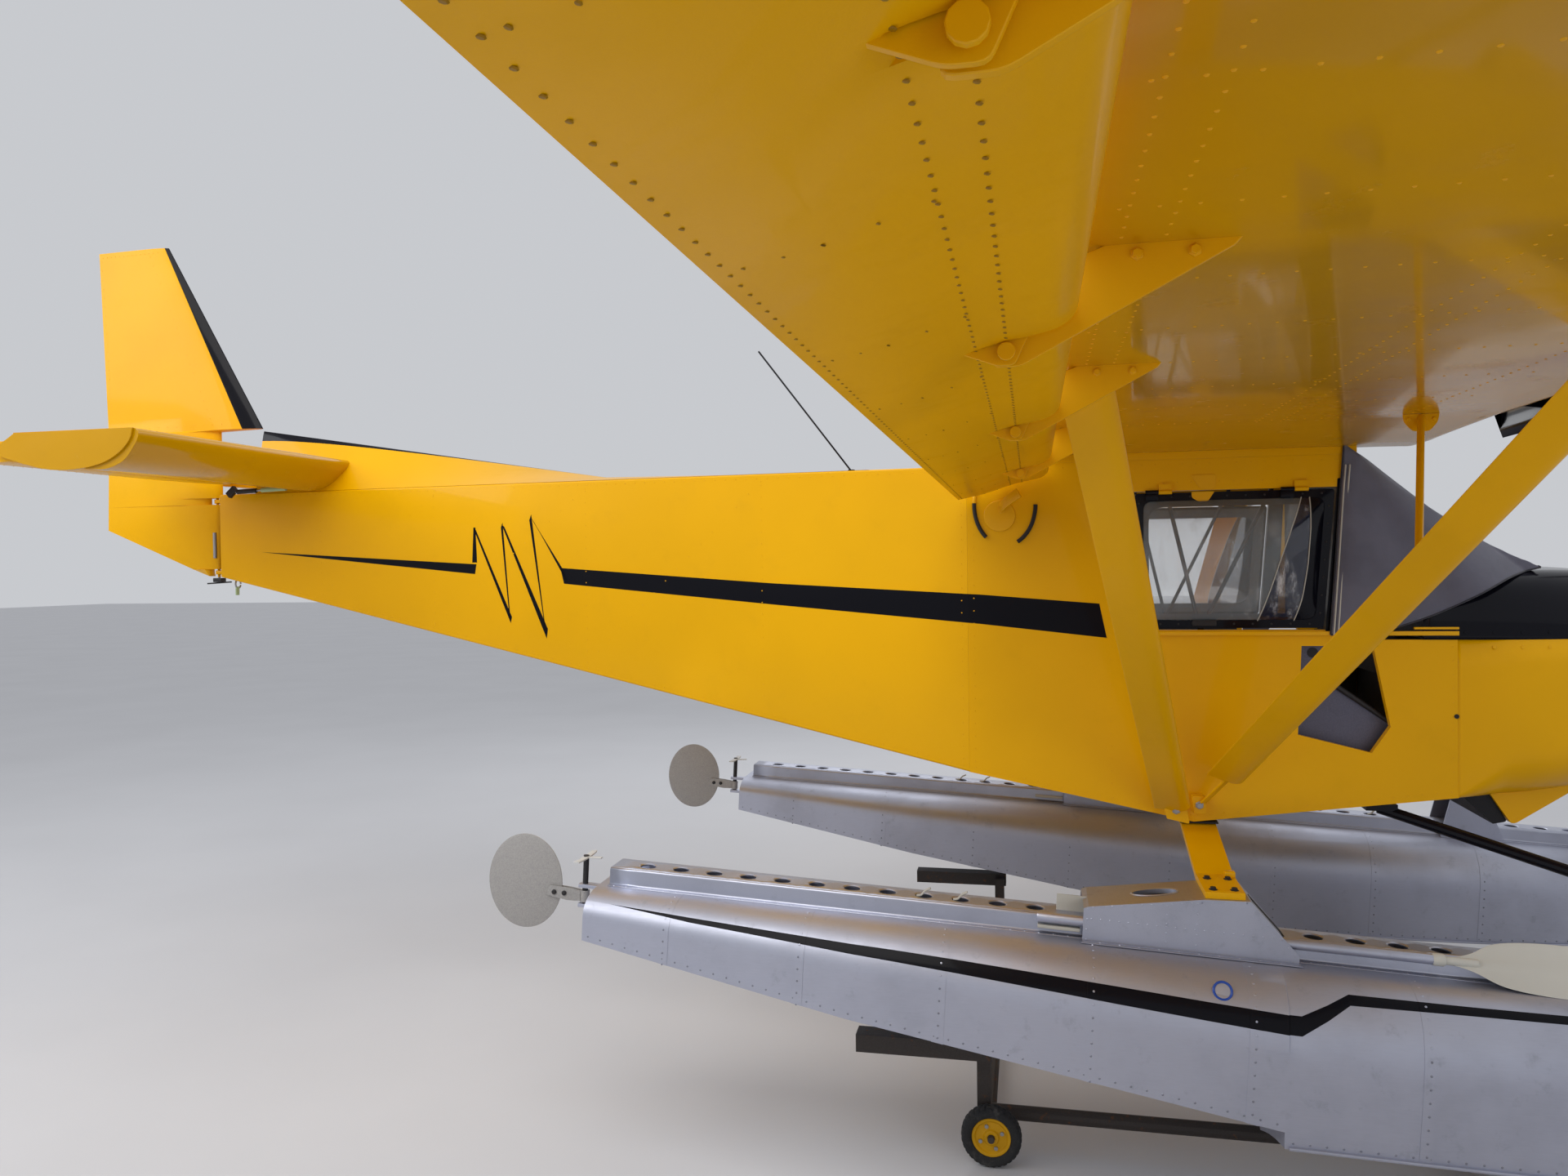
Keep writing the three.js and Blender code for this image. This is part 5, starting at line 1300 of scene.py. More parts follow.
def hull_stations():
    """Stations of the hull, smoothed before and behind the step and not across it."""
    aft = spline(FLOAT_AFT[:2], 8)[:-1], spline(FLOAT_AFT[1:], 14)
    return np.concatenate([*aft, spline(FLOAT_FORE, 7)])


def hull_section(u):
    """Half of the hull's section at places u: the bottom rises with a slight hollow from keel to chine,
    the side stands to the shoulder, and a superellipse closes over to the flat deck."""
    b, keel, chine, deck = table(hull_stations(), u[:, None], 1, 2, 3, 4)
    low, high = table(FLOAT_BAND, u[:, None], 1, 2)
    shoulder = (chine + deck) / 2
    t = np.linspace(0, 1, 6)[None, :-1]
    bottom = b * t, lerp(keel, chine, t) + 0.008 * np.sin(math.pi * t)
    t = np.linspace(0, 1, 4)[None]
    wall = b + 0 * t, lerp(chine, shoulder, t)
    s = np.concatenate([low * np.linspace(0, 1, 5)[1:], lerp(low, high, np.array([0.5, 1.0])),
                        lerp(high, 1.0, np.sin(np.arange(1, 7) / 6 * math.pi / 2))], 1)
    arc = b * (0.36 + 0.64 * np.maximum(1 - s**HULL_POWER, 0) ** (1 / HULL_POWER)), lerp(shoulder, deck, s)
    return [np.concatenate(parts, 1) for parts in zip(bottom, wall, arc, (0 * b, deck))]


# Columns of half a section: the chine and the painted band. Width and height of the hull's rivet heads.
CHINE_COLUMN = 5
BAND_COLUMNS = (12, 13)
HULL_HEADS = (1, 0.45)


def hull_grid(u, side, swell=0.0):
    """Rows along the hull and columns round it: keel, outer side, deck, inner side."""
    v, w = hull_section(u)
    w = w * (1 + swell) + swell * 0.2
    v = v * (1 + swell * 1.2)
    both = np.concatenate([side * v, -side * v[:, -2:0:-1]], 1)
    return on_float(u[:, None], side * FLOAT_Y + both, np.concatenate([w, w[:, -2:0:-1]], 1))


def make_float(name, side, sizes):
    """The hull with its band, the straps over its seams, rails along the chines, rivets and a plug."""
    middle = side * FLOAT_Y
    u = np.unique(np.concatenate([hull_stations()[:, 0], [r[0] for r in FLOAT_BAND]]))
    grid = hull_grid(u, side)
    form = Form().tube(grid)
    row, column = face_places(len(u) - 1, grid.shape[1])
    banded = np.isin(column, BAND_COLUMNS) & (u[row] >= -1.031) & (u[row] < 3.1)
    form.finishes[0] = np.where(banded, 1, 0)
    for w in (-0.144, -0.082):
        form.bar(on_float([-1.2, -1.106], middle, w), 0.016, 0.006)
    piece(f"float_hull_{name}", form, ["float_sheet", "black_stripe"],
          replaces=[f"float_{name}"])

    straps, rivets = Form(), Form()
    for seam in HULL_SEAMS:
        ends = np.array([seam - 0.016, seam + 0.016])
        inner, outer = hull_grid(ends, side), hull_grid(ends, side, 0.0035)
        straps.loop(np.stack([inner[0], outer[0], outer[1], inner[1]]))
        column = face_places(4, grid.shape[1])[1]
        straps.finishes[-1] = np.where(np.isin(column, BAND_COLUMNS), 1, 0)
    chine_u = np.linspace(STEP_U + 0.01, 2.95, 30)
    v, w = hull_section(chine_u)
    for way in BOTH:
        rail = on_float(chine_u, middle + way * (v[:, CHINE_COLUMN] + 0.001), w[:, CHINE_COLUMN] + 0.004)
        straps.bar(rail, 0.009, 0.004)
    piece(f"float_straps_{name}", straps, ["float_sheet", "black_stripe"])

    for seam in HULL_SEAMS:
        v, w = (part[0] for part in hull_section(np.array([seam])))
        v, w = v * 1.0045, w * 1.0035 + 0.0007
        length = np.concatenate([[0], np.cumsum(np.hypot(np.diff(v), np.diff(w)))])
        spots = np.arange(0.02, length[-1] - 0.1, sizes.pitch * 0.85)
        vv, ww = np.interp(spots, length, v), np.interp(spots, length, w)
        dv, dw = np.interp(spots + 0.004, length, v) - vv, np.interp(spots + 0.004, length, w) - ww
        for way in BOTH:
            places = on_float(seam, middle + way * vv, ww)
            normals = np.stack([0 * dw, way * dw, -dv], -1)
            painted = (ww > w[11]) & (ww < w[14]) & (way == 1)
            # rivets low on the side take the darkened metal, painted shade of their dimples
            low = ww < w[10]
            for finish, chosen in enumerate((~painted & ~low, painted, low)):
                if chosen.any():
                    rivets.heads(places[chosen], normals[chosen], sizes, *HULL_HEADS, finish)
    # the rivets over the chine take the darkened metal too, painted shade
    run = np.arange(-1.09, 3.0, sizes.pitch)
    v, w = hull_section(run)
    for way in BOTH:
        places = on_float(run, middle + way * v[:, CHINE_COLUMN], w[:, CHINE_COLUMN] + 0.016)
        rivets.heads(places, (0, way, 0), sizes, *HULL_HEADS, 2)
    piece(f"float_rivets_{name}", rivets, ["bright_rivet", "black_stripe", "bare_rivet_shaded"],
          loose=True)

    hole, lean = on_float(0.69, side * (FLOAT_Y + 0.2405), -0.097), (0, side * 0.86, 0.5)
    rim = [[0.0195, -0.004], [0.0255, -0.004], [0.0255, 0.003], [0.0235, 0.0045], [0.0195, 0.003],
           [0.0195, -0.004]]
    piece(f"float_plug_{name}", Form().turn(rim, hole, lean, 28), ["blue_plug"])
    cap = [[0, -0.004], [0.0193, -0.004], [0.0193, 0.0012], [0, 0.002]]
    piece(f"float_plug_cap_{name}", Form().turn(cap, hole, lean, 28), ["float_sheet"])


HOLE_PITCH = 0.1075
FIRST_HOLE = -0.976
CHANNEL_ENDS = (-1.08, 2.44)
CHANNEL_HALF = 0.059
PYLON_REACH = (0.27, 0.9)


def make_channel(name, side, sizes):
    """Upturned channel: square cells, each with a round hole whose edge is dished inwards, a plain strip
    where there is no hole, and side webs that turn out into a riveted lip."""
    form = Form()
    flat = CHANNEL_HALF - 0.007
    line = np.linspace(-1, 1, 7)[:-1]
    square = np.concatenate([np.stack(p, -1) for p in (
        (line, 0 * line - 1), (0 * line + 1, line), (-line, 0 * line + 1), (0 * line - 1, -line))])
    angle = np.arctan2(square[:, 1], square[:, 0])
    circle = np.stack([np.cos(angle), np.sin(angle)], -1)
    holes = FIRST_HOLE + HOLE_PITCH * np.arange(32)
    holes = holes[(holes < PYLON_REACH[0]) | (holes > PYLON_REACH[1])]
    y = side * FLOAT_Y
    for hole in holes:
        rows = [(circle * (sizes.hole + wider), w) for wider,
                w in ((0, -0.0065), (0.0006, -0.0025), (0.0045, 0))]
        rows.append((square * [HOLE_PITCH / 2, flat], 0.0))
        form.sheet(np.stack([on_float(hole + p[:, 0], y + p[:, 1], w) for p, w in rows]), around=True)
    edges = [CHANNEL_ENDS[0], holes[0] - HOLE_PITCH / 2]
    below = holes[holes < PYLON_REACH[0]][-1] + HOLE_PITCH / 2
    above = holes[holes > PYLON_REACH[1]][0] - HOLE_PITCH / 2
    for u0, u1 in (edges, (below, above), (holes[-1] + HOLE_PITCH / 2, CHANNEL_ENDS[1])):
        span = np.linspace(-flat, flat, 7)[None]
        form.sheet(on_float(np.array([[u0], [u1]]), y + span, 0.0))
    angle = np.linspace(0, math.pi / 2, 5)
    bend = np.stack([flat + 0.007 * np.sin(angle), -0.007 + 0.007 * np.cos(angle)], -1)
    foot = np.stack([CHANNEL_HALF + 0.006 * (1 - np.cos(angle)), -0.045 - 0.006 * np.sin(angle)], -1)
    web = np.concatenate([bend, foot, [[CHANNEL_HALF + 0.021, -0.051]]])
    u = np.linspace(*CHANNEL_ENDS, 34)[:, None]
    for way in BOTH:
        form.sheet(on_float(u, y + way * web[:, 0], web[:, 1]))
    made = piece(f"deck_channel_{name}", form, ["bare_sheet"], facing=(0, 0, 1),
                 replaces=[f"deck_channel_{name}"])
    give_wall(made, 0.0012)
    rivets = Form()
    run = np.arange(CHANNEL_ENDS[0] + 0.02, CHANNEL_ENDS[1], sizes.pitch)
    for way in BOTH:
        places = on_float(run, y + way * (CHANNEL_HALF + 0.014), -0.0508)
        rivets.heads(places, (0, 0, 1), sizes, high=0.4)
    piece(f"channel_rivets_{name}", rivets, ["bright_rivet"], loose=True)
    clips = Form()
    for u in (-0.116, -0.0085, 1.61, 1.72):
        hook = bent([(u - 0.02, 0.0008), (u - 0.006, 0.003), (u + 0.004, 0.018), (u + 0.02, 0.026)], 0.006,
                    4)
        clips.bar(on_float(hook[:, 0], y - 0.012, hook[:, 1]), 0.006, 0.0024, 0.001)
    clips.bar(on_float(0.3325, y, [-0.044, 0.046]), 0.002, 0.066, 0.001, up=(1, 0, 0))
    clips.bar(on_float([0.215, 0.332], y - 0.071, -0.03), 0.01, 0.005)
    piece(f"channel_clips_{name}", clips, ["pale_rim"], bevel=0.0004)


PYLON = ((0.338, -0.05), (0.338, 0.04), (0.352, 0.046), (0.655, 0.098), (0.775, 0.105), (0.905, -0.03),
         (0.905, -0.05))
PYLON_HALF = 0.098
FRONT_PYLON = ((1.85, -0.05), (1.885, 0.125), (2.005, 0.132), (2.09, -0.05))


def plate_rivets(form, outline, y, way, sizes, inset=0.011):
    """Heads along the inside of an outline on a float's side face."""
    outline = np.asarray(outline, float)
    middle = outline.mean(0)
    for a, b in zip(outline[:-1], outline[1:]):
        if np.hypot(*(b - a)) > 0.05:
            a, b = (p + (middle - p) / np.hypot(*(middle - p)) * inset for p in (a, b))
            rivet_line(form, on_float(a[0], y, a[1]), on_float(b[0], y, b[1]), (0, way, 0), sizes,
                       sizes.pitch * 0.62)


def make_pylons(name, side, sizes):
    """Rivets and foot flanges of both pylons, and of the main one the oval hole's lip and the dark slot, a
    thin black strip that paints the slot's shade.
    """
    rivets, lip, dark, foot = Form(), Form(), Form(), Form()
    middle = side * FLOAT_Y
    for outline, half in ((PYLON, PYLON_HALF), (FRONT_PYLON, 0.084)):
        for way in BOTH:
            y = middle + way * half
            plate_rivets(rivets, outline, y, way, sizes)
            ends = outline[0][0] - 0.004, outline[-1][0] + 0.004
            flange = on_float(np.linspace(*ends, 12), y + way * 0.011, -0.0505)
            foot.bar(flange, 0.012, 0.0012, 0.0006)
            rivets.heads(flange[1:-1] + [0, 0, 0.0012], (0, 0, 1), sizes, high=0.4)
    for way in BOTH:
        y = middle + way * PYLON_HALF
        for u0, w0, u1, w1 in ((0.56, -0.03, 0.56, 0.07), (0.64, -0.03, 0.64, 0.085),
                               (0.36, 0.012, 0.86, 0.012)):
            rivet_line(rivets, on_float(u0, y, w0), on_float(u1, y, w1), (0, way, 0), sizes,
                       sizes.pitch * 0.62)
    rows = []
    for a, b, w in ((0.066, 0.036, 0.0), (0.0625, 0.0325, 0.0028), (0.0595, 0.0295, 0.0015),
                    (0.059, 0.029, -0.012), (0.06, 0.03, -0.012), (0.061, 0.031, -0.002)):
        u, v = oval((0.535, middle), a, b).T
        rows.append(on_float(u, v, np.interp(u, *np.array(PYLON[2:4]).T) + w + 0.0006))
    lip.loop(np.stack(rows))
    # a thin black strip along the pylon's sloping front: painted shade of the slot
    path = on_float(np.linspace(0.789, 0.884, 8), middle, np.linspace(0.0912, -0.007, 8))
    dark.bar(path, 0.03, 0.0012, 0.001, up=(0.7, 0, 0.7))
    piece(f"pylon_rivets_{name}", rivets, ["bright_rivet"], loose=True)
    piece(f"pylon_lip_{name}", lip, ["bright_rivet"])
    piece(f"pylon_feet_{name}", foot, ["bare_sheet"])
    piece(f"pylon_slot_shade_{name}", dark, ["black_rubber"])


def make_gear_fittings():
    """Bolts, clamp blocks and rubber pads of the gear spring."""
    bolts, blocks, pads = Form(), Form(), Form()
    seat = DECK_Z - 0.775 * math.sin(FLOAT_TILT) + 0.105 * math.cos(FLOAT_TILT) + 0.0183
    profile = [*bolt_profile(0.012, 0.002, 0.008, 0.0022, 0.008)[:-1], [0, 0.0085]]
    for side in BOTH:
        for x, y in ((0.688, 0.872), (0.688, 0.985), (0.744, 0.872), (0.744, 0.985)):
            bolts.turn(profile, at(x, side * y, seat), (0, 0, 1), 6)
        blocks.bar(at([0.74, 0.768], side * 0.842, seat + 0.008), 0.014, 0.008)
        pads.bar(at([0.66, 0.774], side * 0.4895, -0.5985), 0.026, 0.0028, 0.001)
    piece("gear_bolts", bolts, ["dark_tube"], bevel=0.0005)
    piece("gear_blocks", blocks, ["yellow_trim"], bevel=0.001)
    piece("gear_pads", pads, ["black_rubber"])


POST_U = -1.183


def make_water_rudder(name, side):
    """Oval blade with a soft edge between two cheeks, the post, and the tiller bar over it."""
    y, body = side * FLOAT_Y, f"water_rudder_{name}"
    rows = []
    for shrink, thick in ((0.004, -0.003), (0.0005, -0.0018), (0.0, 0.0), (0.0005, 0.0018), (0.004, 0.003)):
        u, w = oval((-1.387, -0.088), 0.126 - shrink, 0.151 - shrink, 56).T
        rows.append(on_float(u, y + thick, w))
    blade = Form().tube(np.stack(rows))
    piece(f"rudder_blade_{name}", blade, ["rudder_grey"], body, [f"water_rudder_{name}"])
    fork = Form()
    cheek = bent([(POST_U - 0.004, -0.1), (-1.236, -0.094), (-1.302, -0.092), (-1.312, -0.124),
                  (-1.24, -0.134), (POST_U - 0.004, -0.132)], 0.008, 4)
    post = Form().rod(on_float(POST_U, y, [-0.15, 0.014]), 0.009, 14, up=(1, 0, 0))
    profile = [[0, 0], [0.008, 0], [0.008, 0.003], [0.004, 0.005], [0, 0.005]]
    for way in BOTH:
        fork.slab(on_float(cheek[:, 0], y + way * 0.0062, cheek[:, 1]), [0, way * 0.0028, 0])
        for u in (-1.284, -1.25):
            post.turn(profile, on_float(u, y + way * 0.009, -0.112), (0, way, 0), 10)
    fork.rod(on_float(POST_U, y, [-0.134, -0.098]), 0.0145, 16, up=(1, 0, 0))
    fork.bar(on_float([-1.196, -1.192], y, -0.116), 0.009, 0.016, 0.001)
    piece(f"rudder_fork_{name}", fork, ["rudder_grey"], body, bevel=0.0006)
    piece(f"rudder_post_{name}", post, ["dark_tube"], body)
    tiller = Form()
    arm = spline([[-0.074, 0.0], [-0.045, 0.004], [0, 0.005], [0.045, 0.004], [0.074, 0.0]], 5)
    tiller.bar(on_float(POST_U + arm[:, 1] - 0.004, y + arm[:, 0], 0.008), 0.01, 0.0028, 0.0012)
    tiller.bar(on_float([POST_U - 0.01, POST_U + 0.052], y, [0.006, 0.01]), 0.008, 0.002, 0.001)
    piece(f"rudder_tiller_{name}", tiller, ["white_part"], body, bevel=0.0004)


# The paddle's blade: shares of its length, and its half width there
PADDLE = ((0, 0.013), (0.04, 0.018), (0.1, 0.03), (0.22, 0.062), (0.42, 0.076), (0.68, 0.076),
          (0.84, 0.066), (0.94, 0.048), (0.985, 0.026), (1.0, 0.004))


def make_paddle():
    """Tube with end caps, collar, and a blade whose thickness falls off from a middle rib."""
    y, w = -FLOAT_Y - CHANNEL_HALF - 0.0143, -0.005
    tube = Form().rod(on_float([0.212, 0.216, 0.7, 1.24], y, w), [0.013, 0.014, 0.014, 0.014], 20)
    piece("paddle_tube", tube, ["bright_rivet"], replaces=["paddle"])
    collar = Form()
    collar.rod(on_float([1.236, 1.24, 1.262, 1.266], y, w), [0.0145, 0.0165, 0.0165, 0.0145], 18)
    collar.rod(on_float([1.266, 1.345], y, w), 0.0115, 14)
    fine = spline(PADDLE, 5)
    u, wide = 1.29 + np.clip(fine[:, :1], 0, 1) * 0.488, fine[:, 1:]
    across, up = oval((0, 0), 1, 1, 32).T
    rib = 0.0045 * (1 - np.abs(across)) ** 3 + 0.0022
    offset = np.abs(up) ** 0.7 * np.sign(up) * rib * np.minimum(1, wide / 0.03)
    dish = 0.006 * across**2 * (wide / 0.076)
    c, s = math.cos(math.radians(42)), math.sin(math.radians(42))
    v, h = wide * across, offset + dish - 0.003
    collar.tube(on_float(u, y + v * c - h * s, w + 0.001 + v * s + h * c))
    piece("paddle_blade", collar, ["paddle_cream"])


DOLLY_WHEELS = (("rear", 0.075, 0.93), ("front", 1.76, 0.7))
AXLE_Z = -1.452
WHEEL_R = 0.088


# One side of the tyre and of the hub's dish, from the inside out: radius, place along the axle
TYRE = ((0.056, -0.013), (0.062, -0.0235), (0.074, -0.0258), (0.0835, -0.0215), (0.0875, -0.012))
DISH = ((0.0106, -0.019), (0.02, -0.019), (0.024, -0.012), (0.044, -0.01), (0.049, -0.016),
        (0.0565, -0.0165), (0.0568, -0.01))


def mirrored(side, *middle):
    """One side of a profile, its middle, and the other side."""
    return [*side, *middle, *((radius, -place) for radius, place in reversed(side))]


def make_wheel(end, name, x, y, side, sizes):
    """Tyre: a closed section turned round the axle, whose tread radius drops in grooves that repeat round
    it. The hub is a dish with a lip and bolts."""
    body = f"dolly_wheel_{end}_{name}"
    centre = at(x, side * y, AXLE_Z)
    profile = spline([*mirrored(TYRE, (WHEEL_R, 0.0)), (0.053, 0.0)], 4, closed=True)
    per = 6
    count = sizes.threads * per
    grid = turned(profile, (0, 0, 0), (0, side, 0), count)
    step = np.arange(count)[None]
    tread = (profile[:, 0] > 0.082)[:, None]
    zig = np.where(profile[:, 1:] > 0, step % per < 2, (step + per // 2) % per < 2)
    groove = np.abs(profile[:, 1:]) < 0.0024
    drop = np.where(tread & (zig | groove), 0.0024, 0.0)
    radius = np.linalg.norm(grid[..., [0, 2]], axis=-1)
    scale = 1 - drop / radius
    grid = grid * np.stack([scale, 1 + 0 * scale, scale], -1) + centre
    piece(f"dolly_tyre_{end}_{name}", Form().loop(grid), ["tyre_rubber"], body, [body],
          crease=40)
    hub = Form().loop(turned([*mirrored(DISH), (0.0106, 0.0)], centre, (0, side, 0), 40))
    piece(f"dolly_hub_{end}_{name}", hub, ["wheel_yellow"], body, bevel=0.0008)
    nuts = Form()
    for k in range(4):
        a = k * math.pi / 2 + 0.4
        spot = centre + np.array([0.034 * math.cos(a), 0, 0.034 * math.sin(a)])
        for way in BOTH:
            nuts.turn([[0, 0], [0.0062, 0], [0.0062, 0.005], [0, 0.0055]], spot + [0, way * 0.0105, 0],
                      (0, way, 0), 6)
    piece(f"dolly_nuts_{end}_{name}", nuts, ["steel_fitting"], body)


class FLOATPLANE_OT_floats(bpy.types.Operator):
    """Makes the float hulls with their deck channels, pylons' fittings, water rudders and the paddle"""

    bl_idname = "floatplane.floats"
    bl_label = "Floats"

    def execute(self, context):
        sizes = context.scene.floatplane_sizes
        for name, side in SIDES.items():
            make_float(name, side, sizes)
            make_channel(name, side, sizes)
            make_pylons(name, side, sizes)
            make_water_rudder(name, side)
        make_gear_fittings()
        make_paddle()
        return {"FINISHED"}


class FLOATPLANE_OT_dolly(bpy.types.Operator):
    """Makes the dolly's wheels"""

    bl_idname = "floatplane.dolly"
    bl_label = "Float dolly"

    def execute(self, context):
        sizes = context.scene.floatplane_sizes
        for name, side in SIDES.items():
            for end, x, y in DOLLY_WHEELS:
                make_wheel(end, name, x, y, side, sizes)
        return {"FINISHED"}


# Nose

COWL_REAR, COWL_SPLIT = 1.362, -0.018
COWL = (
    # x, half width, bottom, top, corner
    (1.362, 0.524, -0.5, 0.15, 0.1), (1.64, 0.52, -0.5, 0.186, 0.145), (1.9, 0.45, -0.47, 0.184, 0.165),
    (2.04, 0.35, -0.4, 0.15, 0.155), (2.078, 0.3, -0.356, 0.128, 0.14), (2.09, 0.268, -0.328, 0.108, 0.128),
    (2.094, 0.252, -0.312, 0.092, 0.12),
)
PROP_X, PROP_Z = 2.19, 0.03
INLET = {"y": 0.175, "z": 0.044, "r": 0.053}
SHAFT_R = 0.062
OUTLET = {"x": 1.59, "half": 0.418, "z": -0.47}
# Where the lower cowl starts and where its easing ends, and its half width, bottom and corner there
LOWER_START = (1.458, 1.59)
LOWER_SECTION = np.array([HALF_W + 0.0006, -0.4978, 0.01])
STUD = ((0, 0), (0.0055, 0), (0.005, 0.0014), (0.0025, 0.0018), (0, 0.001))


def cowl_rows():
    """Stations of the cowl on a smooth line."""
    return spline(COWL, 8)


def cowl_section(rows, way):
    """Half rings from starboard to port: up the side from the split line, round the corner and over the
    top with a slight crown. The lower half is the same below."""
    x, half, low, high, r = (rows[:, k:k + 1] for k in range(5))
    edge = high if way > 0 else low
    wall = lerp(COWL_SPLIT + way * 0.00015, edge - way * r, np.linspace(0, 1, 6)[None, :-1])
    angle = np.linspace(0, math.pi / 2, 9)[None]
    flat = np.linspace(1, 0, 8)[None, 1:]
    top = (half - r) * flat
    y = np.concatenate([half + 0 * wall, half - r + r * np.cos(angle), top], 1)
    z = np.concatenate([wall, edge - way * r * (1 - np.sin(angle)),
                        edge + way * 0.01 * (1 - flat**2) + 0 * top], 1)
    y, z = np.concatenate([-y, y[:, -2::-1]], 1), np.concatenate([z, z[:, -2::-1]], 1)
    return x + 0 * y, y, z


def make_cowl(name, way):
    """Half of the cowl: its rings, the flat wall at the nose round the shaft and the inlets, and a wall's
    thickness. The lower half eases from the cabin's side and leaves the outlet open."""
    upper, rows = way > 0, cowl_rows()
    if not upper:
        start = np.stack(table(rows, LOWER_START, 0, 1, 2, 3, 4), -1)
        rows = np.concatenate([start, rows[rows[:, 0] > FIREWALL_X + 0.001]])
        rows = rows[np.argsort(rows[:, 0])]
        ease = np.interp(rows[:, :1], (LOWER_START[0], LOWER_START[1] + 0.01), (0, 1))
        rows[:, [1, 2, 4]] = lerp(LOWER_SECTION, rows[:, [1, 2, 4]], ease)
    x, y, z = cowl_section(rows, way)
    form = Form().sheet(at(x, y, z))
    if not upper:
        mx, my, mz = np.stack([x, y, z], -1).reshape(-1, 3)[form.faces[0]].mean(1).T
        kept = (mx >= OUTLET["x"]) | (np.abs(my) >= OUTLET["half"]) | (mz >= OUTLET["z"])
        form.faces, form.finishes = [form.faces[0][kept]], [form.finishes[0][kept]]
    reach = math.asin((COWL_SPLIT - PROP_Z) / SHAFT_R)
    first, count = (reach, 20) if upper else (2 * math.pi + reach, 10)
    notch = oval((0, PROP_Z), SHAFT_R, SHAFT_R, count, first, math.pi - reach, False)
    loops = [np.concatenate([np.stack([y[-1], z[-1]], -1), notch])]
    if upper:
        loops += [ring(INLET["r"], 28) + [side * INLET["y"], INLET["z"]] for side in BOTH]
    points = np.concatenate(loops)
    form.put(at(COWL[-1][0], points[:, 0], points[:, 1]), filled(*loops))
    colour = "black" if upper else "yellow"
    made = piece(f"cowl_skin_{name}", form, [f"{colour}_gloss"],
                 replaces=[f"cowl_{name}"], facing=(0, 0, way))
    give_wall(made, 0.003)


def make_cowl_fittings():
    """Rims of the inlets, the outlet's scoop with the dark parts in it, which paint the shade inside the
    outlet, and the studs along the cowls.
    """
    lips = Form()
    angle = np.linspace(0, 2 * math.pi, 12, endpoint=False)
    section = np.stack([INLET["r"] + 0.001 - 0.006 * np.cos(angle), 0.006 * np.sin(angle)], -1)
    for side in BOTH:
        lips.loop(turned(section, at(COWL[-1][0] + 0.001, side * INLET["y"], INLET["z"]), (1, 0, 0)))
    piece("inlet_lips", lips, ["black_gloss"])
    outline = bent([(1.574, -0.4905), (1.638, -0.59), (1.65, -0.59), (1.93, -0.46)], 0.006, 4)
    x, z = np.concatenate([outline, [[1.8, -0.475]]]).T
    y = np.linspace(-OUTLET["half"], OUTLET["half"], 14)[:, None] * np.interp(x, (1.66, 1.93), (1.0, 0.7))
    piece("cowl_scoop", Form().tube(at(x, y, z)), ["yellow_gloss"], bevel=0.0015)
    # dark shelf, flap and wall inside the outlet: painted shade of the opening
    shelf = at([1.464, 1.586, 1.586, 1.464], [-0.4, -0.4, 0.4, 0.4], -0.44)
    flap = bent([(1.464, -0.47), (1.564, -0.47), (1.633, -0.588), (1.593, -0.596)], 0.01, 4)
    wall = at(1.4375, [-0.488, 0.488, 0.488, -0.488], [-0.455, -0.455, -0.03, -0.03])
    dark = Form().slab(shelf, [0, 0, 0.004]).tube(at(flap[:, 0], [[-0.405], [0.405]], flap[:, 1]))
    dark.slab(wall, [0.001, 0, 0])
    piece("outlet_shade", dark, ["black_rubber"], bevel=0.001)

    studs, rows = Form(), cowl_rows()
    for side in BOTH:
        for x in np.linspace(1.4, 2.02, 9):
            half, further = table(rows, [x, x + 0.01], 1)[0]
            normal = (-(further - half) * 100, side, 0)
            for z in (0.004, -0.04):
                if z > COWL_SPLIT or x > 1.48:
                    studs.turn(STUD, at(x, side * half, z), normal, 12, finish=int(z < COWL_SPLIT))
    for y in np.linspace(-0.4, 0.4, 9):
        z = table(rows, 1.385, 3)[0] + 0.01 * (1 - (y / 0.43) ** 2)
        studs.turn(STUD, at(1.385, y, z), (0, 0, 1), 12)
    piece("cowl_studs", studs, ["black_gloss", "yellow_trim"])


BLADE = (
    # radius, half chord, half thickness, pitch in degrees
    (0.04, 0.03, 0.022, 44), (0.11, 0.04, 0.02, 40), (0.18, 0.06, 0.014, 34), (0.3, 0.069, 0.0115, 28),
    (0.43, 0.068, 0.01, 22), (0.7, 0.054, 0.007, 15), (0.82, 0.04, 0.0055, 12), (0.868, 0.029, 0.004, 11),
    (0.885, 0.016, 0.0028, 11), (0.89, 0.004, 0.001, 11),
)
AIRFOIL = ((1, 0), (0.82, 0.5), (0.4, 0.93), (-0.1, 1.0), (-0.6, 0.55), (-1, 0.04), (-0.6, -0.18),
           (-0.1, -0.45), (0.4, -0.5), (0.82, -0.32))
SPINNER = ((0.0, 0.16), (0.01, 0.1585), (0.03, 0.149), (0.062, 0.116), (0.09, 0.066), (0.106, 0.018),
           (0.112, -0.03), (0.112, -0.05), (0.108, -0.052), (0.05, -0.052), (0.05, -0.07), (0.0, -0.07))


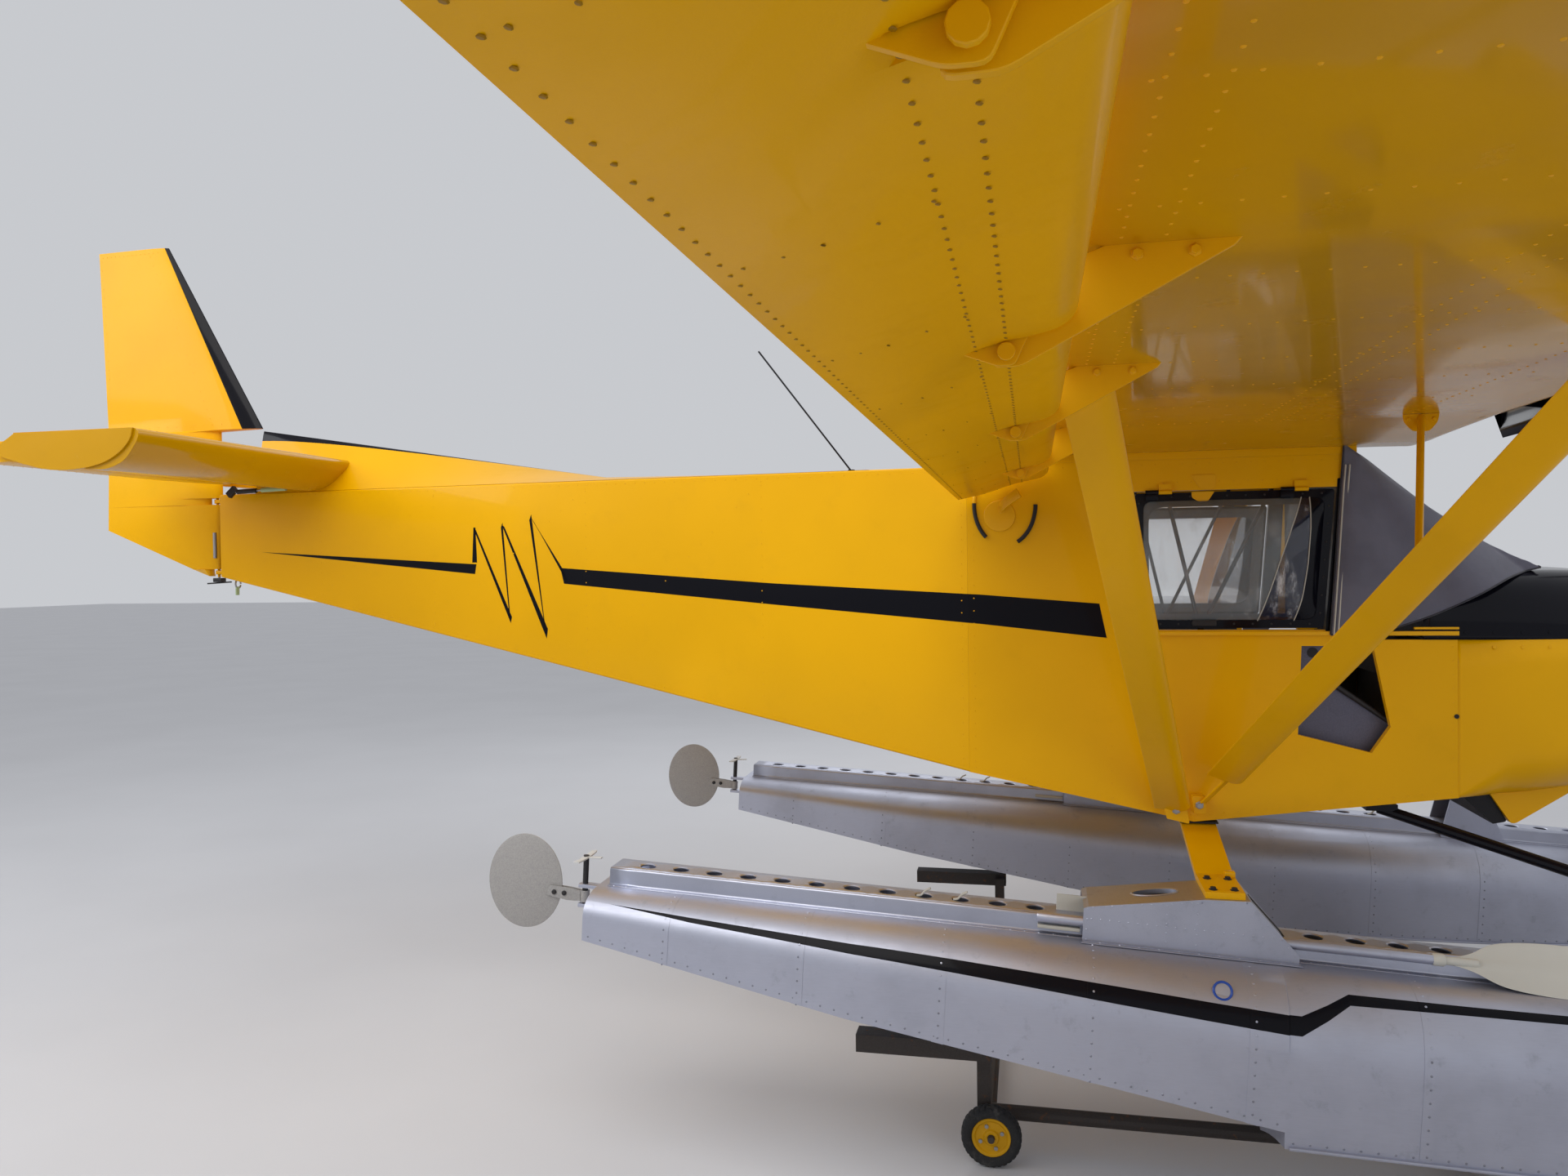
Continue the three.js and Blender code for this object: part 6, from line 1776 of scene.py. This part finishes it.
def make_propeller():
    """Each blade's section is turned by its pitch and carried outwards from the hub."""
    rows = spline(BLADE, 6)
    section = spline(AIRFOIL, 4, closed=True)
    form = Form()
    a = np.radians(rows[:, 3:])
    u, v = section[:, 0] * rows[:, 1:2], section[:, 1] * rows[:, 2:3]
    ahead, across = u * np.sin(a) + v * np.cos(a), u * np.cos(a) - v * np.sin(a)
    out = rows[:, :1] + 0 * u
    profile = np.concatenate([spline(SPINNER[:8], 4), SPINNER[8:]])
    cone = Form().turn(profile, at(PROP_X, 0, PROP_Z), (1, 0, 0), 56)
    for c, s in ring(1, 3):
        form.tube(at(PROP_X + ahead, across * c - out * s, PROP_Z + across * s + out * c))
        root = at(PROP_X, -0.098 * s, PROP_Z + 0.098 * c)
        cone.turn([[0, 0], [0.034, 0], [0.036, 0.006], [0.03, 0.014], [0, 0.014]], root, (0, -s, c), 24)
    piece("propeller_blades", form, ["black_gloss"], "propeller", ["propeller"])
    piece("spinner_cone", cone, ["yellow_gloss"], "propeller")
    c, s = ring(1, 12, 0.26).T
    places = at(PROP_X - 0.04, -0.1118 * s, PROP_Z + 0.1118 * c)
    screws = Form().domes(places, np.stack([0 * s, -s, c], -1), 0.0042, 0.0022, 8)
    piece("spinner_screws", screws, ["steel_fitting"], "propeller", loose=True)


class FLOATPLANE_OT_nose(bpy.types.Operator):
    """Makes the two cowls, the outlet and the propeller"""

    bl_idname = "floatplane.nose"
    bl_label = "Nose"

    def execute(self, context):
        make_cowl("upper", 1)
        make_cowl("lower", -1)
        make_cowl_fittings()
        make_propeller()
        return {"FINISHED"}


# Cabin

DOOR = {"x0": 0.528, "x1": 1.118, "lean": 0.034, "z0": 0.018, "z1": 0.446}
PANE_RIM = 0.026
# Lines on the pane, from foot to head, where its dark front part, a painted reflection of the dark
# surroundings, starts and ends, as x and z
DARK_REFLECTION_START = ((0.881, 0.0), (0.912, 0.11), (0.946, 0.218), (0.985, 0.33), (1.03, 0.444))
PANE_COLUMNS = (18, 26)
LENS = ((0.988, 0.0), (1.016, 0.11), (1.033, 0.218), (1.042, 0.33), (1.046, 0.444))


def door_front(z):
    """The door's leaning front edge at height z."""
    return DOOR["x1"] - DOOR["lean"] * (DOOR["z1"] - z) / (DOOR["z1"] - DOOR["z0"])


def door_outline(inset, radius):
    """Corners of the door's outline, drawn in by inset and rounded, from (x, z)."""
    low, high, rear = DOOR["z0"] + inset, DOOR["z1"] - inset, DOOR["x0"] + inset
    corners = [(rear, low), (door_front(low) - inset, low), (door_front(high) - inset, high), (rear, high)]
    return bent(corners, radius, closed=True)


def door_ring(side, *rows):
    """A closed ring of outlines, each at its own place across."""
    return Form().loop(np.stack([at(p[:, 0], side * y, p[:, 1]) for p, y in rows]))


def make_door(name, side):
    """Frame: nested outlines joined to a closed ring. Pane: a grid whose bulge is the product of two even
    powers, one along and one up, so it rises steeply from the rim and is flat in the middle."""
    body = f"door_{name}"
    outer, inner = door_outline(0, 0.012), door_outline(PANE_RIM, 0.03)
    form = door_ring(side, (outer, 0.518), (outer, 0.5185), (inner, 0.5195), (inner, 0.503), (outer, 0.502))
    for x in (0.6, 1.0):
        form.rod(at([x - 0.0396, x - 0.0004], side * 0.528, 0.448), 0.007, 14)
        form.bar(at([x - 0.039, x - 0.001], side * 0.5235, 0.435), 0.0045, 0.012, 0.001)
    piece(f"door_frame_{name}", form, ["black_gloss"], body, [f"door_{name}"], bevel=0.0012)

    under = PANE_RIM - 0.004
    v = np.linspace(0, 1, 25)[:, None]
    z = lerp(DOOR["z0"] + under, DOOR["z1"] - under, v)
    rear, front = DOOR["x0"] + under + 0 * z, door_front(z) - under
    reflection_start, lens = (np.interp(z, *np.array(line)[:, ::-1].T) for line in (DARK_REFLECTION_START, LENS))
    stretches = (rear, reflection_start, 19), (reflection_start, lens, 9), (lens, front, 5)
    x = np.concatenate([rear] + [lerp(a, b, np.linspace(0, 1, n)[None, 1:]) for a, b, n in stretches], 1)
    along = (x - rear) / (front - rear)
    bulge = (1 - np.abs(2 * along - 1) ** 4.5) * (1 - np.abs(2 * v - 1) ** 3.5)
    pane = Form()
    column = face_places(len(v) - 1, x.shape[1] - 1)[1]
    for depth in (0.0, -0.003):
        pane.sheet(at(x, side * (0.516 + depth + 0.062 * bulge), z))
        pane.finishes[-1] = np.searchsorted(PANE_COLUMNS, column, "right")
    # the columns between the two lines take the painted dark reflection, and those ahead of them are opaque
    # black
    piece(f"door_pane_{name}", pane, ["clear_pane", "pane_dark_reflection", "black_gloss"], body)

    rims = Form()
    for column in PANE_COLUMNS:
        line = at(x[:, column], side * (0.5172 + 0.062 * bulge[:, column]), z[:, 0])
        rims.rod(line, 0.0017, 8)
    piece(f"pane_rims_{name}", rims, ["pale_rim"], body)
    screws = Form()
    middle = door_outline(PANE_RIM / 2, 0.02)
    length = np.concatenate([[0], np.cumsum(np.linalg.norm(np.diff(middle, axis=0), axis=1))])
    spots = np.arange(0.02, length[-1], 0.055)
    x_, z_ = np.interp(spots, length, middle[:, 0]), np.interp(spots, length, middle[:, 1])
    screws.domes(at(x_, side * 0.519, z_), (0, side, 0), 0.0038, 0.0016, 8)
    tab = bent([(0.7, 0.4465), (0.7, 0.43), (0.72, 0.416), (0.748, 0.416), (0.768, 0.4465)], 0.006, 4)
    screws.slab(at(tab[:, 0], side * 0.519, tab[:, 1]), np.array([0, side * 0.002, 0]), finish=1)
    piece(f"door_screws_{name}", screws, ["panel_black", "yellow_trim"], body, loose=True)
    latch = Form()
    latch.bar(through([0.7, side * 0.524, 0.034], [0.77, side * 0.526, 0.034]), 0.004, 0.009)
    latch.rod(through([0.705, side * 0.516, 0.034], [0.705, side * 0.53, 0.034]), 0.008, 14)
    piece(f"door_latch_{name}", latch, ["dark_tube"], body, bevel=0.0006)

    # a dark ring inside the door opening, behind the frame: painted shade of the cabin
    out, cut = door_outline(0.01, 0.012), door_outline(0.044, 0.05)
    shade = door_ring(side, (out, 0.4985), (cut, 0.4985), (cut, 0.4955), (out, 0.4955))
    piece(f"door_shade_ring_{name}", shade, ["cabin_dark"], body)


# Black strip on the jamb ahead of the door, and the dark panels inside ahead of the low opening, which are
# painted shade of the cabin seen through the openings
JAMB = ((1.0883, 0.006), (1.1238, 0.458), (1.1245, 0.478), (1.176, 0.478), (1.15, 0.006))
SIDE_PLATES = (
    # form, corners, rounding and its steps, place and thickness across
    ("trim", ((0.698, 0.5), (0.772, 0.5), (0.772, 0.462), (0.748, 0.45), (0.722, 0.462)),
     0.008, 3, 0.5203, 0.0025),
    ("bare", ((1.002, -0.395), (1.002, -0.15), (1.1, -0.152), (1.29, -0.286), (1.29, -0.33),
              (1.235, -0.4)), 0.012, 4, 0.462, 0.004),
    ("bare", ((1.018, -0.02), (1.02, -0.15), (1.075, -0.095), (1.13, -0.02)), 0.02, 4, 0.47, 0.003),
    ("jamb", JAMB, 0.004, 3, HALF_W - 0.0282, 0.0295),
)
SIDE_SEAMS = (
    ((0.02, -0.44), (0.69, -0.575)), ((0.71, -0.575), (1.44, -0.479)), ((0.02, 0.535), (1.16, 0.535)),
    ((0.02, -0.42), (0.02, 0.53)), ((1.445, -0.46), (1.445, -0.04)), ((0.505, 0.02), (0.505, 0.44)),
    ((0.53, 0.478), (1.12, 0.478)), ((0.45, -0.48), (0.45, 0.44)),
)
# dark panels inside the side wall, as opposite corners of x and z: painted shade of the cabin
SHADE_PANELS = (((1.285, -0.455), (1.437, -0.04)), ((0.6, -0.4), (1.0, -0.01)))


def make_side_trim(name, side, sizes):
    """Sill angle, the gusset over the window, rivets of the cabin side, and the low opening's lining in
    darkened bare sheet, which is painted shade inside the cabin.
    """
    trim, rivets, bare, dark, jamb = Form(), Form(), Form(), Form(), Form()
    trim.bar(at([0.552, 0.9, 1.25, 1.458], side * 0.5265, 0.0015), 0.0062, 0.0065, 0.001)
    trim.bar(at([1.335, 1.458], side * 0.5265, 0.017), 0.0062, 0.0035, 0.001)
    for form, corners, radius, steps, y, thick in SIDE_PLATES:
        form = {"trim": trim, "bare": bare, "jamb": jamb}[form]
        form.plate(bent(corners, radius, steps), side * y, side * thick)
    for start, end in SIDE_SEAMS:
        ends = (at(x, side * HALF_W, z) for x, z in (start, end))
        rivet_line(rivets, *ends, (0, side, 0), sizes)
    # the dark panels that paint the cabin's shade
    for (x0, z0), (x1, z1) in SHADE_PANELS:
        jamb.plate([(x0, z0), (x1, z0), (x1, z1), (x0, z1)], side * (HALF_W - 0.0285), side * 0.0015, 1)
    tube = through([1.1, side * 0.474, -0.146], [1.2, side * 0.474, -0.216], [1.3, side * 0.472, -0.288])
    dark.rod(spline(tube, 6), 0.0085)
    # a flat dark disc on the bare plate inside: painted shade of the hole in it
    washer = [[0, 0], [0.016, 0], [0.016, 0.0015], [0, 0.0015]]
    dark.turn(washer, at(1.062, side * 0.4732, -0.062), (0, side, 0), 24)
    for start, end in (((0.608, 0.54), (0.729, 0.006)), ((0.729, 0.006), (0.985, 0.54))):
        dark.rod(at([start[0], end[0]], side * 0.478, [start[1], end[1]]), 0.0065)
    piece(f"side_trim_{name}", trim, ["yellow_trim"], bevel=0.0006)
    piece(f"cabin_rivets_{name}", rivets, ["yellow_trim"], loose=True)
    # the low opening's lining takes the darkened bare sheet, painted shade
    piece(f"opening_lining_{name}", bare, ["bare_lining_shaded"], bevel=0.002)
    # the jamb strip and the dark panels of painted shade
    piece(f"jamb_and_shade_panels_{name}", jamb, ["black_stripe", "black_rubber"])
    piece(f"cabin_tubes_{name}", dark, ["dark_tube"])


SEAT = {"hip": (0.65, -0.365), "knee": (1.01, -0.33), "back_top": (0.562, 0.11), "pad": 0.055}


def pad_grid(corner, run, rise, half, thick, seams, y_mid):
    """A cushion on a plane through corner: along run and across y its outline is a superellipse, its crown
    falls off with the fourth power towards the edges, and sewn channels press it down."""
    s, t = np.linspace(0, 1, 42)[:, None], np.linspace(-1, 1, 30)[None]
    from_middle = np.abs(2 * s - 1)
    edge = (1 - from_middle**8) ** 0.25 * (1 - np.abs(t) ** 8) ** 0.25
    crown = (1 - 0.35 * from_middle**3) * (1 - 0.25 * np.abs(t) ** 3)
    dips = sum(0.16 * np.exp(-((s - k) / 0.018) ** 2) for k in seams)
    y = y_mid + half * t * (1 - 0.03 * (1 - from_middle**2))
    height = thick * edge * (crown - dips)
    return [at(corner[0] + run[0] * s + rise[0] * up, y, corner[1] + run[1] * s + rise[1] * up)
            for up in (height, 0 * t)]


def make_seats():
    """Two cushions to a seat, on the shell's slanted planes, and the shell down to the cabin's floor."""
    hip, knee, back = (np.array(SEAT[k]) for k in ("hip", "knee", "back_top"))
    pad = SEAT["pad"]
    up = unit(np.array([-(knee - hip)[1], (knee - hip)[0]]))
    ahead = unit(np.array([(back - hip)[1], -(back - hip)[0]]))
    for name, side in SIDES.items():
        for part, corner, run, rise, seams in (
            ("base", hip - up * pad + [0.045, 0], (knee - hip) * 0.86, up, (0.3, 0.5, 0.7)),
            ("back", hip - ahead * pad + [0, 0.03], (back - hip) * 0.92, ahead, (0.25, 0.45, 0.65, 0.85)),
        ):
            top, low = pad_grid(corner, run, rise, 0.205, pad * 0.98, seams, side * 0.228)
            form = Form().sheet(top).sheet(low[:, ::-1])
            made = piece(f"seat_{part}_{name}", form, ["seat_cloth"])
    base, front = hip - up * pad * 1.03, knee - up * pad * 1.03
    feet = np.array([0.53, 0.7, 1.008])
    floor = np.interp(feet, [0, 0.7, 1.46], [-0.455, -0.595, -0.497]) + 0.0243
    profile = np.array([*zip(feet, floor), (feet[-1], front[1]), base, back - [0.052, 0],
                        back - [0.057, 0]])
    skin = at(profile[:, 0], [[-0.459], [0.459]], profile[:, 1])
    shell = Form().sheet(skin, around=True)
    for flank in skin:
        shell.put(flank, filled(profile))
    piece("seat_shell", shell, ["cabin_dark"], replaces=["seat"], bevel=0.002)


def make_dials():
    """Round instruments in two rows on the panel, each a bezel, a dark face with ticks and a pointer."""
    bezels, faces, marks = Form(), Form(), Form()
    bezel = [[0.032, 0], [0.038, 0.001], [0.038, 0.006], [0.033, 0.008], [0.032, 0.002]]
    face = [[0, 0], [0.0325, 0], [0.0325, 0.0015], [0, 0.0015]]
    ticks = np.arange(10) * 0.56 - 2.5
    for y in (-0.3, -0.2, -0.1, 0.1, 0.2, 0.3):
        for z in (0.085, -0.005):
            spot = at(1.2881 - 0.028 * (z + 0.06) / 0.21, y, z)
            bezels.turn(bezel, spot, (-1, 0, 0.13), 28)
            faces.turn(face, spot, (-1, 0, 0.13), 24)
            for s, c in zip(np.sin(ticks), np.cos(ticks)):
                marks.rod([spot + [-0.0018, r * s, r * c] for r in (0.025, 0.029)], 0.0006, 4, up=(1, 0, 0))
            tip = [-0.0024, 0.022 * math.sin(y * 9), 0.022 * math.cos(y * 9)]
            marks.rod([spot + [-0.0024, 0, 0], spot + tip], [0.0013, 0.0004], 5, up=(1, 0, 0))
    piece("dial_bezels", bezels, ["panel_black"])
    piece("dial_faces", faces, ["black_gloss"])
    piece("dial_marks", marks, ["white_part"])


COVER = {"clear": 0.005, "thick": 0.0018}
# From the door to the cowl's top: x, half width and height of the cloth's lower edge and of its shoulder
COVER_EDGE = (
    (1.1, 0.529, -0.003), (1.24, 0.529, 0.01), (1.335, 0.53, 0.037), (1.42, 0.531, 0.07),
    (1.5, 0.524, 0.112), (1.6, 0.475, 0.16), (1.68, 0.405, 0.184), (1.728, 0.335, 0.196),
)
COVER_SHOULDER = ((1.142, 0.5275, 0.594), (1.2, 0.512, 0.58), (1.3, 0.48, 0.506), (1.42, 0.437, 0.414),
                  (1.6, 0.372, 0.279), (1.722, 0.322, 0.2))


def cowl_half_at(x, z):
    """Half width of the cowl at height z, and 0 above it or behind its rear edge."""
    half, high, r = table(cowl_rows(), x, 1, 3, 4)
    over = np.clip(z - (high - r), 0, None)
    inside = (over < r) & (x > COWL_REAR - 0.02)
    return np.where(inside, half - r + np.sqrt(np.maximum(r**2 - over**2, 0)), 0)


def cowl_top_at(x, y):
    """Height of the cowl's top at a width: crowned, rounded at its sides, and -1 beyond them."""
    half, high, r = table(cowl_rows(), x, 1, 3, 4)
    over = np.clip(np.abs(y) - (half - r), 0, None)
    crown = 0.01 * (1 - np.minimum(1, np.abs(y) / (half - r)) ** 2)
    top = high - r + np.sqrt(np.maximum(r**2 - over**2, 0)) + crown
    return np.where((x > COWL_REAR - 0.02) & (over < r), top, -1.0)


def clear_of_cowl(x, y, z, room):
    """Points inside the cowl grown by room go straight up or straight out, whichever is nearer."""
    out = cowl_half_at(x, z) + room
    top = cowl_top_at(x, y) + room
    inside = (np.abs(y) < out) & (z < top) & (top > 0)
    up = inside & (top - z < out - np.abs(y))
    return np.where(inside & ~up, np.sign(y) * out, y), np.where(up, top, z)


def make_cover():
    """Between the shoulder and the lower edge the cloth hangs straight with rounded bends. Folds fan out
    from the rear corners as waves in the angle round them, which die out upwards, and shallow dents lie
    between what holds it up. What would lie inside the cowl is moved onto it."""
    rows, cols = 46, 92
    shoulder = 0.42
    fan_x, fan_z = 1.15, 0.56
    s = np.linspace(0, 1, rows)[:, None] + np.zeros((1, cols))
    t = np.linspace(-1, 1, cols)[None] + np.zeros((rows, 1))
    side = np.sign(t)
    level = np.minimum(1, np.abs(t) / shoulder)
    fall = np.clip((np.abs(t) - shoulder) / (1 - shoulder), 0, 1)
    low, high = ([np.interp(s, np.linspace(0, 1, len(line)), part) for part in line.T]
                 for line in (spline(COVER_EDGE, 6), spline(COVER_SHOULDER, 6)))
    x = lerp(high[0], low[0], fall)
    y = side * np.where(fall > 0, lerp(high[1], low[1], fall**0.85), high[1] * level)
    z = lerp(high[2], low[2], fall)
    bend = np.minimum(0.045, (high[2] - low[2]) * 0.3) * np.clip(s * 5, 0, 1)
    z = z - bend * np.exp(-np.abs(np.abs(t) - shoulder) / 0.055)
    y = y - side * bend * 0.4 * np.exp(-((np.abs(t) - shoulder) / 0.06) ** 2)
    angle = np.arctan2(x - fan_x, fan_z - z)
    reach = np.hypot(x - fan_x, z - fan_z)
    folds = np.sin(angle * 9.5 + 0.6) * 0.01 + np.sin(angle * 17 + 1.9) * 0.004
    amount = np.clip(reach / 0.25, 0, 1) * np.clip(fall * 4, 0, 1) * np.clip((1 - s) * 4, 0, 1)
    y = y + side * ((folds + 0.004) * amount + 0.003 * np.clip(fall * 6, 0, 1))
    slack = np.sin(math.pi * s) * np.cos(math.pi * np.clip(t / 0.84, -1, 1) / 2) ** 2
    dents = np.sin(17 * s + 6 * t) + np.sin(9 * s - 14 * t)
    z = z - 0.006 * slack + 0.0015 * dents * slack
    for _ in range(3):
        y, z = clear_of_cowl(x, y, z, COVER["clear"])
        for grid in (y, z):
            grid[1:-1, 1:-1] = 0.5 * grid[1:-1, 1:-1] + 0.125 * (
                grid[:-2, 1:-1] + grid[2:, 1:-1] + grid[1:-1, :-2] + grid[1:-1, 2:])
    y, z = clear_of_cowl(x, y, z, COVER["clear"])
    outside = np.interp(x, (1.185, 1.3), (0.524, 0.4))
    y = np.where(fall > 0, side * np.maximum(np.abs(y), outside), y)
    grid = at(x, y, z)
    made = piece("windshield_cloth", Form().sheet(grid), ["cover_cloth"],
                 facing=(0.6, 0, 1), replaces=["windshield_cover"], crease=80)
    give_wall(made, COVER["thick"], 1)
    a, b = grid[1:, :-1] - grid[:-1, :-1], grid[:-1, 1:] - grid[:-1, :-1]
    hems, piping = Form(), Form()
    for line in (grid[0], grid[-1], grid[:, 0], grid[:, -1]):
        hems.rod(line + [0, 0, 0.0005], 0.003, 8, up=(0.3, 0.1, 1))
    for way, part in ((-1, slice(0, 24)), (1, slice(-24, None))):
        for offset in (0.008, 0.02):
            piping.rod(grid[0, part] + [offset, way * 0.0055, 0], 0.0026, 8, up=(1, 0, 0))
    hem = piece("cloth_hem", hems, ["hem_cloth"])
    trim = piece("cloth_piping", piping, ["pale_rim"])


class FLOATPLANE_OT_cabin(bpy.types.Operator):
    """Makes the doors, the cabin's trim, seats, dials and the cloth over the windshield"""

    bl_idname = "floatplane.cabin"
    bl_label = "Cabin"

    def execute(self, context):
        sizes = context.scene.floatplane_sizes
        for name, side in SIDES.items():
            make_door(name, side)
            make_side_trim(name, side, sizes)
        make_seats()
        make_dials()
        make_cover()
        return {"FINISHED"}


OPERATORS = (
    FLOATPLANE_OT_stage, FLOATPLANE_OT_dress, FLOATPLANE_OT_fuselage, FLOATPLANE_OT_wings,
    FLOATPLANE_OT_struts, FLOATPLANE_OT_tail, FLOATPLANE_OT_floats, FLOATPLANE_OT_dolly,
    FLOATPLANE_OT_nose, FLOATPLANE_OT_cabin,
)


class FLOATPLANE_PT_panel(bpy.types.Panel):
    """Lists the steps that finish the floatplane"""

    bl_idname = "FLOATPLANE_PT_panel"
    bl_label = "Floatplane"
    bl_space_type = "VIEW_3D"
    bl_region_type = "UI"
    bl_category = "Floatplane"

    def draw(self, context):
        for group in (context.scene.floatplane_paint, context.scene.floatplane_sizes):
            for name in group.__annotations__:
                self.layout.prop(group, name)
        for operator in OPERATORS:
            self.layout.operator(operator.bl_idname)


CLASSES = (FloatplanePaint, FloatplaneSizes, *OPERATORS, FLOATPLANE_PT_panel)


def register():
    """Adds the classes and the panel's properties to the running Blender."""
    for cls in CLASSES:
        bpy.utils.register_class(cls)
    bpy.types.Scene.floatplane_paint = PointerProperty(type=FloatplanePaint)
    bpy.types.Scene.floatplane_sizes = PointerProperty(type=FloatplaneSizes)


def unregister():
    """Takes them away again."""
    del bpy.types.Scene.floatplane_sizes
    del bpy.types.Scene.floatplane_paint
    for cls in reversed(CLASSES):
        bpy.utils.unregister_class(cls)


def main():
    """Runs each operator in turn."""
    register()
    for operator in OPERATORS:
        group, step = operator.bl_idname.split(".")
        getattr(getattr(bpy.ops, group), step)()


if __name__ == "__main__":
    main()
